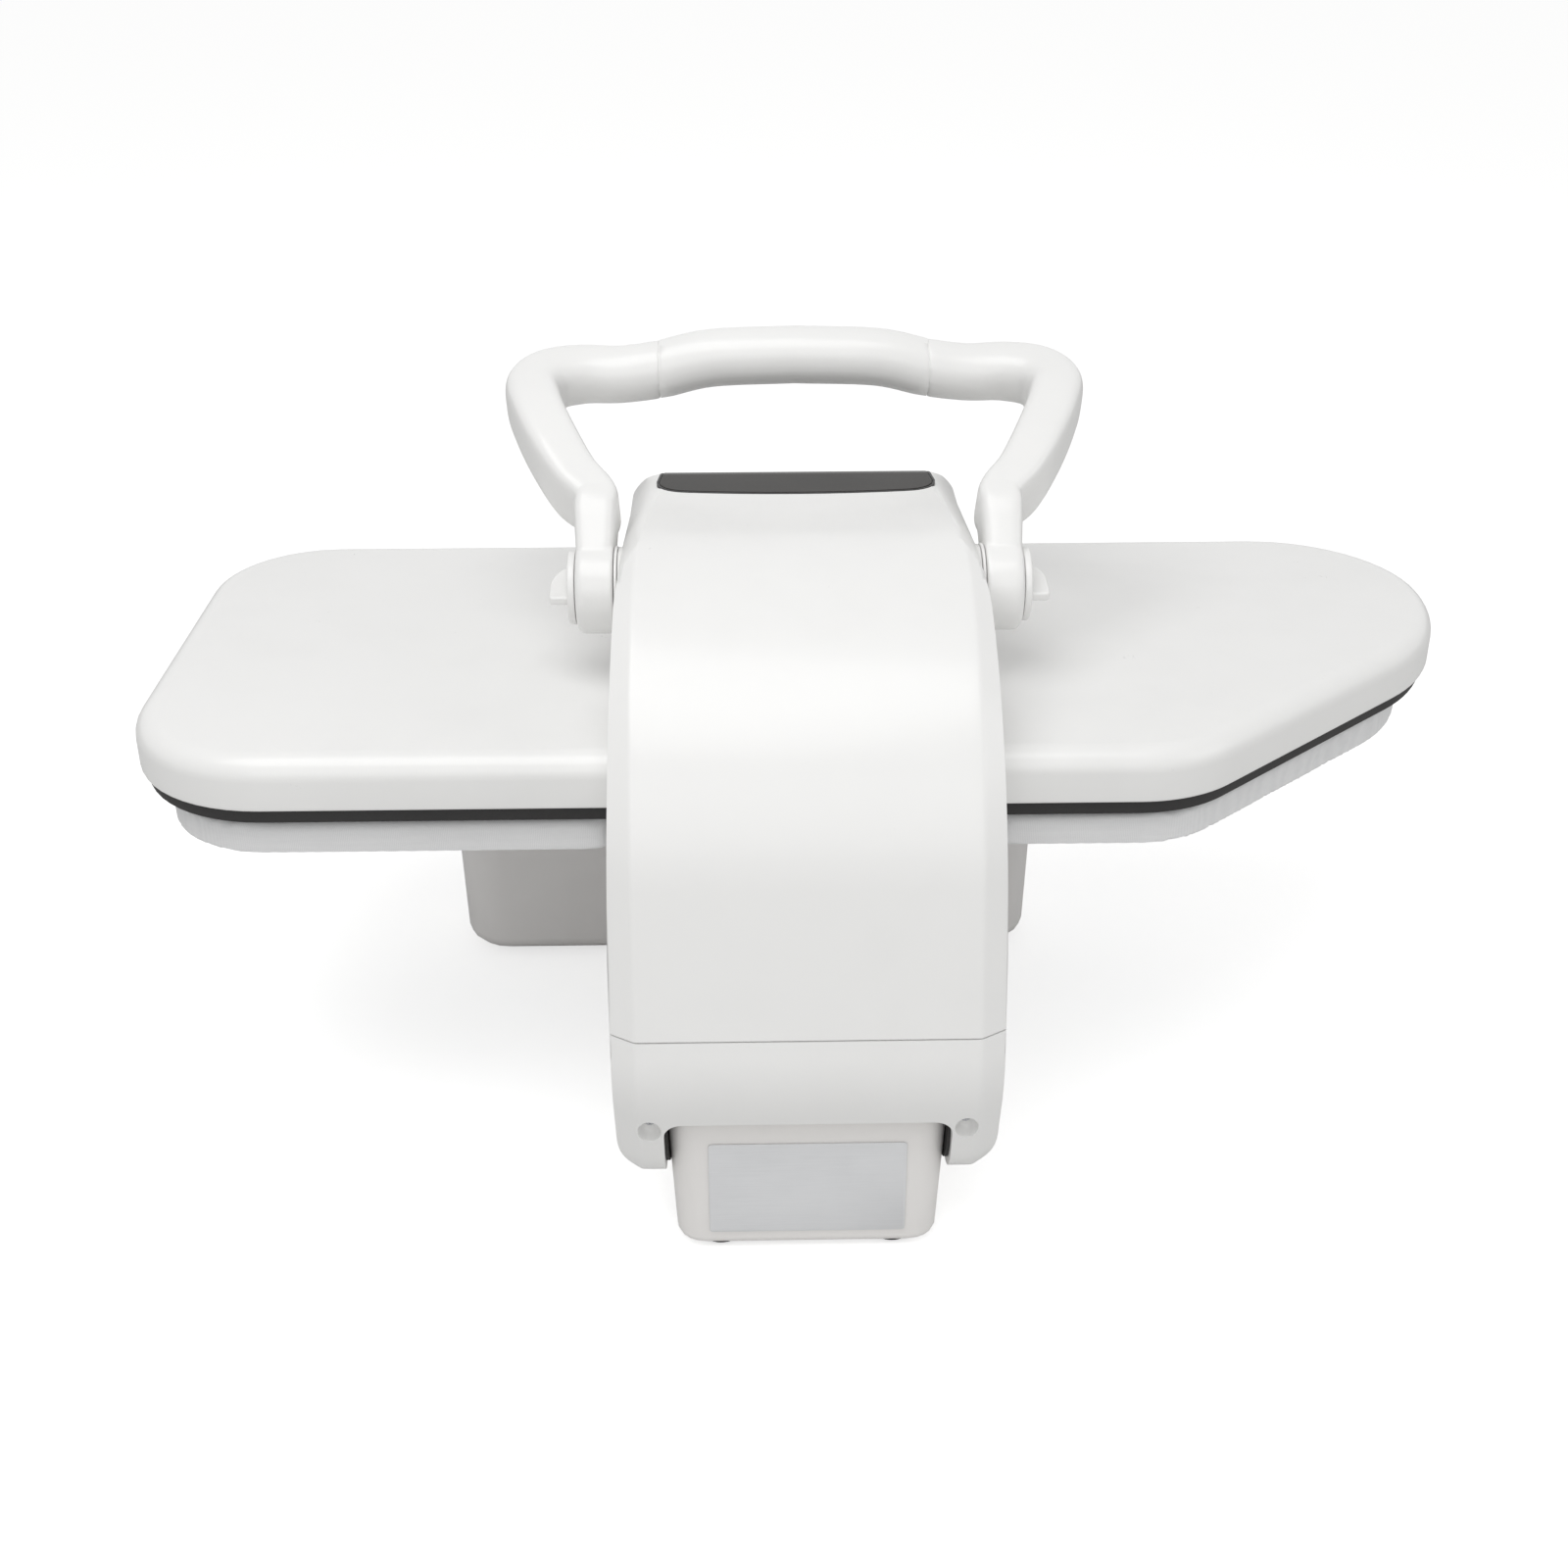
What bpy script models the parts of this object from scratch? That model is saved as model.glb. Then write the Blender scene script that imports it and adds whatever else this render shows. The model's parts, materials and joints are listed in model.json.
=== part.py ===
# Steam ironing press: a padded board on a drafted pedestal, and a heated
# pressing head that an arched arm carries from a hinge box behind the board.
# Lengths are metres. Machine axes: +X to the board's square end, -Y to the
# operator, +Z up. The machine's zero is the arm's centre plane, the rear rim
# of the head and the floor.
import math
import bpy
import bmesh
from mathutils import Vector

for old in list(bpy.data.objects):
    bpy.data.objects.remove(old, do_unlink=True)

# Shared fits
GAP = 0.0003            # between pieces that touch or lie beside each other
OVERRUN = 0.020         # how far a cutter runs past what it cuts
SHELL = 0.0025          # wall of the moulded covers
HOUSING_WALL = 0.003    # wall of the base moulding

# Heights of the stack
FLOOR_CLEARANCE = 0.0022
BOARD_TOP = 0.189
BOARD_THICKNESS = 0.019
HEAD_LIFT = 0.008
HEAD_HEIGHT = 0.025
HEAD_RIM = BOARD_TOP + HEAD_LIFT
HEAD_TOP = HEAD_RIM + HEAD_HEIGHT
BOARD_UNDERSIDE = BOARD_TOP - BOARD_THICKNESS

# Plan of the head
SQUARE_REACH = 0.309
NOSE_REACH = 0.3315
HEAD_DEPTH = 0.2692
DIAGONAL_START = 0.1745
DIAGONAL_ANGLE = math.radians(41.6)
SQUARE_REAR_RADIUS = 0.0685
SQUARE_FRONT_RADIUS = 0.060
NOSE_FRONT_RADIUS = 0.078
NOSE_REAR_RADIUS = 0.113
DIAGONAL_RADIUS = 0.064
HEAD_EDGE_ROUND = 0.011

# Board
BOARD_INSET = 0.008
BOARD_INSET_SQUARE = 0.0135
BOARD_INSET_NOSE = 0.0152
BOARD_EDGE_ROUND = 0.0028
BOARD_SKIN = 0.0015
BOARD_LIP = 0.0045
BOARD_NOTCH_GAP = 0.0020
BOARD_NOTCH_DEPTH = 0.031
BOARD_NOTCH_RADIUS = 0.006
PAN_THICKNESS = 0.0015

# Arm
ARM_HALF = 0.0860
ARM_TAPER = 0.0032      # how much narrower each flank is at the crown
ARM_TAPER_START = 0.150
ARM_FOOT_DRAFT = 0.0012
ARM_CROWN_RADIUS = 0.018
ARM_CROWN_FRONT_RADIUS = 0.030
ARM_CROWN_RISE = 0.0015
ARM_CHAMFER_WIDTH = 0.0108
ARM_CHAMFER_DEPTH = 0.0066
ARM_HEIGHT = 0.073
ARM_ARC_RADIUS = 0.147
ARM_ARC_Y = -0.087
ARM_ARC_SWEEP = 75.0
ARM_FLARE_HEIGHT = 0.098
ARM_REAR_RADIUS = 0.060
ARM_TOP_BEND_Y = -0.170
ARM_FRONT_BEND_Y = -0.228
ARM_FRONT_DROP = 0.032
ARM_FRONT_FOOT_Y = -0.240
ARM_FRONT_RADIUS = 0.022
ARM_THROAT_Y = -0.026
ARM_THROAT_HEIGHT = 0.098
ARM_THROAT_RADIUS = 0.015
ARM_SKIRT_OVERLAP = 0.012
ARM_SPLIT_DEPTH = 0.050
SEAM_HEIGHT = 0.1215
SEAM_GAP = 0.0005
ARM_TOP = HEAD_TOP + ARM_HEIGHT

# Hinge of the arm
HINGE_Y = 0.043
HINGE_Z = 0.064
LEG_RADIUS = 0.026
LEG_HEEL_SHARE = 0.995
LEG_TOE_SHARE = 0.80
LEG_RISE_SHARE = 0.25
LEG_CORNER_RADIUS = 0.026
LEG_WIDTH = 0.0210
LEG_WALL = 0.0026
LEG_FLANK_WALL = 0.0035
LEG_EDGE_WALL = 0.0047
LEG_CAVITY_RADIUS = 0.023
LEG_CAVITY_TOP = 0.096
LEG_CAVITY_REAR_Y = 0.059
CUTOUT_TOP = 0.0785
CUTOUT_CORNER_RADIUS = 0.008
CUTOUT_RADIUS = 0.0275
AXLE_RADIUS = 0.006
AXLE_END_GAP = 0.0050
AXLE_BEVEL_SHARE = 0.2
BUSH_WALL = 0.0025
BUSH_FLANGE = 0.002

# Base housing
BOX_SIDE_GAP = 0.0025
BOX_DRAFT = 0.003
BOX_REAR_Y = 0.065
BOX_REAR_DRAFT = 0.0015
BOX_ROUND = 0.022
BOX_CORNER_RADIUS = 0.012
BOX_BOTTOM_ROUND = 0.0048
PEDESTAL_BOTTOM_ROUND = 0.010
NECK_TOP = 0.070
PEDESTAL_SQUARE_X = 0.1882
PEDESTAL_NOSE_X = 0.1336
PEDESTAL_REAR_Y = -0.189
PEDESTAL_FRONT_Y = -0.247
PEDESTAL_DRAFT = 0.0040
PEDESTAL_CORNER = 0.025
LIP_HEIGHT = 0.004
LEDGE_SHARE = 0.4
LIP_OFFSET_SHARE = 0.9  # keeps the pedestal's ledge off the plane of the neck's
BROW_SHARES = (1.4, 0.5, 0.8)

# Feet, plate and fasteners under the base
PLATE_THICKNESS = 0.0025
FOOT_RADIUS = 0.010
FOOT_SOLE_SHARE = 0.82
FOOT_BEVEL_SHARE = 0.35
REAR_FOOT_INSET = 0.020
REAR_FOOT_Y = 0.0500
FRONT_FOOT_INSET = 0.030

# Front of the arm: control panel
PANEL_MARGIN = 0.0222
PANEL_REAR_Y = -0.138
PANEL_FRONT_Y = -0.222
PANEL_THICKNESS = 0.0014
PANEL_PROUD = 0.0004
PANEL_CORNER = 0.012
BEZEL_WIDTH = 0.0014
PANEL_BOW = 0.006

# Handle
HUB_Y = -0.090
HUB_Z = 0.266
HUB_RADIUS = 0.0215
HUB_WIDTH = 0.0176
HUB_BEVEL = 0.0040
WASHER_THICKNESS = 0.0014
GRIP_RADIUS = 0.0142
GRIP_SEAM_INSET = 0.063
GRIP_Y = -0.204
GRIP_Z = 0.3445
SHOULDER_Z = 0.3355
HANDLE_SPREAD = 0.0440
CORE_RADIUS = 0.005
STUD_RADIUS = 0.004

# Knobs
KNOB_RADIUS = 0.0172
KNOB_THICKNESS = 0.0034
KNOB_RIM = 0.0010
WING_REACH = 0.0088
WING_THICKNESS = 0.0042
WING_FRONT = 0.0170
WING_REAR = 0.0130
WING_TURN = math.radians(8.0)

# Water tank in the pedestal's front
TANK_X = 0.066
TANK_HALF = 0.075
TANK_LOW = 0.032
TANK_FASCIA_TOP = 0.130
TANK_BODY_TOP = 0.092
TANK_REAR_Y = -0.198
TANK_WALL = 0.002
TANK_PROUD = 0.0010
TANK_CLEARANCE = 0.0010
BAY_WALL = 0.002
LID_THICKNESS = 0.002
FILLER_RADIUS = 0.010
CAP_RADIUS = 0.0130
CAP_THICKNESS = 0.0025
CAP_HINGE_OFFSET = 0.0150
PULL_RECESS_DEPTH = 0.006
PULL_WIDTH_SHARE = 0.35
CAP_EAR_SHARE = 0.4

# Widths that follow the arm's, and the place of the machine's centre
LEG_CLEAR_HALF = ARM_HALF - LEG_WIDTH
BOX_HALF_TOP = LEG_CLEAR_HALF - BOX_SIDE_GAP
BOX_HALF_BOTTOM = BOX_HALF_TOP - BOX_DRAFT
BOARD_NOTCH_HALF = ARM_HALF + BOARD_NOTCH_GAP
AXLE_HALF = ARM_HALF - AXLE_END_GAP
PANEL_HALF = ARM_HALF - PANEL_MARGIN
REAR_FOOT_X = BOX_HALF_BOTTOM - REAR_FOOT_INSET
CORNER_X = ARM_HALF + HANDLE_SPREAD
GRIP_SEAM_X = CORNER_X - GRIP_SEAM_INSET
ROOT_SHIFT_X = (NOSE_REACH - SQUARE_REACH) / 2


# Materials
def material(name, colour, roughness, metallic=0.0, alpha=1.0):
    mat = bpy.data.materials.new(name)
    mat.use_nodes = True
    shader = mat.node_tree.nodes["Principled BSDF"]
    shader.inputs["Base Color"].default_value = (*colour, 1.0)
    shader.inputs["Roughness"].default_value = roughness
    shader.inputs["Metallic"].default_value = metallic
    shader.inputs["Alpha"].default_value = alpha
    return mat


WHITE = material("white_moulding", (0.86, 0.86, 0.85), 0.35)
IVORY = material("base_moulding", (0.70, 0.69, 0.66), 0.45)
FABRIC = material("board_fabric", (0.55, 0.55, 0.55), 0.9)
FOAM = material("board_foam", (0.80, 0.78, 0.66), 0.95)
STEEL = material("zinc_steel", (0.62, 0.63, 0.65), 0.35, 1.0)
ALUMINIUM = material("cast_aluminium", (0.72, 0.73, 0.74), 0.4, 1.0)
BRASS = material("bush_bronze", (0.70, 0.55, 0.28), 0.35, 1.0)
RUBBER = material("black_rubber", (0.03, 0.03, 0.03), 0.8)
GLASS = material("panel_glass", (0.06, 0.055, 0.05), 0.15)
BEZEL = material("bezel_black", (0.01, 0.01, 0.01), 0.4)
LABEL = material("label_silver", (0.60, 0.61, 0.62), 0.4)
BOARD_GREEN = material("circuit_board", (0.05, 0.25, 0.12), 0.5)
FELT = material("insulation_felt", (0.75, 0.73, 0.68), 1.0)
SILICONE = material("silicone_hose", (0.80, 0.80, 0.78), 0.5)
SMOKED = material("tank_plastic", (0.45, 0.50, 0.55), 0.2)
DARK = material("black_plastic", (0.04, 0.04, 0.04), 0.5)


# Outlines: lists of (u, v) points
def polar(centre, radius, degrees):
    turn = math.radians(degrees)
    return (centre[0] + radius * math.cos(turn), centre[1] + radius * math.sin(turn))


def arc(centre, radius, start, end, steps):
    return [polar(centre, radius, start + (end - start) * i / steps) for i in range(steps + 1)]


def rounded(corners, steps=6):
    # Each corner is (u, v, radius); a round corner becomes an arc between its tangent points.
    points = []
    for i, (u, v, radius) in enumerate(corners):
        here = Vector((u, v))
        if radius <= 0.0:
            points.append((u, v))
            continue
        before = (Vector(corners[i - 1][:2]) - here).normalized()
        after = (Vector(corners[(i + 1) % len(corners)][:2]) - here).normalized()
        half = before.angle(after) / 2
        centre = here + (before + after).normalized() * (radius / math.sin(half))
        first = here + before * (radius / math.tan(half)) - centre
        last = here + after * (radius / math.tan(half)) - centre
        turn = first.angle_signed(last)
        start = math.atan2(first.y, first.x)
        for step in range(steps + 1):
            angle = start - turn * step / steps
            points.append((centre.x + radius * math.cos(angle), centre.y + radius * math.sin(angle)))
    return points


def signed_area(outline):
    total = 0.0
    for i, (u, v) in enumerate(outline):
        next_u, next_v = outline[(i + 1) % len(outline)]
        total += u * next_v - next_u * v
    return total / 2


def inset(outline, distance):
    # Moves every edge inwards by the same distance.
    side = 1.0 if signed_area(outline) > 0 else -1.0
    count = len(outline)
    moved = []
    for i in range(count):
        here = Vector(outline[i])
        before = (here - Vector(outline[i - 1])).normalized()
        after = (Vector(outline[(i + 1) % count]) - here).normalized()
        normal_a = Vector((-before.y, before.x)) * side
        normal_b = Vector((-after.y, after.x)) * side
        reach = (normal_a + normal_b) / (1.0 + normal_a.dot(normal_b))
        point = here + reach * distance
        moved.append((point.x, point.y))
    return moved


def place(outline, axis, at):
    # Outlines are (y, z) across X, (x, z) across Y and (x, y) across Z.
    if axis == "X":
        return [Vector((at, u, v)) for u, v in outline]
    if axis == "Y":
        return [Vector((u, at, v)) for u, v in outline]
    return [Vector((u, v, at)) for u, v in outline]


# Solids
def finish(name, bm, mat):
    bmesh.ops.recalc_face_normals(bm, faces=bm.faces)
    if bm.calc_volume(signed=True) < 0.0:
        bmesh.ops.reverse_faces(bm, faces=bm.faces)
    mesh = bpy.data.meshes.new(name)
    bm.to_mesh(mesh)
    bm.free()
    if mat:
        mesh.materials.append(mat)
    ob = bpy.data.objects.new(name, mesh)
    bpy.context.scene.collection.objects.link(ob)
    return ob


def loft(name, rings, mat=None, closed=False):
    # Joins rings of equal count; the ends are capped, or joined to each other when closed.
    bm = bmesh.new()
    rows = [[bm.verts.new(point) for point in ring] for ring in rings]
    count = len(rows[0])
    pairs = list(zip(rows, rows[1:]))
    if closed:
        pairs.append((rows[-1], rows[0]))
    for low, high in pairs:
        for i in range(count):
            j = (i + 1) % count
            bm.faces.new((low[i], low[j], high[j], high[i]))
    if not closed:
        bm.faces.new(rows[0])
        bm.faces.new(rows[-1])
    return finish(name, bm, mat)


def prism(name, outline, axis, low, high, mat=None):
    return loft(name, [place(outline, axis, low), place(outline, axis, high)], mat)


def block(name, low, high, mat=None):
    outline = [(low[0], low[1]), (high[0], low[1]), (high[0], high[1]), (low[0], high[1])]
    return prism(name, outline, "Z", low[2], high[2], mat)


def rod(name, axis, centre, radius, low, high, mat=None, sides=16):
    # A round bar along an axis; centre gives the other two coordinates.
    outline = arc(centre, radius, 0.0, 360.0, sides)[:-1]
    return prism(name, outline, axis, low, high, mat)


def turned(name, axis, centre, profile, mat=None, sides=16, closed=False):
    # Profile points are (radius, place along the axis).
    rings = [place(arc(centre, radius, 0.0, 360.0, sides)[:-1], axis, at) for radius, at in profile]
    return loft(name, rings, mat, closed)


def smooth_path(points, steps):
    # Catmull-Rom curve through the points.
    knots = [Vector(p) for p in points]
    knots = [knots[0] * 2 - knots[1]] + knots + [knots[-1] * 2 - knots[-2]]
    path = []
    for i in range(1, len(knots) - 2):
        a, b, c, d = knots[i - 1:i + 3]
        for step in range(steps):
            t = step / steps
            path.append(0.5 * (2 * b + (c - a) * t + (2 * a - 5 * b + 4 * c - d) * t * t
                               + (3 * b - a - 3 * c + d) * t * t * t))
    path.append(knots[-2])
    return path


def tube(name, path, radius, mat=None, sides=8):
    # A round tube along a path, with its frame carried along without twist.
    rings = []
    side = None
    for i, here in enumerate(path):
        ahead = path[min(i + 1, len(path) - 1)]
        behind = path[max(i - 1, 0)]
        along = (ahead - behind).normalized()
        if side is None:
            side = along.orthogonal().normalized()
        side = (side - along * side.dot(along)).normalized()
        other = along.cross(side)
        ring = []
        for k in range(sides):
            turn = 2 * math.pi * k / sides
            ring.append(here + (side * math.cos(turn) + other * math.sin(turn)) * radius)
        rings.append(ring)
    return loft(name, rings, mat)


def combine(ob, tools, operation):
    # Applies one Boolean for each tool and removes the tool.
    for tool in tools if isinstance(tools, list) else [tools]:
        step = ob.modifiers.new(operation.lower(), "BOOLEAN")
        step.operation = operation
        step.solver = "EXACT"
        step.object = tool
        bpy.context.view_layer.update()
        graph = bpy.context.evaluated_depsgraph_get()
        mesh = bpy.data.meshes.new_from_object(ob.evaluated_get(graph))
        ob.modifiers.clear()
        ob.data = mesh
        bpy.data.objects.remove(tool, do_unlink=True)
    return ob


def cut(ob, *tools):
    return combine(ob, list(tools), "DIFFERENCE")


def join(ob, *tools):
    return combine(ob, list(tools), "UNION")


def common(ob, *tools):
    return combine(ob, list(tools), "INTERSECT")


def copy_of(ob, name):
    twin = bpy.data.objects.new(name, ob.data.copy())
    bpy.context.scene.collection.objects.link(twin)
    return twin


def paint(ob, mat):
    ob.data.materials.clear()
    ob.data.materials.append(mat)
    for face in ob.data.polygons:
        face.material_index = 0
    return ob


# Outline of the head and of all that lies under it, in plan
def plan(rear=0.0, square=None, front=None, nose=None):
    square = rear if square is None else square
    front = rear if front is None else front
    nose = rear if nose is None else nose
    right = SQUARE_REACH - square
    left = -(NOSE_REACH - nose)
    near = -(HEAD_DEPTH - front)
    bend_x = -DIAGONAL_START + rear * math.tan(DIAGONAL_ANGLE / 2)
    drop = ((left + DIAGONAL_START) * math.sin(DIAGONAL_ANGLE) - rear) / math.cos(DIAGONAL_ANGLE)
    corners = [
        (right, -rear, SQUARE_REAR_RADIUS - rear),
        (bend_x, -rear, DIAGONAL_RADIUS - rear),
        (left, drop, NOSE_REAR_RADIUS - rear),
        (left, near, NOSE_FRONT_RADIUS - nose),
        (right, near, SQUARE_FRONT_RADIUS - square),
    ]
    return rounded(corners, 5)


def board_plan(extra=0.0):
    # The board's outline has a slot at the rear in which the arm stands.
    rear = BOARD_INSET
    square = BOARD_INSET_SQUARE
    right = SQUARE_REACH - square
    left = -(NOSE_REACH - BOARD_INSET_NOSE)
    near = -(HEAD_DEPTH - BOARD_INSET)
    bend_x = -DIAGONAL_START + rear * math.tan(DIAGONAL_ANGLE / 2)
    drop = ((left + DIAGONAL_START) * math.sin(DIAGONAL_ANGLE) - rear) / math.cos(DIAGONAL_ANGLE)
    slot = -BOARD_NOTCH_DEPTH
    corners = [
        (right, -rear, SQUARE_REAR_RADIUS - square),
        (BOARD_NOTCH_HALF, -rear, BOARD_NOTCH_RADIUS),
        (BOARD_NOTCH_HALF, slot, BOARD_NOTCH_RADIUS),
        (-BOARD_NOTCH_HALF, slot, BOARD_NOTCH_RADIUS),
        (-BOARD_NOTCH_HALF, -rear, BOARD_NOTCH_RADIUS),
        (bend_x, -rear, DIAGONAL_RADIUS - rear),
        (left, drop, NOSE_REAR_RADIUS - rear),
        (left, near, NOSE_FRONT_RADIUS - rear),
        (right, near, SQUARE_FRONT_RADIUS - square),
    ]
    outline = rounded(corners, 4)
    return inset(outline, extra) if extra else outline


# Side view of the arm
def tangent_foot(point, centre, radius, level):
    # Where the line from the point, tangent to the rear of the circle, meets a level.
    to_centre = Vector(centre) - Vector(point)
    swing = math.asin(radius / to_centre.length)
    heading = math.atan2(to_centre.y, to_centre.x) + swing
    return point[0] + (level - point[1]) / math.tan(heading)


def arm_outline():
    arc_centre = (ARM_ARC_Y, ARM_TOP - ARM_ARC_RADIUS)
    back = arc(arc_centre, ARM_ARC_RADIUS, 90.0, 90.0 - ARM_ARC_SWEEP, 14)
    end = back[-1]
    slope = math.tan(math.radians(90.0 - ARM_ARC_SWEEP))
    flare = (end[0] + (end[1] - ARM_FLARE_HEIGHT) * slope, ARM_FLARE_HEIGHT)
    sole = HINGE_Z - LEG_RADIUS
    heel = tangent_foot(flare, (HINGE_Y, HINGE_Z), LEG_RADIUS, sole)
    corners = [
        (ARM_FRONT_FOOT_Y, HEAD_TOP - ARM_SKIRT_OVERLAP, 0.0),
        (ARM_FRONT_BEND_Y, ARM_TOP - ARM_FRONT_DROP, ARM_FRONT_RADIUS),
        (ARM_TOP_BEND_Y, ARM_TOP, ARM_FRONT_RADIUS),
    ]
    corners += [(y, z, 0.0) for y, z in back]
    corners += [
        (flare[0], flare[1], ARM_REAR_RADIUS),
        (heel, sole, LEG_RADIUS * LEG_HEEL_SHARE),
        (HINGE_Y - LEG_RADIUS, sole, LEG_RADIUS * LEG_TOE_SHARE),
        (HINGE_Y - LEG_RADIUS, HINGE_Z + LEG_RADIUS * LEG_RISE_SHARE, ARM_THROAT_RADIUS),
        (ARM_THROAT_Y, ARM_THROAT_HEIGHT, ARM_THROAT_RADIUS),
        (ARM_THROAT_Y, HEAD_TOP - ARM_SKIRT_OVERLAP, 0.0),
    ]
    return rounded(corners, 6)


def split_outline(shift):
    # Everything in front of and below the line on which the arm's two covers meet.
    centre = (ARM_ARC_Y, ARM_TOP - ARM_ARC_RADIUS)
    radius = ARM_ARC_RADIUS - ARM_SPLIT_DEPTH + shift
    line = arc(centre, radius, 90.0, 90.0 - ARM_ARC_SWEEP, 10)
    slope = math.tan(math.radians(90.0 - ARM_ARC_SWEEP))
    end = line[-1]
    foot = -OVERRUN
    far = ARM_FRONT_FOOT_Y - OVERRUN
    line = [(far, line[0][1])] + line
    line.append((end[0] + (end[1] - CUTOUT_TOP) * slope, CUTOUT_TOP))
    line.append((line[-1][0], foot))
    line.append((far, foot))
    return line


def flank_half(z):
    # Half the arm's width: its flanks lean in above the taper's start.
    share = (z - ARM_TAPER_START) / (ARM_TOP - ARM_TAPER_START)
    return ARM_HALF - ARM_TAPER * max(share, 0.0)


def front_limit(offset, radius):
    # The arm seen from behind: round at the legs' feet and over the crown.
    sole = HINGE_Z - LEG_RADIUS - GAP
    top = ARM_TOP + ARM_CROWN_RISE
    crown = flank_half(top)
    foot = ARM_HALF - ARM_FOOT_DRAFT
    corners = [(-crown, top, radius), (-ARM_HALF, ARM_TAPER_START, ARM_CROWN_RADIUS),
               (-foot, sole, LEG_CORNER_RADIUS), (foot, sole, LEG_CORNER_RADIUS),
               (ARM_HALF, ARM_TAPER_START, ARM_CROWN_RADIUS), (crown, top, radius)]
    outline = rounded(corners, 6)
    return inset(outline, offset) if offset else outline


def crown_loft(name, offset, low, high):
    # The crown's corners grow rounder towards the front.
    rows = [(low, ARM_CROWN_FRONT_RADIUS), (ARM_TOP_BEND_Y, ARM_CROWN_FRONT_RADIUS),
            (HUB_Y, ARM_CROWN_RADIUS), (high, ARM_CROWN_RADIUS)]
    return loft(name, [place(front_limit(offset, radius), "Y", y) for y, radius in rows])


ARM_REAR = max(y for y, z in arm_outline())
ROOT_SHIFT_Y = (HEAD_DEPTH - ARM_REAR) / 2


# Bodies: an empty on each joint's axis carries the pieces that move with it
def holder(name, at, parent=None):
    empty = bpy.data.objects.new(name, None)
    bpy.context.scene.collection.objects.link(empty)
    empty.parent = parent
    empty.location = Vector(at) - (HOLDER_PLACES[parent.name] if parent else Vector())
    HOLDER_PLACES[name] = Vector(at)
    return empty


HOLDER_PLACES = {}
MACHINE = holder("machine", (0.0, 0.0, 0.0))
ARM_BODY = holder("arm_axis", (0.0, HINGE_Y, HINGE_Z), MACHINE)
HANDLE_BODY = holder("handle_axis", (0.0, HUB_Y, HUB_Z), ARM_BODY)
MACHINE.location = (ROOT_SHIFT_X, ROOT_SHIFT_Y, 0.0)


def carry(ob, body):
    # The mesh is in machine axes; the body's empty carries it from its own place.
    ob.parent = body
    ob.location = -HOLDER_PLACES[body.name]
    return ob


# Base: one moulding with a rear box for the hinge, a neck and the pedestal
def box_rings(wall):
    # Plan sections of rear box and neck, from the floor up; the box's top is round about the hinge.
    front = PEDESTAL_REAR_Y - OVERRUN
    sole = FLOOR_CLEARANCE
    level = HINGE_Z

    def section(z, half, rear_y):
        corner = BOX_CORNER_RADIUS - wall
        corners = [(-half, front, 0.0), (half, front, 0.0), (half, rear_y, corner), (-half, rear_y, corner)]
        return place(rounded(corners, 5), "Z", z)

    def half_at(z):
        share = (z - sole) / (level - sole)
        return BOX_HALF_BOTTOM + (BOX_HALF_TOP - BOX_HALF_BOTTOM) * share - wall

    def rear_at(z):
        return BOX_REAR_Y - BOX_REAR_DRAFT * (level - z) / (level - sole) - wall

    rings = []
    if wall:
        mouth = BOX_BOTTOM_ROUND
        ledge = mouth * LEDGE_SHARE
        rings.append(section(-OVERRUN, half_at(sole) - mouth, rear_at(sole) - mouth))
        rings.append(section(sole + LIP_HEIGHT, half_at(sole) - mouth, rear_at(sole) - mouth))
        rings.append(section(sole + LIP_HEIGHT, half_at(sole) - ledge, rear_at(sole) - ledge))
        rings.append(section(sole + BOX_BOTTOM_ROUND, half_at(sole), rear_at(sole)))
    else:
        for step in range(4):
            turn = math.radians(30.0 * step)
            shrink = BOX_BOTTOM_ROUND * (1.0 - math.sin(turn))
            z = sole + BOX_BOTTOM_ROUND * (1.0 - math.cos(turn))
            rings.append(section(z, half_at(z) - shrink, rear_at(z) - shrink))
    radius = BOX_ROUND - wall
    for step in range(6):
        turn = math.radians(14.0 * step)
        z = level + radius * math.sin(turn)
        rings.append(section(z, half_at(level), HINGE_Y + radius * math.cos(turn)))
    return rings


def neck_relief(wall):
    # What is taken off above the neck, in front of the hinge box.
    top = HINGE_Z + BOX_ROUND + OVERRUN
    front = PEDESTAL_REAR_Y - 2 * OVERRUN
    back_share, run_share, rise_share = BROW_SHARES
    brow = HINGE_Y - BOX_ROUND * back_share + wall
    outline = [(front, NECK_TOP - wall), (brow - BOX_ROUND * run_share, NECK_TOP - wall),
               (brow, HINGE_Z + BOX_ROUND * rise_share - wall), (brow, top), (front, top)]
    return prism("neck_relief", outline, "X", -ARM_HALF, ARM_HALF)


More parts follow.
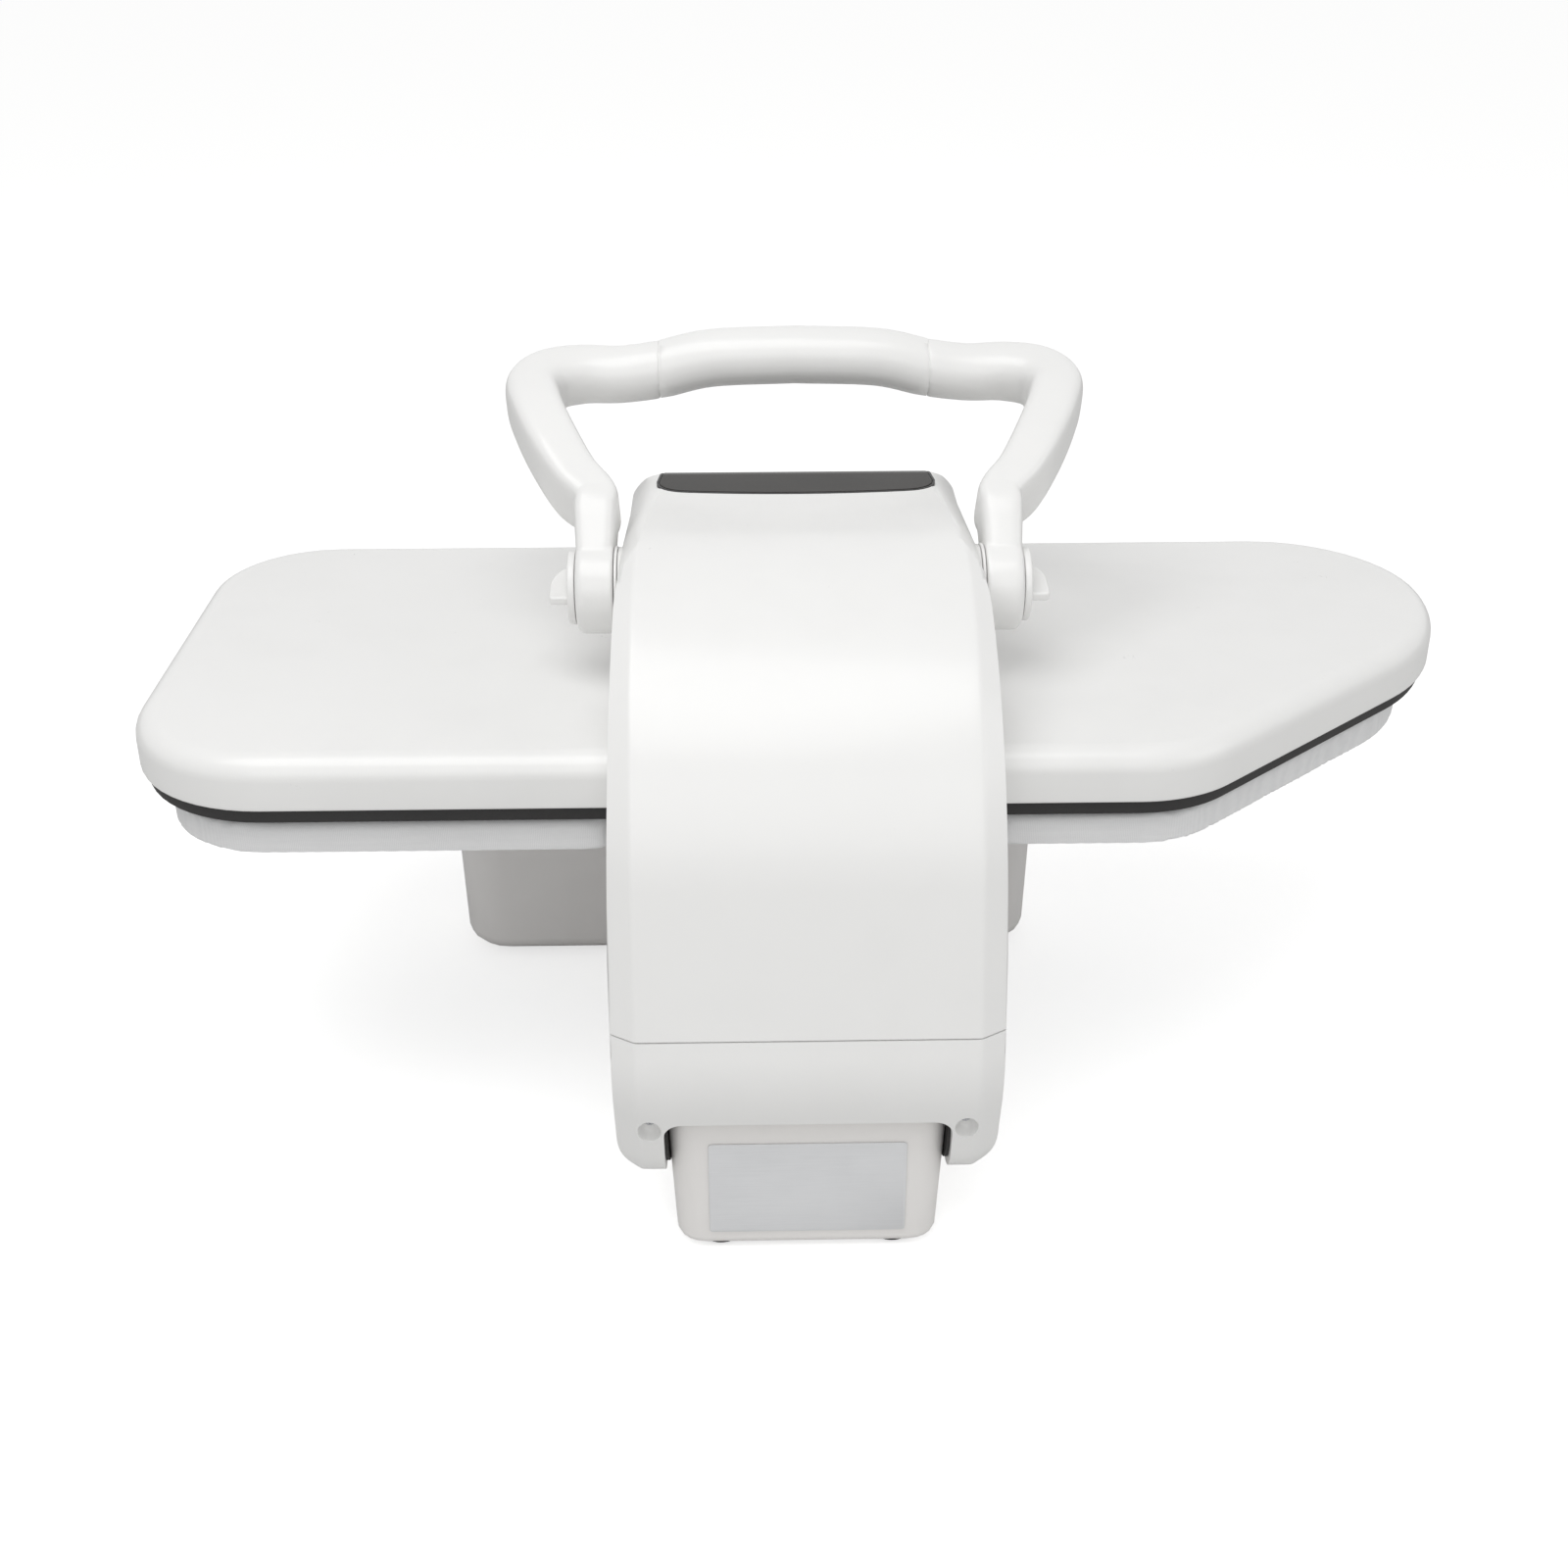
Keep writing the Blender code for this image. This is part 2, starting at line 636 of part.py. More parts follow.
def pedestal_rings(wall, top):
    sole = FLOOR_CLEARANCE

    def section(z, shrink):
        grow = PEDESTAL_DRAFT * (z - sole) / (BOARD_UNDERSIDE - sole) - shrink - wall
        radius = max(PEDESTAL_CORNER + grow, PEDESTAL_CORNER / 4)
        corners = [(PEDESTAL_SQUARE_X + grow, PEDESTAL_REAR_Y + grow, radius),
                   (-PEDESTAL_NOSE_X - grow, PEDESTAL_REAR_Y + grow, radius),
                   (-PEDESTAL_NOSE_X - grow, PEDESTAL_FRONT_Y - grow, radius),
                   (PEDESTAL_SQUARE_X + grow, PEDESTAL_FRONT_Y - grow, radius)]
        return place(rounded(corners, 5), "Z", z)

    rings = []
    if wall:
        lip_top = sole + LIP_HEIGHT * LIP_OFFSET_SHARE
        rings.append(section(-OVERRUN * 1.5, PEDESTAL_BOTTOM_ROUND))
        rings.append(section(lip_top, PEDESTAL_BOTTOM_ROUND))
        rings.append(section(lip_top, PEDESTAL_BOTTOM_ROUND * LEDGE_SHARE))
        rings.append(section(sole + PEDESTAL_BOTTOM_ROUND, 0.0))
    else:
        for step in range(4):
            turn = math.radians(30.0 * step)
            z = sole + PEDESTAL_BOTTOM_ROUND * (1.0 - math.cos(turn))
            rings.append(section(z, PEDESTAL_BOTTOM_ROUND * (1.0 - math.sin(turn))))
    rings.append(section(top, 0.0))
    return rings


PEDESTAL_TOP = BOARD_UNDERSIDE + BOARD_SKIN
PEDESTAL_WALL_RISE = PEDESTAL_DRAFT / (BOARD_UNDERSIDE - FLOOR_CLEARANCE)


def front_wall_y(z):
    return PEDESTAL_FRONT_Y - PEDESTAL_WALL_RISE * (z - FLOOR_CLEARANCE)


def rear_wall_y(z):
    return PEDESTAL_REAR_Y + PEDESTAL_WALL_RISE * (z - FLOOR_CLEARANCE)


# Places where hose and cable leave the neck and enter the arm
HOSE_RADIUS = 0.0035
CABLE_RADIUS = 0.0040
HOSE_X = 0.028
CABLE_X = -0.028
NECK_EXIT_Y = -0.006
PORT_CLEARANCE = 0.0010

INLET_X = -0.0895
INLET_Z = 0.075
INLET_HALF_X = 0.0138
INLET_HALF_Z = 0.0100
INLET_FLANGE = 0.0030
INLET_PROUD = 0.0006
INLET_WALL = 0.0018
INLET_DEPTH = 0.020
INLET_PIN_SHARES = ((-0.45, 0.2), (0.0, -0.2), (0.45, 0.2))

BAY_LOW = TANK_LOW - GAP - BAY_WALL
BAY_HIGH = TANK_FASCIA_TOP + TANK_CLEARANCE + BAY_WALL
BAY_HALF = TANK_HALF + TANK_CLEARANCE + BAY_WALL
BAY_REAR_Y = TANK_REAR_Y + TANK_CLEARANCE + BAY_WALL


def make_base_housing():
    housing = cut(loft("base_housing", box_rings(0.0), IVORY), neck_relief(0.0))
    hollow = cut(loft("hollow", box_rings(HOUSING_WALL)), neck_relief(HOUSING_WALL))
    housing = join(housing, loft("pedestal", pedestal_rings(0.0, PEDESTAL_TOP)))
    hollow = join(hollow, loft("room", pedestal_rings(HOUSING_WALL, PEDESTAL_TOP - HOUSING_WALL)))
    bay = block("bay", (TANK_X - BAY_HALF - GAP, front_wall_y(BAY_HIGH) - OVERRUN, BAY_LOW - GAP),
                (TANK_X + BAY_HALF + GAP, PEDESTAL_FRONT_Y + OVERRUN, BAY_HIGH + GAP))
    axle = rod("axle_hole", "X", (HINGE_Y, HINGE_Z), AXLE_RADIUS + GAP, -ARM_HALF, ARM_HALF)
    inlet = block("inlet_hole", (INLET_X - INLET_HALF_X - GAP, rear_wall_y(INLET_Z) - OVERRUN,
                                 INLET_Z - INLET_HALF_Z - GAP),
                  (INLET_X + INLET_HALF_X + GAP, rear_wall_y(INLET_Z) + OVERRUN,
                   INLET_Z + INLET_HALF_Z + GAP))
    hose = rod("hose_hole", "Z", (HOSE_X, NECK_EXIT_Y), HOSE_RADIUS + PORT_CLEARANCE,
               NECK_TOP - OVERRUN, NECK_TOP + OVERRUN, sides=12)
    cable = rod("cable_hole", "Z", (CABLE_X, NECK_EXIT_Y), CABLE_RADIUS + PORT_CLEARANCE,
                NECK_TOP - OVERRUN, NECK_TOP + OVERRUN, sides=12)
    cut(housing, hollow, bay, axle, inlet, hose, cable)
    return carry(paint(housing, IVORY), MACHINE)


def mouth_outline_parts():
    # The base's bottom mouth: the neck's strip and the pedestal's rectangle, less a fit.
    half = BOX_HALF_BOTTOM - HOUSING_WALL - BOX_BOTTOM_ROUND - GAP
    rear = BOX_REAR_Y - BOX_REAR_DRAFT - HOUSING_WALL - BOX_BOTTOM_ROUND - GAP
    shrink = HOUSING_WALL + PEDESTAL_BOTTOM_ROUND + GAP
    strip = [(-half, PEDESTAL_REAR_Y - shrink - OVERRUN, 0.0), (half, PEDESTAL_REAR_Y - shrink - OVERRUN, 0.0),
             (half, rear, BOX_CORNER_RADIUS - HOUSING_WALL), (-half, rear, BOX_CORNER_RADIUS - HOUSING_WALL)]
    corner = PEDESTAL_CORNER - shrink
    pad = [(PEDESTAL_SQUARE_X - shrink, PEDESTAL_REAR_Y - shrink, corner),
           (-PEDESTAL_NOSE_X + shrink, PEDESTAL_REAR_Y - shrink, corner),
           (-PEDESTAL_NOSE_X + shrink, PEDESTAL_FRONT_Y + shrink, corner),
           (PEDESTAL_SQUARE_X - shrink, PEDESTAL_FRONT_Y + shrink, corner)]
    return rounded(strip, 5), rounded(pad, 6)


def make_base_plate():
    strip, pad = mouth_outline_parts()
    low, high = FLOOR_CLEARANCE, FLOOR_CLEARANCE + PLATE_THICKNESS
    plate = prism("base_plate", strip, "Z", low, high)
    join(plate, prism("pad", pad, "Z", low, high))
    return carry(paint(plate, DARK), MACHINE)


def make_feet():
    front_y = PEDESTAL_FRONT_Y + FRONT_FOOT_INSET
    places = [("foot_rear_left", REAR_FOOT_X, REAR_FOOT_Y), ("foot_rear_right", -REAR_FOOT_X, REAR_FOOT_Y),
              ("foot_front_left", PEDESTAL_SQUARE_X - FRONT_FOOT_INSET, front_y),
              ("foot_front_right", -PEDESTAL_NOSE_X + FRONT_FOOT_INSET, front_y)]
    top = FLOOR_CLEARANCE - GAP
    profile = [(FOOT_RADIUS * FOOT_SOLE_SHARE, 0.0), (FOOT_RADIUS, top * FOOT_BEVEL_SHARE), (FOOT_RADIUS, top)]
    for name, x, y in places:
        carry(turned(name, "Z", (x, y), profile, RUBBER, 16), MACHINE)


RATING_PLATE_MARGIN = 0.0150
RATING_PLATE_LOW = 0.0110
RATING_PLATE_HIGH = 0.0615
RATING_PLATE_THICKNESS = 0.0004


def make_rating_plate():
    # A bare plate on the drafted rear face.
    half = BOX_HALF_BOTTOM - RATING_PLATE_MARGIN
    rings = []
    for z in (RATING_PLATE_LOW, RATING_PLATE_HIGH):
        share = (HINGE_Z - z) / (HINGE_Z - FLOOR_CLEARANCE)
        near = BOX_REAR_Y - BOX_REAR_DRAFT * share + GAP
        far = near + RATING_PLATE_THICKNESS
        rings.append(place([(-half, near), (half, near), (half, far), (-half, far)], "Z", z))
    return carry(loft("rating_plate", rings, LABEL), MACHINE)


CHASSIS_MARGIN = 0.0155
CHASSIS_HALF = BOX_HALF_BOTTOM - CHASSIS_MARGIN
CHASSIS_THICKNESS = 0.002
CHASSIS_LOW = FLOOR_CLEARANCE + LIP_HEIGHT + GAP
CHASSIS_TOP = CHASSIS_LOW + CHASSIS_THICKNESS
CHASSIS_WING_INSET = 0.034
CHASSIS_SEAT_SHARE = 0.5
BRACKET_THICKNESS = 0.003
BRACKET_FOOT = 0.012
BRACKET_RADIUS = 0.015
BRACKET_TOE_SHARE = 1.2


def make_base_chassis():
    # A T-shaped steel plate on the housing's lip ties the hinge box to the pedestal.
    seat = HOUSING_WALL + BOX_BOTTOM_ROUND * CHASSIS_SEAT_SHARE
    rear = BOX_REAR_Y - BOX_REAR_DRAFT - seat
    far = PEDESTAL_REAR_Y - OVERRUN
    half = BOX_HALF_BOTTOM - seat
    wing = PEDESTAL_NOSE_X - CHASSIS_WING_INSET
    near = PEDESTAL_FRONT_Y + HOUSING_WALL + PEDESTAL_BOTTOM_ROUND * CHASSIS_SEAT_SHARE
    corner = BOX_CORNER_RADIUS - HOUSING_WALL
    corners = [(half, rear, corner), (-half, rear, corner), (-half, far, 0.0), (-wing, far, 0.0),
               (-wing, near, 0.0), (wing, near, 0.0), (wing, far, 0.0), (half, far, 0.0)]
    plate = prism("base_chassis", rounded(corners), "Z", CHASSIS_LOW, CHASSIS_TOP, STEEL)
    return carry(plate, MACHINE)


def make_hinge_brackets():
    foot = CHASSIS_TOP + GAP
    for name, side in (("hinge_bracket_left", 1.0), ("hinge_bracket_right", -1.0)):
        head = arc((HINGE_Y, HINGE_Z), BRACKET_RADIUS, -10.0, 190.0, 12)
        toe = HINGE_Y - BRACKET_RADIUS * BRACKET_TOE_SHARE
        heel = HINGE_Y + BRACKET_RADIUS
        outer = CHASSIS_HALF + BRACKET_THICKNESS
        bracket = prism(name, head + [(toe, foot), (heel, foot)], "X", side * CHASSIS_HALF, side * outer)
        low, high = sorted((side * (CHASSIS_HALF - BRACKET_FOOT), side * (CHASSIS_HALF + BRACKET_THICKNESS / 2)))
        join(bracket, block("flange", (low, toe, foot), (high, heel, foot + BRACKET_THICKNESS)))
        cut(bracket, rod("bore", "X", (HINGE_Y, HINGE_Z), AXLE_RADIUS + GAP, -ARM_HALF, ARM_HALF))
        carry(paint(bracket, STEEL), MACHINE)


def make_hinge_axle():
    end = AXLE_RADIUS * AXLE_BEVEL_SHARE
    profile = [(AXLE_RADIUS - end, -AXLE_HALF), (AXLE_RADIUS, -AXLE_HALF + end),
               (AXLE_RADIUS, AXLE_HALF - end), (AXLE_RADIUS - end, AXLE_HALF)]
    return carry(turned("hinge_axle", "X", (HINGE_Y, HINGE_Z), profile, STEEL, 20), MACHINE)


# Board: a steel pan, a foam layer and a fabric cover drawn round both
def make_board():
    pan_low = BOARD_UNDERSIDE + BOARD_SKIN + GAP
    pan_high = pan_low + PAN_THICKNESS
    inside = BOARD_SKIN + GAP
    carry(prism("board_pan", board_plan(inside), "Z", pan_low, pan_high, STEEL), MACHINE)
    foam_high = BOARD_TOP - BOARD_SKIN - GAP
    carry(prism("board_foam", board_plan(inside), "Z", pan_high + GAP, foam_high, FOAM), MACHINE)
    rings = []
    for step in range(3):
        turn = math.radians(90.0 - 45.0 * step)
        shrink = BOARD_EDGE_ROUND * (1.0 - math.cos(turn))
        rings.append((shrink, BOARD_TOP - BOARD_EDGE_ROUND * (1.0 - math.sin(turn))))
    for step in range(3):
        turn = math.radians(45.0 * step)
        shrink = BOARD_EDGE_ROUND * (1.0 - math.cos(turn))
        rings.append((shrink, BOARD_UNDERSIDE + BOARD_EDGE_ROUND * (1.0 - math.sin(turn))))
    rings += [(BOARD_LIP, BOARD_UNDERSIDE), (BOARD_LIP, BOARD_UNDERSIDE + BOARD_SKIN),
              (BOARD_SKIN, BOARD_UNDERSIDE + BOARD_SKIN), (BOARD_SKIN, BOARD_TOP - BOARD_SKIN)]
    rings = [place(board_plan(shrink), "Z", z) for shrink, z in rings]
    carry(loft("board_cover", rings, FABRIC), MACHINE)


# Inside the pedestal
PUMP_X = -0.066
PUMP_Y = -0.214
PUMP_RADIUS = 0.014
PUMP_HALF = 0.026
PUMP_STAND = 0.020
PUMP_NOSE_SHARE = 1.06
PUMP_FOOT_SHARES = (0.6, 0.8)
PUMP_Z = CHASSIS_TOP + GAP + PUMP_STAND


def make_pump():
    coil = rod("pump", "X", (PUMP_Y, PUMP_Z), PUMP_RADIUS, PUMP_X - PUMP_HALF, PUMP_X + PUMP_HALF, sides=16)
    half_x, half_y = PUMP_HALF * PUMP_FOOT_SHARES[0], PUMP_RADIUS * PUMP_FOOT_SHARES[1]
    foot = block("foot", (PUMP_X - half_x, PUMP_Y - half_y, CHASSIS_TOP + GAP),
                 (PUMP_X + half_x, PUMP_Y + half_y, PUMP_Z))
    nose = rod("nose", "X", (PUMP_Y, PUMP_Z), HOSE_RADIUS, PUMP_X, PUMP_X + PUMP_HALF * PUMP_NOSE_SHARE, sides=10)
    join(coil, foot, nose)
    return carry(paint(coil, DARK), MACHINE)


def make_power_inlet():
    # A recessed three-pin socket in the rear wall, beside the neck.
    face = rear_wall_y(INLET_Z + INLET_HALF_Z + INLET_FLANGE) + GAP
    inner = face - INLET_DEPTH
    low = (INLET_X - INLET_HALF_X - INLET_FLANGE, face, INLET_Z - INLET_HALF_Z - INLET_FLANGE)
    high = (INLET_X + INLET_HALF_X + INLET_FLANGE, face + INLET_PROUD, INLET_Z + INLET_HALF_Z + INLET_FLANGE)
    socket = block("power_inlet", low, high)
    body = block("body", (INLET_X - INLET_HALF_X, inner, INLET_Z - INLET_HALF_Z),
                 (INLET_X + INLET_HALF_X, face + INLET_PROUD / 2, INLET_Z + INLET_HALF_Z))
    join(socket, body)
    wall = INLET_WALL
    mouth = block("mouth", (INLET_X - INLET_HALF_X + wall, inner + wall * 2, INLET_Z - INLET_HALF_Z + wall),
                  (INLET_X + INLET_HALF_X - wall, face + OVERRUN, INLET_Z + INLET_HALF_Z - wall))
    cut(socket, mouth)
    for share_x, share_z in INLET_PIN_SHARES:
        x = INLET_X + INLET_HALF_X * share_x
        z = INLET_Z + INLET_HALF_Z * share_z
        join(socket, block("pin", (x - wall / 2, inner + wall, z - wall),
                           (x + wall / 2, face - INLET_FLANGE, z + wall)))
    return carry(paint(socket, DARK), MACHINE)


def make_tank_bay():
    # A five-sided moulded pocket that the tank slides into.
    front = front_wall_y(BAY_LOW)
    bay = block("tank_bay", (TANK_X - BAY_HALF, front, BAY_LOW), (TANK_X + BAY_HALF, BAY_REAR_Y, BAY_HIGH))
    room = block("room", (TANK_X - BAY_HALF + BAY_WALL, front - OVERRUN, BAY_LOW + BAY_WALL),
                 (TANK_X + BAY_HALF - BAY_WALL, BAY_REAR_Y - BAY_WALL, BAY_HIGH - BAY_WALL))
    cut(bay, room)
    return carry(paint(bay, IVORY), MACHINE)


# Water tank: a body with a tall front, its lid and a hinged filler cap
TANK_BODY = holder("tank_slide", (TANK_X, TANK_REAR_Y, TANK_LOW), MACHINE)
CAP_Y = (TANK_REAR_Y + PEDESTAL_FRONT_Y) / 2
CAP_BODY = holder("cap_axis", (TANK_X, CAP_Y + CAP_HINGE_OFFSET,
                               TANK_BODY_TOP + LID_THICKNESS + GAP + CAP_THICKNESS / 2), TANK_BODY)


def tank_block(name, half, low, high, rear, recess):
    rings = []
    for z in (low, high):
        near = front_wall_y(z) - TANK_PROUD + recess
        outline = [(TANK_X - half, near), (TANK_X + half, near), (TANK_X + half, rear), (TANK_X - half, rear)]
        rings.append(place(outline, "Z", z))
    return loft(name, rings)


def make_water_tank():
    fascia_wall = TANK_WALL * 2
    tank = tank_block("water_tank", TANK_HALF, TANK_LOW, TANK_FASCIA_TOP, TANK_REAR_Y, 0.0)
    above = block("above", (TANK_X - TANK_HALF - OVERRUN, front_wall_y(TANK_BODY_TOP) + fascia_wall, TANK_BODY_TOP),
                  (TANK_X + TANK_HALF + OVERRUN, TANK_REAR_Y + OVERRUN, TANK_FASCIA_TOP + OVERRUN))
    room = tank_block("room", TANK_HALF - TANK_WALL, TANK_LOW + TANK_WALL, TANK_BODY_TOP + OVERRUN / 2,
                      TANK_REAR_Y - TANK_WALL, fascia_wall + TANK_PROUD * 2)
    pull = rod("pull", "X", (front_wall_y(TANK_FASCIA_TOP) - TANK_PROUD, TANK_FASCIA_TOP),
               PULL_RECESS_DEPTH, TANK_X - TANK_HALF * PULL_WIDTH_SHARE,
               TANK_X + TANK_HALF * PULL_WIDTH_SHARE, sides=16)
    cut(tank, above, room, pull)
    return carry(paint(tank, SMOKED), TANK_BODY)


def make_tank_lid():
    low = TANK_BODY_TOP + GAP
    near = front_wall_y(TANK_BODY_TOP) + TANK_WALL * 2 + GAP
    lid = block("tank_lid", (TANK_X - TANK_HALF, near, low),
                (TANK_X + TANK_HALF, TANK_REAR_Y, TANK_BODY_TOP + LID_THICKNESS))
    cut(lid, rod("filler", "Z", (TANK_X, CAP_Y), FILLER_RADIUS, low - OVERRUN, low + OVERRUN, sides=24))
    return carry(paint(lid, SMOKED), TANK_BODY)


def make_tank_cap():
    low = TANK_BODY_TOP + LID_THICKNESS + GAP
    cap = rod("tank_cap", "Z", (TANK_X, CAP_Y), CAP_RADIUS, low, low + CAP_THICKNESS, sides=24)
    half = CAP_RADIUS * CAP_EAR_SHARE
    ear = block("ear", (TANK_X - half, CAP_Y, low), (TANK_X + half, CAP_Y + CAP_HINGE_OFFSET, low + CAP_THICKNESS))
    knuckle = rod("knuckle", "X", (CAP_Y + CAP_HINGE_OFFSET, low + CAP_THICKNESS / 2), CAP_THICKNESS / 2,
                  TANK_X - half, TANK_X + half, sides=10)
    join(cap, ear, knuckle)
    return carry(paint(cap, RUBBER), CAP_BODY)


# Arm: a shell with chamfered flanks, split into rear, lower and inner covers
def arm_loft(name, offset):
    outline = arm_outline()
    flat = inset(outline, offset) if offset else outline
    narrow = inset(outline, ARM_CHAMFER_DEPTH + offset)
    shoulder = ARM_HALF - ARM_CHAMFER_WIDTH - offset / 2
    flank = ARM_HALF - offset
    return loft(name, [place(narrow, "X", -flank), place(flat, "X", -shoulder),
                       place(flat, "X", shoulder), place(narrow, "X", flank)])


def make_arm_shell():
    high = ARM_TOP + OVERRUN
    wide = ARM_HALF + OVERRUN
    shell = arm_loft("arm_shell", 0.0)
    far_y = ARM_FRONT_FOOT_Y - OVERRUN
    common(shell, crown_loft("limit", 0.0, far_y, ARM_REAR + OVERRUN))
    room = arm_loft("room", SHELL)
    common(room, crown_loft("limit", SHELL, far_y - OVERRUN, ARM_REAR + OVERRUN * 2),
           block("above", (-wide, far_y, LEG_CAVITY_TOP), (wide, ARM_REAR + OVERRUN, high)))
    tools = [room]
    for side in (1.0, -1.0):
        inner, outer = LEG_CLEAR_HALF + LEG_WALL, ARM_HALF - LEG_FLANK_WALL
        low, top = sorted((side * inner, side * outer))
        leg_room = prism("leg_room", inset(arm_outline(), LEG_EDGE_WALL), "X", low, top)
        common(leg_room, block("limit", (-wide, far_y, HINGE_Z),
                               (wide, LEG_CAVITY_REAR_Y, LEG_CAVITY_TOP + GAP)))
        tools.append(leg_room)
        tools.append(rod("plate_room", "X", (HINGE_Y, HINGE_Z), LEG_CAVITY_RADIUS,
                         side * inner, side * PLATE_ROOM_OUTER))
        tools.append(rod("spring_room", "X", (HINGE_Y, HINGE_Z), SPRING_ROOM_RADIUS, side * inner, side * outer))
    tools.append(rod("round", "X", (HINGE_Y, HINGE_Z), CUTOUT_RADIUS, -LEG_CLEAR_HALF, LEG_CLEAR_HALF, sides=32))
    corner = CUTOUT_CORNER_RADIUS
    mouth = [(-LEG_CLEAR_HALF, -OVERRUN, 0.0), (LEG_CLEAR_HALF, -OVERRUN, 0.0),
             (LEG_CLEAR_HALF, CUTOUT_TOP, corner), (-LEG_CLEAR_HALF, CUTOUT_TOP, corner)]
    tools.append(prism("mouth", rounded(mouth, 5), "Y", HINGE_Y, ARM_REAR + OVERRUN))
    tools.append(block("throat", (-LEG_CLEAR_HALF, far_y, -OVERRUN),
                       (LEG_CLEAR_HALF, HINGE_Y, HINGE_Z + CUTOUT_RADIUS)))
    tools.append(rod("axle_hole", "X", (HINGE_Y, HINGE_Z), BUSH_OUTER + GAP, -PLATE_INNER, PLATE_INNER))
    tools.append(block("head_space", (-wide, far_y, -OVERRUN),
                       (wide, ARM_THROAT_Y - GAP, HEAD_TOP + GAP)))
    tools.append(rod("stud_hole", "X", (HUB_Y, HUB_Z), STUD_RADIUS + GAP, -wide, wide, sides=16))
    for x, radius in ((HOSE_X, HOSE_RADIUS), (CABLE_X, CABLE_RADIUS)):
        tools.append(rod("port", "Z", (x, PORT_Y), radius + PORT_CLEARANCE,
                         HINGE_Z, LEG_CAVITY_TOP + OVERRUN, sides=12))
    for side in (1.0, -1.0):
        tools.append(turned("recess", "Y", (side * COVER_SCREW_X, COVER_SCREW_Z),
                            [(RECESS_RADIUS, ARM_REAR + OVERRUN), (RECESS_RADIUS, RECESS_FLOOR_Y + RECESS_RADIUS / 2),
                             (RECESS_RADIUS * RECESS_FLOOR_SHARE, RECESS_FLOOR_Y)]))
        tools.append(rod("screw_hole", "Y", (side * COVER_SCREW_X, COVER_SCREW_Z), COVER_SCREW_RADIUS + GAP,
                         LEG_CAVITY_REAR_Y - OVERRUN / 4, RECESS_FLOOR_Y + GAP, sides=12))
    return cut(shell, *tools)


PLATE_BACK_GAP = 0.0014
PLATE_INNER = LEG_CLEAR_HALF + LEG_WALL + PLATE_BACK_GAP
PLATE_THICKNESS_ARM = 0.003
PLATE_ROOM_OUTER = PLATE_INNER + PLATE_THICKNESS_ARM + GAP * 5
PLATE_EDGE = 0.009
SPRING_ROOM_RADIUS = 0.0130
BUSH_OUTER = AXLE_RADIUS + GAP + BUSH_WALL
PORT_Y = -0.006
COVER_SCREW_INSET = 0.0148
COVER_SCREW_X = ARM_HALF - COVER_SCREW_INSET
COVER_SCREW_Z = 0.0755
COVER_SCREW_RADIUS = 0.0018
RECESS_RADIUS = 0.0052
RECESS_FLOOR_Y = 0.0655
RECESS_FLOOR_SHARE = 0.85
SCREW_CROWN_SHARE = 1.6


def panel_outline(grow):
    # Plan of the control panel: bowed towards the rear, corners cut off.
    half = PANEL_HALF
    rear, near = PANEL_REAR_Y, PANEL_FRONT_Y
    bow = [(half * share, rear - PANEL_BOW * share * share) for share in PANEL_BOW_SHARES]
    points = [(half, near + PANEL_CORNER), (half, rear - PANEL_BOW - PANEL_CORNER)]
    points += list(reversed(bow)) + [(-x, y) for x, y in bow[1:]]
    points += [(-half, rear - PANEL_BOW - PANEL_CORNER), (-half, near + PANEL_CORNER)]
    points += [(-half + PANEL_CORNER, near), (half - PANEL_CORNER, near)]
    return inset(points, -grow) if grow else points


PANEL_BOW_SHARES = (0.0, 0.25, 0.5, 0.7, 0.84)
CONTROL_BOARD_SHARE = 0.8


def skin(name, outline, low, high):
    # A sheet that follows the arm's top between two depths below its surface.
    sheet = prism(name, inset(arm_outline(), low), "X", -ARM_HALF, ARM_HALF)
    cut(sheet, prism("core", inset(arm_outline(), high), "X", -ARM_HALF - OVERRUN, ARM_HALF + OVERRUN))
    floor = ARM_TOP - ARM_SPLIT_DEPTH + GAP * 2
    return common(sheet, prism("plan", outline, "Z", floor, ARM_TOP + OVERRUN))


def make_arm_covers():
    shell = make_arm_shell()
    wide = ARM_HALF + OVERRUN
    far_y = ARM_FRONT_FOOT_Y - OVERRUN
    high = ARM_TOP + OVERRUN
    inner = common(copy_of(shell, "arm_inner_cover"), prism("split", split_outline(-GAP / 2), "X", -wide, wide))
    rear = cut(shell, prism("split", split_outline(GAP / 2), "X", -wide, wide))
    lower = common(copy_of(rear, "arm_lower_cover"),
                   block("below", (-wide, far_y, -OVERRUN), (wide, ARM_REAR + OVERRUN, SEAM_HEIGHT - SEAM_GAP / 2)))
    common(rear, block("over", (-wide, far_y, SEAM_HEIGHT + SEAM_GAP / 2), (wide, ARM_REAR + OVERRUN, high)))
    rear.name = "arm_rear_cover"
    depth = PANEL_THICKNESS - PANEL_PROUD
    cut(rear, skin("recess", panel_outline(BEZEL_WIDTH + GAP), -GAP * 4, depth + GAP))
    for cover in (inner, lower, rear):
        carry(paint(cover, WHITE), ARM_BODY)


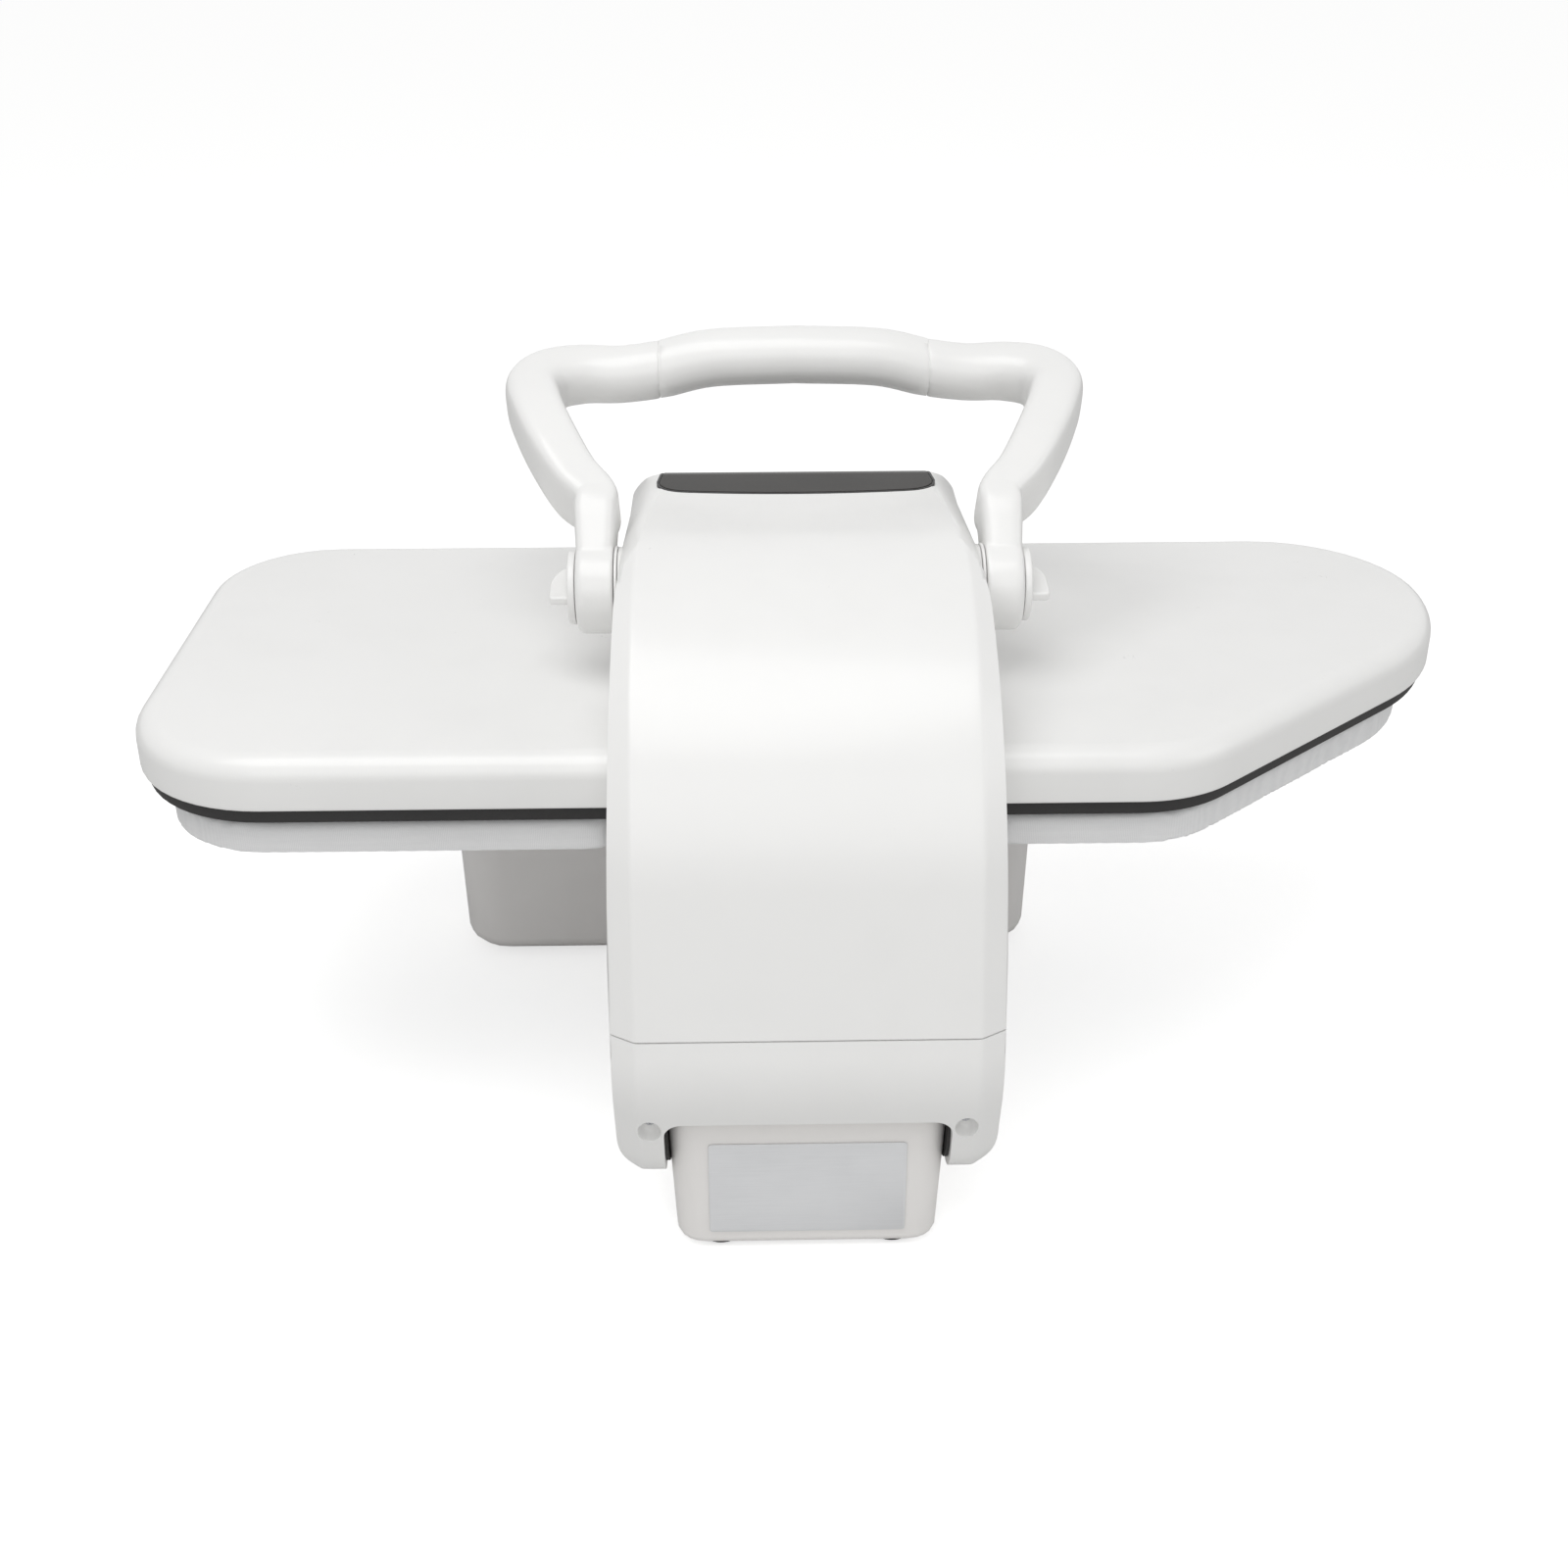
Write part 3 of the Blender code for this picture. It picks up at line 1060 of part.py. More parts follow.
def make_control_panel():
    depth = PANEL_THICKNESS - PANEL_PROUD
    carry(paint(skin("control_panel", panel_outline(0.0), -PANEL_PROUD, depth), GLASS), ARM_BODY)
    ring = skin("panel_bezel", panel_outline(BEZEL_WIDTH), -PANEL_PROUD / 2, depth)
    floor = ARM_TOP - ARM_SPLIT_DEPTH
    cut(ring, prism("middle", panel_outline(GAP), "Z", floor - OVERRUN, ARM_TOP + OVERRUN * 2))
    carry(paint(ring, BEZEL), ARM_BODY)
    half = PANEL_HALF * CONTROL_BOARD_SHARE
    rear, near = PANEL_REAR_Y - PANEL_CORNER, PANEL_FRONT_Y + PANEL_CORNER
    board = [(-half, rear), (half, rear), (half, near), (-half, near)]
    sheet = skin("control_board", board, SHELL + GAP, SHELL + GAP + PANEL_THICKNESS)
    carry(paint(sheet, BOARD_GREEN), ARM_BODY)


def make_cover_screws():
    for name, side in (("cover_screw_left", 1.0), ("cover_screw_right", -1.0)):
        profile = [(COVER_SCREW_RADIUS, LEG_CAVITY_REAR_Y), (COVER_SCREW_RADIUS, RECESS_FLOOR_Y + GAP),
                   (COVER_SCREW_RADIUS * 2, RECESS_FLOOR_Y + GAP),
                   (COVER_SCREW_RADIUS * SCREW_CROWN_SHARE, RECESS_FLOOR_Y + GAP + COVER_SCREW_RADIUS)]
        carry(turned(name, "Y", (side * COVER_SCREW_X, COVER_SCREW_Z), profile, STEEL, 12), ARM_BODY)


# Steel inside the arm
MOUNT_PLATE_THICKNESS = 0.003
MOUNT_PLATE_LOW = HEAD_TOP + GAP
MOUNT_PLATE_FRONT_Y = -0.215
BOLT_RADIUS = 0.004
BOLT_HEAD = 0.0065
BOLT_HEAD_HEIGHT = 0.0052
BOLT_REAR_Y = -0.060
BOLT_FRONT_Y = -0.185
BOLT_PLACES = ((0.0, BOLT_REAR_Y), (0.0, BOLT_FRONT_Y))


def make_side_plates():
    outline = inset(arm_outline(), PLATE_EDGE)
    far_y = ARM_FRONT_FOOT_Y - OVERRUN
    for name, side in (("side_plate_left", 1.0), ("side_plate_right", -1.0)):
        plate = prism(name, outline, "X", side * PLATE_INNER, side * (PLATE_INNER + PLATE_THICKNESS_ARM))
        wide = ARM_HALF
        cut(plate,
            block("head", (-wide, far_y, -OVERRUN), (wide, ARM_THROAT_Y + PLATE_EDGE / 2, HEAD_TOP + GAP)),
            block("crown", (-wide, far_y, ARM_TOP + ARM_CROWN_RISE - ARM_CROWN_RADIUS),
                  (wide, ARM_REAR + OVERRUN, ARM_TOP + OVERRUN)),
            block("rear", (-wide, LEG_CAVITY_REAR_Y - GAP * 3, -OVERRUN),
                  (wide, ARM_REAR + OVERRUN, LEG_CAVITY_TOP + GAP * 2)),
            rod("bush_hole", "X", (HINGE_Y, HINGE_Z), BUSH_OUTER + GAP, -wide, wide),
            rod("stud_hole", "X", (HUB_Y, HUB_Z), STUD_RADIUS + GAP, -wide, wide, sides=16))
        carry(paint(plate, STEEL), ARM_BODY)


def make_bushes():
    inner = AXLE_RADIUS + GAP
    for name, side in (("hinge_bush_left", 1.0), ("hinge_bush_right", -1.0)):
        start = side * (LEG_CLEAR_HALF + GAP)
        plate = side * (PLATE_INNER - GAP)
        collar = side * (LEG_CLEAR_HALF + LEG_WALL + GAP)
        end = side * (PLATE_INNER + PLATE_THICKNESS_ARM)
        wide = BUSH_OUTER + BUSH_FLANGE
        profile = [(inner, start), (BUSH_OUTER, start), (BUSH_OUTER, collar), (wide, collar),
                   (wide, plate), (BUSH_OUTER, plate), (BUSH_OUTER, end), (inner, end)]
        carry(turned(name, "X", (HINGE_Y, HINGE_Z), profile, BRASS, 14, closed=True), ARM_BODY)


CROSS_BAR_RADIUS = 0.006
CROSS_BAR_Y = 0.020
CROSS_BAR_Z = 0.135


def make_cross_bar():
    end = PLATE_INNER - GAP
    carry(rod("cross_bar", "X", (CROSS_BAR_Y, CROSS_BAR_Z), CROSS_BAR_RADIUS, -end, end, STEEL, 14), ARM_BODY)


def make_mount_plate():
    half = PLATE_INNER - GAP
    low, high = MOUNT_PLATE_LOW, MOUNT_PLATE_LOW + MOUNT_PLATE_THICKNESS
    plate = block("mount_plate", (-half, MOUNT_PLATE_FRONT_Y, low), (half, ARM_THROAT_Y - PLATE_EDGE, high))
    holes = [rod("hole", "Z", spot, BOLT_RADIUS + GAP, low - OVERRUN, high + OVERRUN, sides=12)
             for spot in BOLT_PLACES]
    holes.append(rod("steam_hole", "Z", (HOSE_X, STEAM_Y), NOZZLE_RADIUS + GAP, low - OVERRUN, high + OVERRUN,
                     sides=12))
    cut(plate, *holes)
    return carry(paint(plate, STEEL), ARM_BODY)


STEAM_Y = -0.100
NOZZLE_RADIUS = 0.0030
CHAMBER_RADIUS = 0.020
CHAMBER_HEIGHT = 0.010


def make_head_bolts():
    top = MOUNT_PLATE_LOW + MOUNT_PLATE_THICKNESS + GAP
    tip = TRAY_TOP - TRAY_WALL
    for name, spot in zip(("head_bolt_rear", "head_bolt_front"), BOLT_PLACES):
        bolt = rod(name, "Z", spot, BOLT_RADIUS, tip, top + BOLT_HEAD / 4, sides=10)
        join(bolt, rod("hex", "Z", spot, BOLT_HEAD, top, top + BOLT_HEAD_HEIGHT, sides=6))
        carry(paint(bolt, STEEL), ARM_BODY)


NUT_RADIUS = 0.0076
NUT_THICKNESS = 0.0060


def make_stud_nuts():
    for name, side in (("stud_nut_left", 1.0), ("stud_nut_right", -1.0)):
        outer = PLATE_INNER - GAP
        nut = rod(name, "X", (HUB_Y, HUB_Z), NUT_RADIUS, side * (outer - NUT_THICKNESS), side * outer, sides=6)
        cut(nut, rod("bore", "X", (HUB_Y, HUB_Z), STUD_RADIUS + GAP, -ARM_HALF, ARM_HALF, sides=12))
        carry(paint(nut, STEEL), ARM_BODY)


# Springs that balance the head: round the axle's ends, inside the legs
SPRING_WIRE = 0.0011
SPRING_RADIUS = 0.0098
SPRING_TURNS = 2.25
SPRING_PITCH = 0.0029


def make_lift_springs():
    for name, side in (("lift_spring_left", 1.0), ("lift_spring_right", -1.0)):
        start = PLATE_INNER + PLATE_THICKNESS_ARM + GAP + SPRING_WIRE
        steps = int(SPRING_TURNS * 10)
        path = []
        for i in range(steps + 1):
            turn = 2 * math.pi * SPRING_TURNS * i / steps + math.pi / 2
            x = start + SPRING_PITCH * SPRING_TURNS * i / steps
            path.append(Vector((side * x, HINGE_Y + SPRING_RADIUS * math.cos(turn),
                                HINGE_Z + SPRING_RADIUS * math.sin(turn))))
        carry(tube(name, path, SPRING_WIRE, STEEL, 6), ARM_BODY)


# Head: cover, steel tray, felt, heated plate and what is fixed on it
ARM_SLOT_HALF = ARM_HALF + GAP
ARM_SLOT_DEPTH = -ARM_THROAT_Y + GAP * 2
TRAY_WALL = 0.0015
TRAY_TOP = HEAD_TOP - SHELL - GAP
TRAY_INSET = SHELL + HEAD_EDGE_ROUND
TRAY_LIFT = 0.003
TRAY_LOW = HEAD_RIM + TRAY_LIFT
SOLE_INSET = 0.017
SOLE_LOW = BOARD_TOP + GAP
SOLE_THICKNESS = 0.006
SOLE_TOP = SOLE_LOW + SOLE_THICKNESS
ELEMENT_RADIUS = 0.0035
ELEMENT_Z = SOLE_TOP + GAP + ELEMENT_RADIUS
FELT_LOW = ELEMENT_Z + ELEMENT_RADIUS + GAP
FELT_HIGH = TRAY_TOP - TRAY_WALL - GAP
BOSS_RADIUS = 0.0045
BOSS_SHARES = ((0.74, 0.32), (0.74, 0.70), (-0.71, 0.61), (-0.40, 0.32), (0.33, 0.70), (-0.34, 0.70))
STEAM_HOLE_RADIUS = 0.0020
STEAM_COLUMN_SHARES = (0.66, 0.30, -0.06, -0.42)
STEAM_ROW_SHARES = (0.36, 0.54, 0.72)
THERMOSTAT_SHARES = (0.42, 0.41)
THERMOSTAT_RADIUS = 0.008
THERMOSTAT_NECK_SHARES = (0.6, 0.7, 0.5)
FUSE_SHARES = (-0.45, 0.52)
FUSE_RADIUS = 0.0025
FUSE_HALF = 0.008
FUSE_HOLE_SHARE = 1.2
ELEMENT_INSET_SHARE = 2.0
ELEMENT_BEND_SHARE = 1.5
ELEMENT_END_SHARE = 0.3


def plate_spot(share_x, share_y):
    # A place on the heated plate: shares of its reach to either end and of its depth.
    reach = SQUARE_REACH if share_x > 0 else NOSE_REACH
    return (reach * share_x, -HEAD_DEPTH * share_y)


BOSS_PLACES = [plate_spot(*shares) for shares in BOSS_SHARES]
THERMOSTAT_SPOT = plate_spot(*THERMOSTAT_SHARES)
FUSE_SPOT = plate_spot(*FUSE_SHARES)


def arm_slot(extra, low, high):
    half = ARM_SLOT_HALF + extra
    return block("slot", (-half, -ARM_SLOT_DEPTH - extra, low - OVERRUN), (half, OVERRUN, high + OVERRUN))


def make_head_cover():
    rings = [(HEAD_EDGE_ROUND, HEAD_TOP)]
    for step in range(1, 6):
        turn = math.radians(90.0 - 18.0 * step)
        rings.append((HEAD_EDGE_ROUND * (1.0 - math.cos(turn)), HEAD_TOP - HEAD_EDGE_ROUND * (1.0 - math.sin(turn))))
    rings += [(0.0, HEAD_RIM), (SHELL, HEAD_RIM), (SHELL, HEAD_TOP - HEAD_EDGE_ROUND)]
    round_in = HEAD_EDGE_ROUND - SHELL
    for step in (1, 2, 3):
        turn = math.radians(30.0 * step)
        rings.append((SHELL + round_in * (1.0 - math.cos(turn)), HEAD_TOP - HEAD_EDGE_ROUND + round_in * math.sin(turn)))
    cover = loft("head_cover", [place(plan(shrink), "Z", z) for shrink, z in rings], WHITE)
    tools = [arm_slot(0.0, HEAD_RIM, HEAD_TOP)]
    for spot in BOLT_PLACES:
        tools.append(rod("hole", "Z", spot, BOLT_RADIUS + GAP, HEAD_TOP - OVERRUN / 2, HEAD_TOP + OVERRUN, sides=12))
    tools.append(rod("steam_hole", "Z", (HOSE_X, STEAM_Y), NOZZLE_RADIUS + GAP, HEAD_TOP - OVERRUN / 2,
                     HEAD_TOP + OVERRUN, sides=12))
    cut(cover, *tools)
    return carry(paint(cover, WHITE), ARM_BODY)


def make_head_tray():
    outer, inner = TRAY_INSET, TRAY_INSET + TRAY_WALL
    rings = [(outer, TRAY_TOP), (outer, TRAY_LOW), (inner, TRAY_LOW), (inner, TRAY_TOP - TRAY_WALL)]
    tray = loft("head_tray", [place(plan(shrink), "Z", z) for shrink, z in rings], STEEL)
    tools = [arm_slot(TRAY_WALL, TRAY_LOW, TRAY_TOP)]
    for spot in BOLT_PLACES:
        tools.append(rod("hole", "Z", spot, BOLT_RADIUS + GAP, TRAY_LOW, HEAD_TOP, sides=12))
    tools.append(rod("steam_hole", "Z", (HOSE_X, STEAM_Y), NOZZLE_RADIUS + GAP, TRAY_LOW, HEAD_TOP, sides=12))
    cut(tray, *tools)
    return carry(paint(tray, STEEL), ARM_BODY)


def make_insulation():
    felt = prism("insulation_felt", plan(TRAY_INSET + TRAY_WALL + GAP), "Z", FELT_LOW, FELT_HIGH)
    tools = [arm_slot(TRAY_WALL * 2, FELT_LOW, FELT_HIGH)]
    for spot in BOSS_PLACES:
        tools.append(rod("hole", "Z", spot, BOSS_RADIUS + GAP, FELT_LOW - OVERRUN, FELT_HIGH + OVERRUN, sides=12))
    for spot, radius in (((HOSE_X, STEAM_Y), CHAMBER_RADIUS), (THERMOSTAT_SPOT, THERMOSTAT_RADIUS),
                         (FUSE_SPOT, FUSE_HALF * FUSE_HOLE_SHARE)):
        tools.append(rod("hole", "Z", spot, radius + GAP * 2, FELT_LOW - OVERRUN, FELT_HIGH + OVERRUN))
    cut(felt, *tools)
    return carry(paint(felt, FELT), ARM_BODY)


def make_heating_plate():
    # Cast bosses on its back carry it from the tray.
    sole = prism("heating_plate", plan(SOLE_INSET), "Z", SOLE_LOW, SOLE_TOP)
    join(sole, *[rod("boss", "Z", spot, BOSS_RADIUS, SOLE_LOW + SOLE_THICKNESS / 2, TRAY_TOP - TRAY_WALL - GAP,
                     sides=10) for spot in BOSS_PLACES])
    tools = [arm_slot(SOLE_INSET / 4, SOLE_LOW, SOLE_TOP)]
    for column in STEAM_COLUMN_SHARES:
        for row in STEAM_ROW_SHARES:
            tools.append(rod("steam_hole", "Z", plate_spot(column, row), STEAM_HOLE_RADIUS, SOLE_LOW - OVERRUN,
                             SOLE_LOW + SOLE_THICKNESS / 2, sides=8))
    cut(sole, *tools)
    return carry(paint(sole, ALUMINIUM), ARM_BODY)


def make_heating_element():
    reach = SOLE_INSET * ELEMENT_INSET_SHARE
    right = SQUARE_REACH - reach
    left = -NOSE_REACH + reach
    rear = -ARM_SLOT_DEPTH - SOLE_INSET
    near = -HEAD_DEPTH + reach
    bend = SOLE_INSET * ELEMENT_BEND_SHARE
    end = ARM_HALF * ELEMENT_END_SHARE
    corners = [(end, rear, 0.0), (right, rear, bend), (right, near, bend), (left, near, bend),
               (left, near + reach * 2, bend), (-DIAGONAL_START, rear, bend), (-end, rear, 0.0)]
    path = place(rounded(corners, 4), "Z", ELEMENT_Z)
    return carry(tube("heating_element", path, ELEMENT_RADIUS, DARK, 8), ARM_BODY)


def make_plate_fittings():
    base = SOLE_TOP + GAP
    tip = MOUNT_PLATE_LOW + MOUNT_PLATE_THICKNESS + NOZZLE_RADIUS
    chamber = [(CHAMBER_RADIUS, base), (CHAMBER_RADIUS, base + CHAMBER_HEIGHT), (NOZZLE_RADIUS, base + CHAMBER_HEIGHT),
               (NOZZLE_RADIUS, tip)]
    carry(turned("steam_chamber", "Z", (HOSE_X, STEAM_Y), chamber, ALUMINIUM, 20), ARM_BODY)
    height = FELT_HIGH - base
    body, top, neck = THERMOSTAT_NECK_SHARES
    stat = [(THERMOSTAT_RADIUS, base), (THERMOSTAT_RADIUS, base + height * body),
            (THERMOSTAT_RADIUS * neck, base + height * top)]
    carry(turned("thermostat", "Z", THERMOSTAT_SPOT, stat, DARK, 16), ARM_BODY)
    fuse = rod("thermal_fuse", "X", (FUSE_SPOT[1], base + FUSE_RADIUS), FUSE_RADIUS,
               FUSE_SPOT[0] - FUSE_HALF, FUSE_SPOT[0] + FUSE_HALF, IVORY, 10)
    carry(fuse, ARM_BODY)


# Hose and cable from the pedestal, through the neck and across the hinge into the arm
def make_lines():
    start_x = PUMP_X + PUMP_HALF * PUMP_NOSE_SHARE + GAP * 3
    bay_x = TANK_X - BAY_HALF
    lane_x = (start_x + bay_x) / 2
    behind = PEDESTAL_REAR_Y
    floor = CHASSIS_TOP + HOSE_RADIUS * 3
    gap_z = (NECK_TOP + LEG_CAVITY_TOP) / 2
    lift = HUB_Z - HUB_RADIUS
    tip = MOUNT_PLATE_LOW + MOUNT_PLATE_THICKNESS + NOZZLE_RADIUS + GAP
    turn_y = PORT_Y - OVERRUN / 2
    hose = [(start_x, PUMP_Y, PUMP_Z), (start_x + HOSE_RADIUS, PUMP_Y, PUMP_Z),
            (lane_x - HOSE_RADIUS, PUMP_Y + HOSE_RADIUS, PUMP_Z), (lane_x, PUMP_Y + HOSE_RADIUS * 3, PUMP_Z),
            (lane_x, behind, floor), (lane_x + HOSE_RADIUS * 3, behind + OVERRUN, floor),
            (HOSE_X, behind + OVERRUN * 3, floor), (HOSE_X, NECK_EXIT_Y - OVERRUN * 2, floor + HOSE_RADIUS),
            (HOSE_X, NECK_EXIT_Y - OVERRUN / 4, NECK_TOP - OVERRUN), (HOSE_X, NECK_EXIT_Y, NECK_TOP),
            (HOSE_X, PORT_Y, gap_z), (HOSE_X, PORT_Y, LEG_CAVITY_TOP), (HOSE_X, PORT_Y, SEAM_HEIGHT),
            (HOSE_X, PORT_Y - OVERRUN / 4, HEAD_RIM), (HOSE_X, turn_y, HEAD_TOP),
            (HOSE_X, turn_y - OVERRUN, lift), (HOSE_X, STEAM_Y + OVERRUN, lift + OVERRUN / 5),
            (HOSE_X, STEAM_Y, tip + OVERRUN / 2), (HOSE_X, STEAM_Y, tip + OVERRUN / 4), (HOSE_X, STEAM_Y, tip)]
    carry(tube("steam_hose", smooth_path(hose, 2), HOSE_RADIUS, SILICONE, 6), MACHINE)
    inlet_y = rear_wall_y(INLET_Z) - INLET_DEPTH - CABLE_RADIUS / 2
    over = PUMP_Z + PUMP_RADIUS + CABLE_RADIUS * 2
    rear = PUMP_Y + CABLE_RADIUS * 2
    board_y = PANEL_REAR_Y - PANEL_CORNER * 2
    board_z = ARM_TOP - SHELL - PANEL_THICKNESS - CABLE_RADIUS * 2
    cable = [(INLET_X, inlet_y, INLET_Z), (INLET_X, inlet_y - CABLE_RADIUS, INLET_Z),
             (INLET_X + CABLE_RADIUS * 2, inlet_y - CABLE_RADIUS * 2, INLET_Z - CABLE_RADIUS * 3),
             (PUMP_X, rear, over), (PUMP_X + PUMP_HALF, rear, over),
             (lane_x, behind - CABLE_RADIUS, over), (lane_x, behind + OVERRUN, over - CABLE_RADIUS * 2),
             (CABLE_X, behind + OVERRUN * 3, floor + CABLE_RADIUS * 2),
             (CABLE_X, NECK_EXIT_Y - OVERRUN * 2, floor + CABLE_RADIUS),
             (CABLE_X, NECK_EXIT_Y - OVERRUN / 4, NECK_TOP - OVERRUN), (CABLE_X, NECK_EXIT_Y, NECK_TOP),
             (CABLE_X, PORT_Y, gap_z), (CABLE_X, PORT_Y, LEG_CAVITY_TOP), (CABLE_X, PORT_Y, SEAM_HEIGHT),
             (CABLE_X, PORT_Y - OVERRUN / 4, HEAD_RIM), (CABLE_X, turn_y, HEAD_TOP),
             (CABLE_X, turn_y - OVERRUN, lift), (CABLE_X, HUB_Y - OVERRUN, board_z - OVERRUN / 2),
             (CABLE_X, board_y + OVERRUN, board_z - OVERRUN / 10), (CABLE_X, board_y, board_z)]
    carry(tube("mains_lead_inside", smooth_path(cable, 2), CABLE_RADIUS, DARK, 6), MACHINE)


# Handle: two side arms, a grip sleeve between them and a steel core
ARM_BROAD = 0.022
ARM_THICK = 0.033
HANDLE_INNER = flank_half(HUB_Z - HUB_RADIUS) + WASHER_THICKNESS + GAP * 2
HUB_OUTER = HANDLE_INNER + HUB_WIDTH
NECK_X = (HANDLE_INNER + HUB_OUTER) / 2

# One row for each section from the hub to the grip: out to the corner, forward and up
# to the grip, width and thickness, then the lean in degrees and how square the section is.
HANDLE_SHARES = (
    (0.00, 0.035, 0.088, 0.78, 1.03, 35.0, 5.0),
    (0.00, 0.116, 0.288, 0.86, 0.94, 36.0, 5.0),
    (0.00, 0.175, 0.399, 0.92, 0.94, 42.0, 5.0),
    (0.01, 0.235, 0.445, 0.94, 0.97, 57.0, 5.0),
    (0.300, 0.320, 0.530, 1.02, 1.00, 66.0, 5.0),
    (0.595, 0.460, 0.690, 1.11, 1.00, 68.0, 4.6),
    (0.856, 0.652, 0.835, 1.16, 1.00, 68.0, 4.2),
    (0.958, 0.817, 0.915, 1.24, 0.97, 68.0, 3.4),
    (0.765, 0.930, 0.985, 1.28, 0.88, 68.0, 2.6),
    (0.317, 0.990, 1.000, 1.29, 0.86, 68.0, 2.2),
    (-0.218, 1.000, 0.993, 1.29, 0.86, 68.0, 2.0),
)
GRIP_RISE_SHARE = 0.22
GRIP_LEVEL_SHARES = (0.62, 0.83)


def handle_stations():
    # Place, width, thickness, lean of the section and how square it is, from hub to middle.
    stations = []
    for out, forward, up, broad, thick, lean, power in HANDLE_SHARES:
        spot = (NECK_X + (CORNER_X - NECK_X) * out, HUB_Y + (GRIP_Y - HUB_Y) * forward,
                HUB_Z + (SHOULDER_Z - HUB_Z) * up)
        stations.append((spot, ARM_BROAD * broad, ARM_THICK * thick, lean, power))
    rise = GRIP_Z - SHOULDER_Z
    along, level = GRIP_LEVEL_SHARES
    for spot in ((GRIP_SEAM_X, GRIP_Y, SHOULDER_Z + rise * GRIP_RISE_SHARE),
                 (GRIP_SEAM_X * along, GRIP_Y, SHOULDER_Z + rise * level), (0.0, GRIP_Y, GRIP_Z)):
        stations.append((spot, GRIP_RADIUS * 2, GRIP_RADIUS * 2, stations[-1][3], 2.0))
    return stations


SEAM_STATION = 11
CORE_STATION = 9


def handle_rings(first, last, steps, sides):
    # Superellipse sections along the smoothed centre line, for the +X half.
    stations = handle_stations()
    places = smooth_path([station[0] for station in stations], steps)
    rings = []
    for i in range(first * steps, last * steps + 1):
        index, part = divmod(i, steps)
        share = part / steps
        a = stations[index]
        b = stations[min(index + 1, len(stations) - 1)]
        width, thick, lean, power = [a[k] + (b[k] - a[k]) * share for k in (1, 2, 3, 4)]
        here = places[i]
        ahead = places[min(i + 1, len(places) - 1)]
        behind = places[max(i - 1, 0)]
        along = (ahead - behind).normalized()
        if index >= SEAM_STATION and (share == 0.0) and index in (SEAM_STATION, len(stations) - 1):
            along = Vector((-1.0, 0.0, 0.0))
        turn = math.radians(lean)
        face = Vector((0.0, math.cos(turn), math.sin(turn)))
        across = face.cross(along).normalized()
        face = along.cross(across).normalized()
        ring = []
        for k in range(sides):
            angle = 2 * math.pi * (k + 0.5) / sides
            c, s = math.cos(angle), math.sin(angle)
            u = math.copysign(abs(c) ** (2.0 / power), c) * width / 2
            v = math.copysign(abs(s) ** (2.0 / power), s) * thick / 2
            ring.append(here + across * u + face * v)
        rings.append(ring)
    return rings


def mirrored(points):
    return [Vector((-p.x, p.y, p.z)) for p in points]


def core_path(trim):
    # From one corner of the handle through the grip to the other.
    right = smooth_path([station[0] for station in handle_stations()[CORE_STATION:]], 2)[trim:]
    return right + mirrored(right[:-1])[::-1]


def make_handle():
    seam = GAP / 2
    for name, side in (("handle_arm_left", 1.0), ("handle_arm_right", -1.0)):
        rings = handle_rings(0, SEAM_STATION, 2, 12)
        rings[-1] = [Vector((GRIP_SEAM_X + seam, p.y, p.z)) for p in rings[-1]]
        if side < 0:
            rings = [mirrored(ring) for ring in rings]
        arm = loft(name, rings)
        hub = [(HUB_RADIUS, side * HANDLE_INNER), (HUB_RADIUS, side * (HUB_OUTER - HUB_BEVEL)),
               (HUB_RADIUS - HUB_BEVEL, side * HUB_OUTER)]
        join(arm, turned("hub", "X", (HUB_Y, HUB_Z), hub, None, 32))
        cut(arm, tube("core_room", core_path(0), CORE_RADIUS + GAP * 2, None, 8),
            rod("bore", "X", (HUB_Y, HUB_Z), STUD_RADIUS + GAP, -HUB_OUTER - OVERRUN, HUB_OUTER + OVERRUN, sides=16))
        carry(paint(arm, WHITE), HANDLE_BODY)
    half = handle_rings(SEAM_STATION, len(handle_stations()) - 1, 2, 12)
    half[0] = [Vector((GRIP_SEAM_X - seam, p.y, p.z)) for p in half[0]]
    half[-1] = [Vector((0.0, p.y, p.z)) for p in half[-1]]
    rings = half + [mirrored(ring) for ring in half[:-1]][::-1]
    grip = loft("handle_grip", rings)
    cut(grip, tube("core_room", core_path(0), CORE_RADIUS + GAP * 2, None, 8))
    carry(paint(grip, WHITE), HANDLE_BODY)
    carry(tube("handle_core", core_path(1), CORE_RADIUS, STEEL, 8), HANDLE_BODY)


def make_hub_washers():
    inner = STUD_RADIUS + GAP
    outer = HUB_RADIUS - HUB_BEVEL
    for name, side in (("hub_washer_left", 1.0), ("hub_washer_right", -1.0)):
        low, high = side * (HANDLE_INNER - GAP - WASHER_THICKNESS), side * (HANDLE_INNER - GAP)
        profile = [(inner, low), (outer, low), (outer, high), (inner, high)]
        carry(turned(name, "X", (HUB_Y, HUB_Z), profile, DARK, 24, closed=True), HANDLE_BODY)


# Wing knobs that clamp the handle, each with its steel stud
KNOB_BODIES = {1.0: holder("knob_axis_left", (HUB_OUTER, HUB_Y, HUB_Z), HANDLE_BODY),
               -1.0: holder("knob_axis_right", (-HUB_OUTER, HUB_Y, HUB_Z), HANDLE_BODY)}


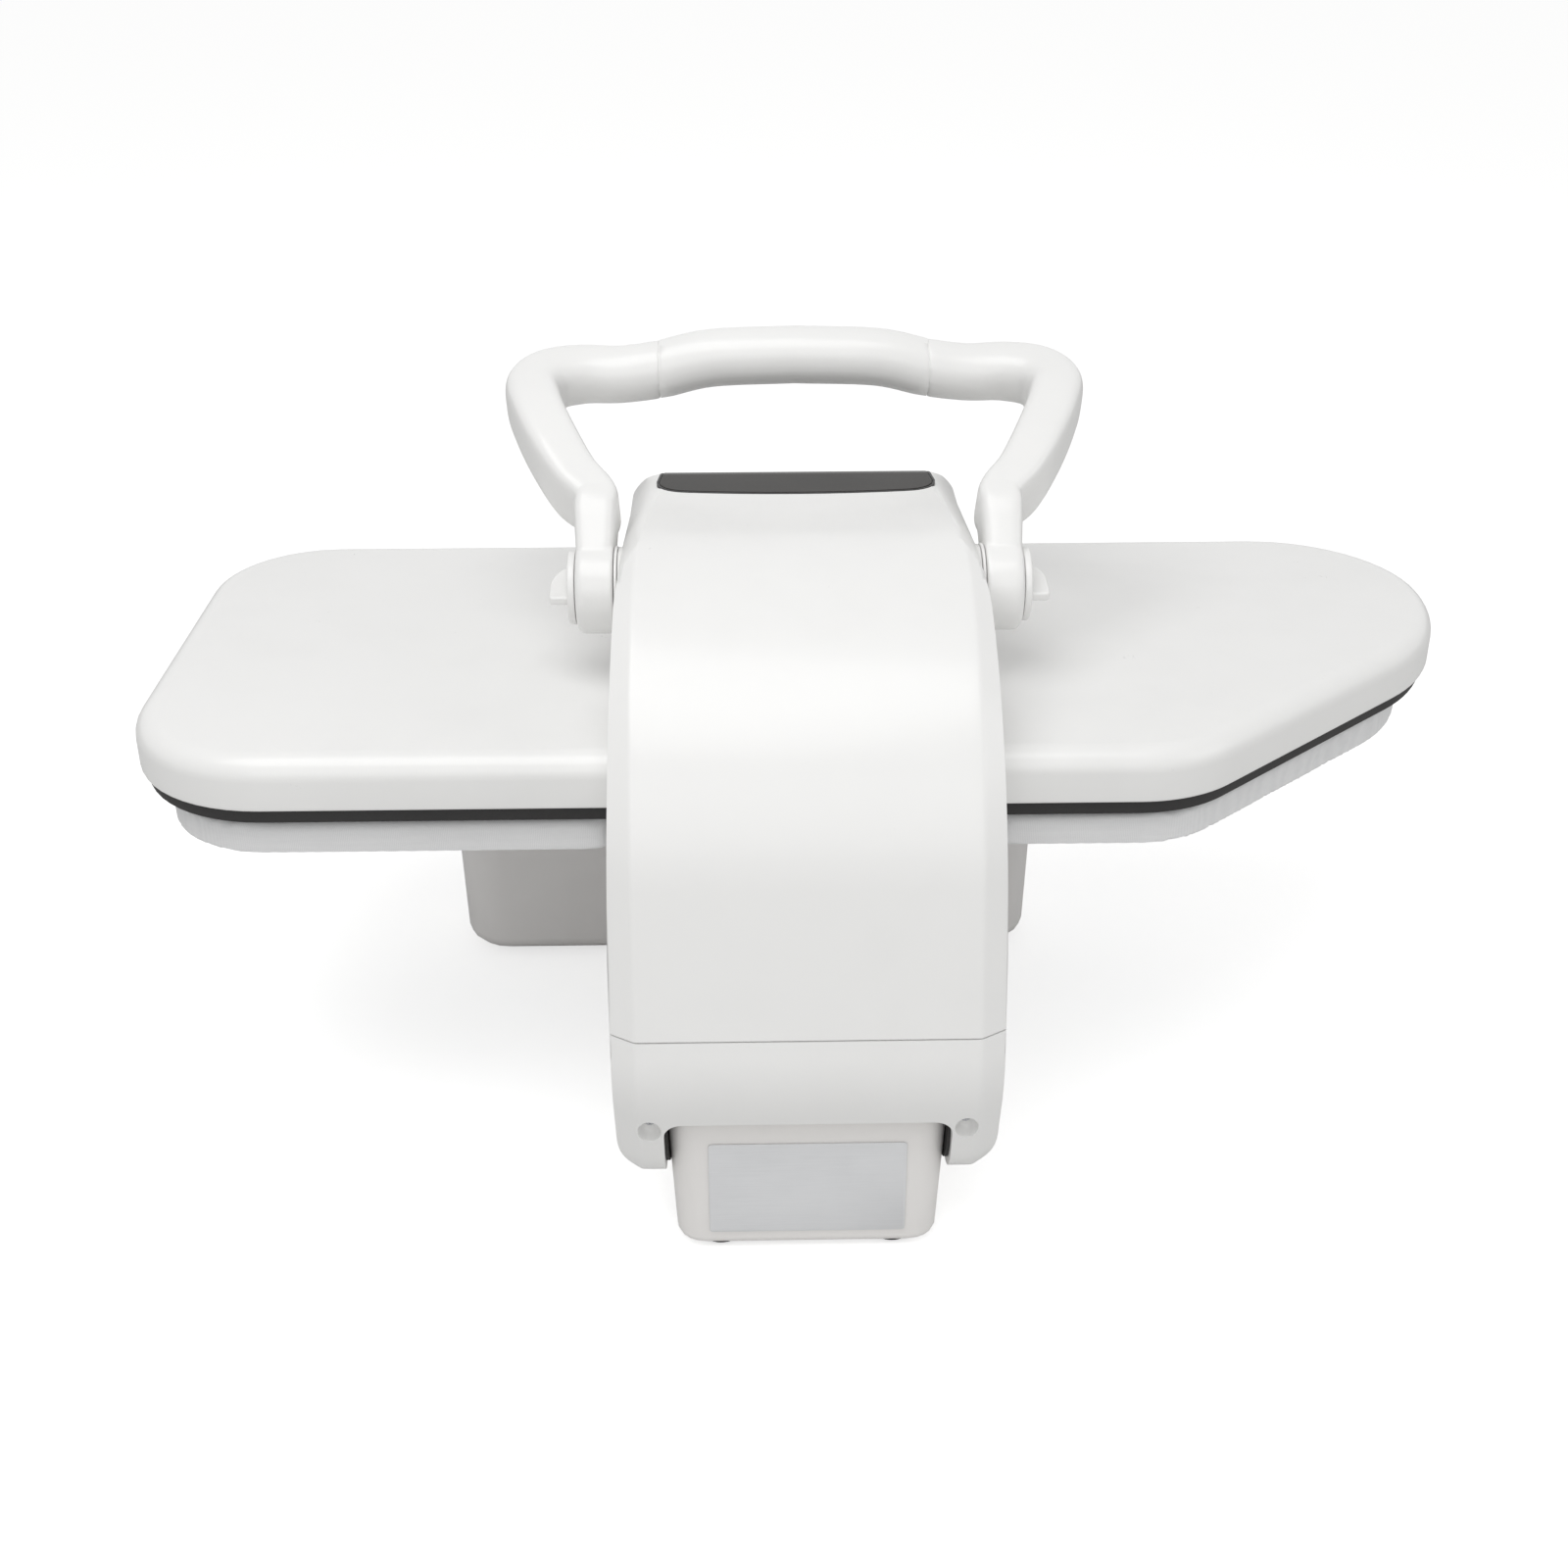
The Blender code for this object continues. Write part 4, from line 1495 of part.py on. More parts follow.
def make_knobs():
    for word, side in (("left", 1.0), ("right", -1.0)):
        back = HUB_OUTER + GAP
        face = back + KNOB_THICKNESS
        rim = KNOB_RADIUS - KNOB_RIM * 2
        profile = [(KNOB_RADIUS, side * back), (KNOB_RADIUS, side * (face - KNOB_RIM / 2)),
                   (KNOB_RADIUS - KNOB_RIM / 2, side * face), (rim, side * face),
                   (rim, side * (face - KNOB_RIM))]
        knob = turned("knob_" + word, "X", (HUB_Y, HUB_Z), profile, None, 28)
        root = face - KNOB_RIM * 2
        reach = face + WING_REACH - root
        front = [(root + reach * math.cos(turn), -WING_FRONT * math.sin(turn))
                 for turn in [math.radians(10.0 * step) for step in range(10)]]
        bend = WING_REACH / 4
        end = rounded([(root + reach, 0.0, 0.0), (root + reach, WING_REAR, bend), (root, WING_REAR, 0.0)], 3)
        half = WING_THICKNESS / 2
        tilt = (math.cos(WING_TURN), -math.sin(WING_TURN))
        rings = [[Vector((side * x, HUB_Y + y * tilt[0] - z * tilt[1], HUB_Z + y * tilt[1] + z * tilt[0]))
                  for x, y in front[::-1] + end[1:]] for z in (-half, half)]
        join(knob, loft("wing", rings))
        carry(paint(knob, WHITE), KNOB_BODIES[side])
        tip_x = PLATE_INNER - STUD_RADIUS * 2
        stud = rod("knob_stud_" + word, "X", (HUB_Y, HUB_Z), STUD_RADIUS, side * tip_x, side * (back - GAP), STEEL, 14)
        carry(stud, KNOB_BODIES[side])


make_base_housing()
make_base_plate()
make_feet()
make_rating_plate()
make_base_chassis()
make_hinge_brackets()
make_hinge_axle()
make_board()
make_pump()
make_power_inlet()
make_tank_bay()
make_water_tank()
make_tank_lid()
make_tank_cap()
make_arm_covers()
make_control_panel()
make_cover_screws()
make_side_plates()
make_bushes()
make_cross_bar()
make_mount_plate()
make_head_bolts()
make_stud_nuts()
make_lift_springs()
make_head_cover()
make_head_tray()
make_insulation()
make_heating_plate()
make_heating_element()
make_plate_fittings()
make_lines()
make_handle()
make_hub_washers()
make_knobs()
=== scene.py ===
import bpy
import bmesh
import json
import math
from mathutils import Vector, Matrix, kdtree, noise


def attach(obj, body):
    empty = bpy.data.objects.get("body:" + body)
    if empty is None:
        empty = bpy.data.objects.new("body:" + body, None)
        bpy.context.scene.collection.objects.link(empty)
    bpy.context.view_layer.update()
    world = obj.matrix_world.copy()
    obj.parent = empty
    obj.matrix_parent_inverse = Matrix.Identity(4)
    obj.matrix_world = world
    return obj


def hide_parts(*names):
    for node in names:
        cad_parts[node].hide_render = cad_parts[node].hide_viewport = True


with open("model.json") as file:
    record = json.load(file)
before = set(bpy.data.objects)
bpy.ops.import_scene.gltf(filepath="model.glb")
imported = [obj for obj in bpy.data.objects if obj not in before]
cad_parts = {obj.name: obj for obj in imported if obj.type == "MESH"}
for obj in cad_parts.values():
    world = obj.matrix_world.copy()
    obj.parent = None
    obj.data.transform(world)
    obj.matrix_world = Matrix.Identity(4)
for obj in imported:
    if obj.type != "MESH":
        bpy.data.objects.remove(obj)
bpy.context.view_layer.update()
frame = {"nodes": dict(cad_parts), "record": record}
nodes = frame["nodes"]
print("frame loaded:", len(nodes), "nodes")

# machine axes: centre plane of the arm, rear rim of the head, floor
machineShift = Vector((0.01125, 0.096325, 0.0))
fit = 0.0003            # play between pieces that touch
skinThickness = 0.0025  # wall of the white covers
mergeDistance = 0.00001
flatAngle = 0.6         # degrees, under which two faces become one
underFloor = -0.02      # levels and reaches that lie clear of the whole machine
overAll = 0.33
farBehind = 0.12

viewPoint = {
    "place": (0.023, 0.763, 0.607),   # in machine axes
    "turn": 1.05,                     # degrees off the machine's centre plane
    "tilt": 27.58,                    # degrees below the horizon
    "roll": -0.13,
    "lens": 44.865,
    "sensor": 36.0,                   # millimetres
    "farClip": 60.0,
}


def addCamera(look):
    data = bpy.data.cameras.new("photoCamera")
    data.sensor_width = look["sensor"]
    data.lens = look["lens"]
    data.clip_end = look["farClip"]
    camera = bpy.data.objects.new("photoCamera", data)
    bpy.context.scene.collection.objects.link(camera)
    turn, tilt, roll = (math.radians(look[key]) for key in ("turn", "tilt", "roll"))
    ahead = Vector((-math.sin(turn) * math.cos(tilt), -math.cos(turn) * math.cos(tilt), -math.sin(tilt)))
    right = ahead.cross(Vector((0, 0, 1))).normalized()
    up = right.cross(ahead)
    rolledRight = right * math.cos(roll) + up * math.sin(roll)
    rolledUp = up * math.cos(roll) - right * math.sin(roll)
    pose = Matrix((rolledRight, rolledUp, -ahead)).transposed().to_4x4()
    pose.translation = Vector(look["place"]) + machineShift
    camera.matrix_world = pose
    bpy.context.scene.camera = camera


addCamera(viewPoint)

lightLevels = {
    "skyStrength": 0.50,
    "skyColour": (1.0, 1.0, 1.0),
    "backdropStrength": 1.0,
    "floorHalf": 14.0,
    "floorColour": (0.74, 0.74, 0.735),
    "floorGlow": 0.60,              # added for the eye only, so that the lit floor reads as white
    "aim": (0.0, 0.0, 0.15),
    "boxShape": 0.7,                # height of a softbox over its width
    "softboxes": {                  # place, width, power
        "keySoftbox": ((0.35, 0.55, 1.75), 1.5, 13.2),
        "frontSoftbox": ((0.15, 1.75, 1.05), 1.3, 4.2),
        "fillSoftbox": ((-1.5, 0.5, 0.9), 1.0, 2.6),
    },
}


def addLamp(name, place, level, width, power):
    data = bpy.data.lights.new(name, "AREA")
    data.shape = "RECTANGLE"
    data.size = width
    data.size_y = width * level["boxShape"]
    data.energy = power
    lamp = bpy.data.objects.new(name, data)
    bpy.context.scene.collection.objects.link(lamp)
    lamp.location = place
    lamp.rotation_euler = (Vector(level["aim"]) - Vector(place)).to_track_quat("-Z", "Y").to_euler()
    lamp.visible_camera = False


def addSky(level):
    # soft grey light; white where the camera, glass or gloss sees it
    world = bpy.data.worlds.new("studioSky")
    bpy.context.scene.world = world
    world.use_nodes = True
    tree = world.node_tree
    tree.nodes.clear()
    path = tree.nodes.new("ShaderNodeLightPath")
    seenOrGlossy = tree.nodes.new("ShaderNodeMath")
    seenOrGlossy.operation = "MAXIMUM"
    seen = tree.nodes.new("ShaderNodeMath")
    seen.operation = "MAXIMUM"
    tree.links.new(path.outputs["Is Camera Ray"], seen.inputs[0])
    tree.links.new(path.outputs["Is Transmission Ray"], seen.inputs[1])
    tree.links.new(seen.outputs[0], seenOrGlossy.inputs[0])
    tree.links.new(path.outputs["Is Glossy Ray"], seenOrGlossy.inputs[1])
    soft = tree.nodes.new("ShaderNodeBackground")
    soft.inputs["Color"].default_value = (*level["skyColour"], 1.0)
    soft.inputs["Strength"].default_value = level["skyStrength"]
    plain = tree.nodes.new("ShaderNodeBackground")
    plain.inputs["Color"].default_value = (1.0, 1.0, 1.0, 1.0)
    plain.inputs["Strength"].default_value = level["backdropStrength"]
    mix = tree.nodes.new("ShaderNodeMixShader")
    out = tree.nodes.new("ShaderNodeOutputWorld")
    tree.links.new(seenOrGlossy.outputs[0], mix.inputs[0])
    tree.links.new(soft.outputs[0], mix.inputs[1])
    tree.links.new(plain.outputs[0], mix.inputs[2])
    tree.links.new(mix.outputs[0], out.inputs[0])


def addFloor(level):
    mesh = bpy.data.meshes.new("studioFloor")
    half = level["floorHalf"]
    corners = [(-half, -half, 0), (half, -half, 0), (half, half, 0), (-half, half, 0)]
    mesh.from_pydata(corners, [], [(0, 1, 2, 3)])
    floor = bpy.data.objects.new("studioFloor", mesh)
    bpy.context.scene.collection.objects.link(floor)
    paint = bpy.data.materials.new("floorPaint")
    paint.use_nodes = True
    tree = paint.node_tree
    tree.nodes.clear()
    out = tree.nodes.new("ShaderNodeOutputMaterial")
    matt = tree.nodes.new("ShaderNodeBsdfDiffuse")
    matt.inputs["Color"].default_value = (*level["floorColour"], 1.0)
    glow = tree.nodes.new("ShaderNodeEmission")
    path = tree.nodes.new("ShaderNodeLightPath")
    amount = tree.nodes.new("ShaderNodeMath")
    amount.operation = "MULTIPLY"
    amount.inputs[1].default_value = level["floorGlow"]
    tree.links.new(path.outputs["Is Camera Ray"], amount.inputs[0])
    tree.links.new(amount.outputs[0], glow.inputs["Strength"])
    both = tree.nodes.new("ShaderNodeAddShader")
    tree.links.new(matt.outputs[0], both.inputs[0])
    tree.links.new(glow.outputs[0], both.inputs[1])
    tree.links.new(both.outputs[0], out.inputs[0])
    mesh.materials.append(paint)


addSky(lightLevels)
addFloor(lightLevels)
for lampName, (place, width, power) in lightLevels["softboxes"].items():
    addLamp(lampName, place, lightLevels, width, power)
bpy.context.scene.view_settings.view_transform = "Standard"
print("camera, lamps and floor placed")


# Shader maths: a socket that can be added, multiplied and so on
class Signal:
    def __init__(self, tree, socket):
        self.tree = tree
        self.socket = socket

    def maths(self, operation, *others, swapped=False):
        node = self.tree.nodes.new("ShaderNodeMath")
        node.operation = operation
        terms = [self] + list(others)
        if swapped:
            terms.reverse()
        for slot, term in zip(node.inputs, terms):
            feed(self.tree, slot, term)
        return Signal(self.tree, node.outputs[0])

    def __add__(self, other):
        return self.maths("ADD", other)

    def __radd__(self, other):
        return self.maths("ADD", other, swapped=True)

    def __sub__(self, other):
        return self.maths("SUBTRACT", other)

    def __rsub__(self, other):
        return self.maths("SUBTRACT", other, swapped=True)

    def __mul__(self, other):
        return self.maths("MULTIPLY", other)

    def __rmul__(self, other):
        return self.maths("MULTIPLY", other, swapped=True)

    def __pow__(self, other):
        return self.maths("POWER", other)

    def sine(self):
        return self.maths("SINE")

    def limited(self):
        return self.maths("MINIMUM", 1.0).maths("MAXIMUM", 0.0)


def feed(tree, slot, value):
    if isinstance(value, Signal):
        tree.links.new(value.socket, slot)
    elif isinstance(value, bpy.types.NodeSocket):
        tree.links.new(value, slot)
    elif isinstance(value, tuple) and len(value) == 3 and slot.type == "RGBA":
        slot.default_value = (*value, 1.0)
    else:
        slot.default_value = value


# A material under construction; its patterns all read Object coordinates
class Finish:
    made = {}

    def __init__(self, name, colour, **constants):
        self.material = bpy.data.materials.new(name)
        self.material.use_nodes = True
        self.tree = self.material.node_tree
        self.tree.nodes.clear()
        self.shader = self.node("ShaderNodeBsdfPrincipled", {}, {"Base Color": colour})
        out = self.node("ShaderNodeOutputMaterial")
        self.tree.links.new(self.shader.outputs[0], out.inputs[0])
        for key, value in constants.items():
            feed(self.tree, self.shader.inputs[key.replace("_", " ")], value)
        self.places = self.node("ShaderNodeTexCoord").outputs["Object"]
        Finish.made[name] = self.material

    def node(self, kind, settings=None, values=None):
        node = self.tree.nodes.new(kind)
        for key, value in (settings or {}).items():
            if key == "stops":
                while len(node.color_ramp.elements) < len(value):
                    node.color_ramp.elements.new(0.5)
                for element, (at, shade) in zip(node.color_ramp.elements, value):
                    element.position = at
                    element.color = (*shade, 1.0)
            else:
                setattr(node, key, value)
        for key, value in (values or {}).items():
            feed(self.tree, node.inputs[key], value)
        return node

    def noise(self, scale, detail=3.0, rough=0.55, stretch=(1.0, 1.0, 1.0), warp=0.0):
        spot = self.node("ShaderNodeMapping", {}, {"Vector": self.places, "Scale": stretch}).outputs[0]
        node = self.node("ShaderNodeTexNoise", {}, {"Vector": spot, "Scale": scale, "Detail": detail,
                                                    "Roughness": rough, "Distortion": warp})
        return Signal(self.tree, node.outputs[0])

    def cells(self, scale):
        node = self.node("ShaderNodeTexVoronoi", {}, {"Vector": self.places, "Scale": scale})
        return Signal(self.tree, node.outputs["Distance"])

    def axis(self, name):
        node = self.node("ShaderNodeSeparateXYZ", {}, {"Vector": self.places})
        return Signal(self.tree, node.outputs[name])

    def graded(self, signal, stops):
        return self.node("ShaderNodeValToRGB", {"stops": stops}, {"Fac": signal}).outputs[0]

    def colour(self, value):
        feed(self.tree, self.shader.inputs["Base Color"], value)

    def roughness(self, value):
        feed(self.tree, self.shader.inputs["Roughness"], value)

    def relief(self, height, depth, strength=1.0):
        bump = self.node("ShaderNodeBump", {}, {"Height": height, "Distance": depth, "Strength": strength})
        self.tree.links.new(bump.outputs[0], self.shader.inputs["Normal"])


def shaded(colour, factor):
    return tuple(min(1.0, channel * factor) for channel in colour)


mouldedLooks = {
    # name: colour, roughness, spread of roughness, grain size (1/m), grain depth (m), coat
    "whiteMoulding": ((0.858, 0.856, 0.845), 0.30, 0.07, 900.0, 0.00003, 0.12),
    "baseMoulding": ((0.868, 0.850, 0.832), 0.42, 0.08, 1500.0, 0.00008, 0.0),
    "blackPlastic": ((0.030, 0.030, 0.032), 0.48, 0.10, 1300.0, 0.00010, 0.0),
    "bezelBlack": ((0.012, 0.012, 0.013), 0.38, 0.08, 1800.0, 0.00003, 0.0),
    "blackRubber": ((0.028, 0.027, 0.027), 0.74, 0.10, 1100.0, 0.00014, 0.0),
    "siliconeHose": ((0.74, 0.73, 0.70), 0.46, 0.10, 700.0, 0.00006, 0.0),
}


def makeMoulded(name, look):
    colour, rough, spread, grain, depth, coat = look
    finish = Finish(name, colour, Coat_Roughness=0.12, IOR=1.49)
    finish.shader.inputs["Coat Weight"].default_value = coat
    flow = finish.noise(7.0, 2.0, 0.5, (1.0, 1.0, 0.45), 0.6)      # faint flow lines of the melt
    drift = finish.noise(31.0, 3.0)
    tone = (flow * 0.6 + drift * 0.4).limited()
    dark, light = shaded(colour, 0.972), shaded(colour, 1.012)
    finish.colour(finish.graded(tone, [(0.30, dark), (0.55, colour), (0.78, light)]))
    fine = finish.noise(grain, 2.0, 0.5)
    handled = finish.noise(60.0, 4.0, 0.62)
    finish.roughness((rough - spread + handled * (spread * 1.3) + fine * (spread * 0.7)).limited())
    waves = finish.noise(grain * 0.06, 2.0, 0.4)
    finish.relief(fine * 0.6 + waves * 0.4, depth)


for lookName, look in mouldedLooks.items():
    makeMoulded(lookName, look)


metalLooks = {
    # name: colour, roughness, direction of the brushing or rolling, depth (m)
    "zincSteel": ((0.60, 0.61, 0.63), 0.34, (40.0, 900.0, 900.0), 0.00003),
    "castAluminium": ((0.70, 0.71, 0.72), 0.36, (1200.0, 60.0, 60.0), 0.00003),
    "bushBronze": ((0.66, 0.50, 0.25), 0.32, (900.0, 40.0, 40.0), 0.00003),
}


def makeMetal(name, look):
    colour, rough, stretch, depth = look
    finish = Finish(name, colour, Metallic=1.0)
    brushed = finish.noise(1.0, 3.0, 0.6, stretch)
    bloom = finish.noise(26.0, 4.0, 0.65)                          # dull bloom of the plating
    spots = finish.cells(150.0)
    finish.colour(finish.graded((bloom * 0.7 + brushed * 0.3).limited(),
                                [(0.25, shaded(colour, 0.80)), (0.52, colour), (0.80, shaded(colour, 1.10))]))
    finish.roughness((rough - 0.06 + bloom * 0.18 + brushed * 0.08).limited())
    finish.relief(brushed * 0.7 + spots * 0.3, depth)


for lookName, look in metalLooks.items():
    makeMetal(lookName, look)


clothLook = {
    "colour": (0.800, 0.802, 0.806),
    "shadow": (0.735, 0.738, 0.745),
    "light": (0.845, 0.847, 0.848),
    "threads": 7800.0,     # threads of the weave, in radians per metre of sine
    "depth": 0.00006,
    "rough": 0.86,
}


def makeCloth(look):
    finish = Finish("boardFabric", look["colour"], Sheen_Weight=0.12, Sheen_Roughness=0.5, IOR=1.42)
    wobble = finish.noise(55.0, 2.0) * 5.0
    warp = (finish.axis("X") * look["threads"] + wobble).sine()
    weft = (finish.axis("Y") * look["threads"] - wobble).sine()
    rise = (finish.axis("Z") * look["threads"] + wobble).sine()
    weave = (warp * weft + rise * warp * 0.5) * 0.5 + 0.5
    slubs = finish.noise(1.0, 3.0, 0.6, (40.0, 420.0, 420.0))
    soil = finish.noise(9.0, 4.0, 0.6)
    tone = (weave * 0.30 + slubs * 0.35 + soil * 0.35).limited()
    stops = [(0.25, look["shadow"]), (0.50, look["colour"]), (0.75, look["light"])]
    finish.colour(finish.graded(tone, stops))
    finish.roughness((look["rough"] - 0.08 + slubs * 0.16).limited())
    finish.relief(weave * 0.75 + slubs * 0.25, look["depth"])


makeCloth(clothLook)


def makeSoftFilling(name, colour, pore, depth):
    finish = Finish(name, colour, Sheen_Weight=0.15)
    poreDepthAndShade = finish.cells(pore)
    fluff = finish.noise(pore * 0.6, 4.0, 0.7)
    # the pits of the pores are also painted darker, down to 0.62 of the colour: painted shade in the pores
    finish.colour(finish.graded((poreDepthAndShade * 0.6 + fluff * 0.5).limited(),
                                [(0.10, shaded(colour, 0.62)), (0.45, colour), (0.85, shaded(colour, 1.10))]))
    finish.roughness((0.85 + fluff * 0.14).limited())
    finish.relief(poreDepthAndShade * 0.7 + fluff * 0.3, depth)


threadLook = {
    "colour": (0.80, 0.80, 0.79), "shadow": (0.70, 0.70, 0.69), "light": (0.84, 0.84, 0.83), "depth": 0.00004,
}


def makeThread(look):
    finish = Finish("threadLight", look["colour"], IOR=1.45)
    strands = finish.noise(1.0, 2.0, 0.5, (900.0, 2600.0, 2600.0))
    finish.colour(finish.graded(strands, [(0.3, look["shadow"]), (0.7, look["light"])]))
    finish.roughness((0.62 + strands * 0.2).limited())
    finish.relief(strands, look["depth"])


makeThread(threadLook)

makeSoftFilling("boardFoam", (0.78, 0.75, 0.60), 1100.0, 0.0004)
makeSoftFilling("needledFelt", (0.72, 0.70, 0.64), 800.0, 0.0005)


glassLook = {"colour": (0.024, 0.022, 0.020), "bloom": (0.038, 0.035, 0.032), "rough": 0.10, "bend": 1.17}


def makePanelGlass(look):
    finish = Finish("panelGlass", look["colour"], IOR=look["bend"])
    bloom = finish.noise(18.0, 3.0)
    dust = finish.noise(1600.0, 2.0, 0.6)
    finish.colour(finish.graded(bloom, [(0.3, look["colour"]), (0.75, look["bloom"])]))
    finish.roughness((look["rough"] + bloom * 0.05 + dust ** 6.0 * 0.5).limited())
    finish.relief(finish.noise(22.0, 2.0), 0.00003)


makePanelGlass(glassLook)


filmLook = {"colour": (0.775, 0.782, 0.795), "shadow": (0.735, 0.742, 0.755), "light": (0.810, 0.815, 0.825)}


def makeLabelFilm(look):
    finish = Finish("labelFilm", look["colour"], Metallic=0.06, IOR=1.45)
    brushed = finish.noise(1.0, 3.0, 0.6, (60.0, 1500.0, 1500.0))
    cloud = finish.noise(30.0, 3.0)
    finish.colour(finish.graded((brushed * 0.4 + cloud * 0.6).limited(),
                                [(0.30, look["shadow"]), (0.52, look["colour"]), (0.78, look["light"])]))
    finish.roughness((0.34 + brushed * 0.16).limited())
    finish.relief(brushed, 0.00002)


makeLabelFilm(filmLook)


circuitLook = {
    "colour": (0.03, 0.20, 0.09), "lighter": (0.035, 0.23, 0.10), "tracks": (0.10, 0.33, 0.14),
    "pitch": 180.0,
}


def makeCircuitBoard(look):
    finish = Finish("circuitBoard", look["colour"], Coat_Weight=0.3, IOR=1.5)
    tracks = finish.node("ShaderNodeTexBrick", {}, {
        "Vector": finish.places, "Color1": look["colour"], "Color2": look["lighter"],
        "Mortar": look["tracks"], "Scale": look["pitch"], "Mortar Size": 0.03})
    finish.colour(tracks.outputs["Color"])
    grain = finish.noise(900.0)
    finish.roughness((0.36 + grain * 0.15).limited())
    finish.relief(Signal(finish.tree, tracks.outputs["Fac"]) * 0.8 + grain * 0.2, 0.00005)


makeCircuitBoard(circuitLook)


tankLook = {
    "colour": (0.40, 0.45, 0.50), "shadow": (0.35, 0.40, 0.45), "light": (0.44, 0.49, 0.54),
    "clearness": 0.45,
}


def makeTankPlastic(look):
    finish = Finish("tankPlastic", look["colour"], IOR=1.5, Transmission_Weight=look["clearness"],
                    Coat_Weight=0.3)
    flow = finish.noise(9.0, 3.0, 0.5, (1.0, 1.0, 0.4), 0.5)
    finish.colour(finish.graded(flow, [(0.3, look["shadow"]), (0.7, look["light"])]))
    haze = finish.noise(120.0, 3.0)
    finish.roughness((0.12 + haze * 0.10).limited())
    finish.relief(finish.noise(500.0), 0.00003)


makeTankPlastic(tankLook)

# which finish stands for each of the record's materials
slotFinishes = {
    "white_moulding": "whiteMoulding", "base_moulding": "baseMoulding", "board_fabric": "boardFabric",
    "board_foam": "boardFoam", "zinc_steel": "zincSteel", "cast_aluminium": "castAluminium",
    "bush_bronze": "bushBronze", "black_rubber": "blackRubber", "panel_glass": "panelGlass",
    "bezel_black": "bezelBlack", "label_silver": "labelFilm", "circuit_board": "circuitBoard",
    "insulation_felt": "needledFelt", "silicone_hose": "siliconeHose", "tank_plastic": "tankPlastic",
    "black_plastic": "blackPlastic",
}

for row in frame["record"]["subparts"]:
    node = nodes[row["node"]]
    coat = Finish.made[slotFinishes[row["material_slot"]]]
    for place in node.material_slots:
        place.material = coat
print("finishes made:", len(Finish.made))


# Outlines and solids
def arcPoints(centre, radius, start, end, steps):
    points = []
    for i in range(steps + 1):
        turn = math.radians(start + (end - start) * i / steps)
        points.append((centre[0] + radius * math.cos(turn), centre[1] + radius * math.sin(turn)))
    return points


def roundCorners(corners, steps=10):
    points = []
    for i, (u, v, radius) in enumerate(corners):
        here = Vector((u, v))
        if radius <= 0.0:
            points.append((u, v))
            continue
        before = (Vector(corners[i - 1][:2]) - here).normalized()
        after = (Vector(corners[(i + 1) % len(corners)][:2]) - here).normalized()
        half = before.angle(after) / 2
        centre = here + (before + after).normalized() * (radius / math.sin(half))
        first = here + before * (radius / math.tan(half)) - centre
        last = here + after * (radius / math.tan(half)) - centre
        turn = first.angle_signed(last)
        start = math.atan2(first.y, first.x)
        for step in range(steps + 1):
            angle = start - turn * step / steps
            points.append((centre.x + radius * math.cos(angle), centre.y + radius * math.sin(angle)))
    return points


def inwards(outline, distance):
    # the outline drawn in by a distance, or let out where it is negative
    if not distance:
        return list(outline)
    total = sum(u * y - x * v for (u, v), (x, y) in zip([outline[-1]] + list(outline), outline))
    side = 1.0 if total > 0 else -1.0
    moved = []
    for i in range(len(outline)):
        here = Vector(outline[i])
        before = (here - Vector(outline[i - 1])).normalized()
        after = (Vector(outline[(i + 1) % len(outline)]) - here).normalized()
        first = Vector((-before.y, before.x)) * side
        second = Vector((-after.y, after.x)) * side
        point = here + (first + second) / (1.0 + first.dot(second)) * distance
        moved.append((point.x, point.y))
    return moved


def layOut(outline, axis, at):
    if axis == "X":
        return [Vector((at, u, v)) for u, v in outline]
    if axis == "Y":
        return [Vector((u, at, v)) for u, v in outline]
    return [Vector((u, v, at)) for u, v in outline]


def newObject(name, bm):
    mesh = bpy.data.meshes.new(name)
    bm.to_mesh(mesh)
    bm.free()
    ob = bpy.data.objects.new(name, mesh)
    bpy.context.scene.collection.objects.link(ob)
    return ob


def outwards(bm):
    bmesh.ops.recalc_face_normals(bm, faces=bm.faces)
    if bm.calc_volume(signed=True) < 0.0:
        bmesh.ops.reverse_faces(bm, faces=bm.faces)


def ringSolid(name, rings, closed=False):
    bm = bmesh.new()
    rows = [[bm.verts.new(point) for point in ring] for ring in rings]
    count = len(rows[0])
    pairs = list(zip(rows, rows[1:])) + ([(rows[-1], rows[0])] if closed else [])
    for low, high in pairs:
        for i in range(count):
            j = (i + 1) % count
            bm.faces.new((low[i], low[j], high[j], high[i]))
    if not closed:
        bm.faces.new(rows[0])
        bm.faces.new(rows[-1])
    outwards(bm)
    return newObject(name, bm)


def slab(name, outline, axis, low, high):
    return ringSolid(name, [layOut(outline, axis, low), layOut(outline, axis, high)])


def brick(name, low, high):
    outline = [(low[0], low[1]), (high[0], low[1]), (high[0], high[1]), (low[0], high[1])]
    return slab(name, outline, "Z", low[2], high[2])


def roundBar(name, axis, centre, radius, low, high, sides=32):
    return slab(name, arcPoints(centre, radius, 0.0, 360.0, sides)[:-1], axis, low, high)


def lathe(name, axis, centre, profile, sides=48, closed=False):
    rings = [layOut(arcPoints(centre, radius, 0.0, 360.0, sides)[:-1], axis, at) for radius, at in profile]
    return ringSolid(name, rings, closed)


def settle(ob):
    # applies the modifiers and leaves a plain mesh
    bpy.context.view_layer.update()
    graph = bpy.context.evaluated_depsgraph_get()
    mesh = bpy.data.meshes.new_from_object(ob.evaluated_get(graph))
    ob.modifiers.clear()
    ob.data = mesh
    return ob


def carve(ob, operation, *tools):
    for tool in tools:
        step = ob.modifiers.new("carve", "BOOLEAN")
        step.operation = operation
        step.solver = "EXACT"
        step.object = tool
        settle(ob)
        bpy.data.objects.remove(tool, do_unlink=True)
    return ob


def twin(ob, name):
    copy = bpy.data.objects.new(name, ob.data.copy())
    bpy.context.scene.collection.objects.link(copy)
    return copy


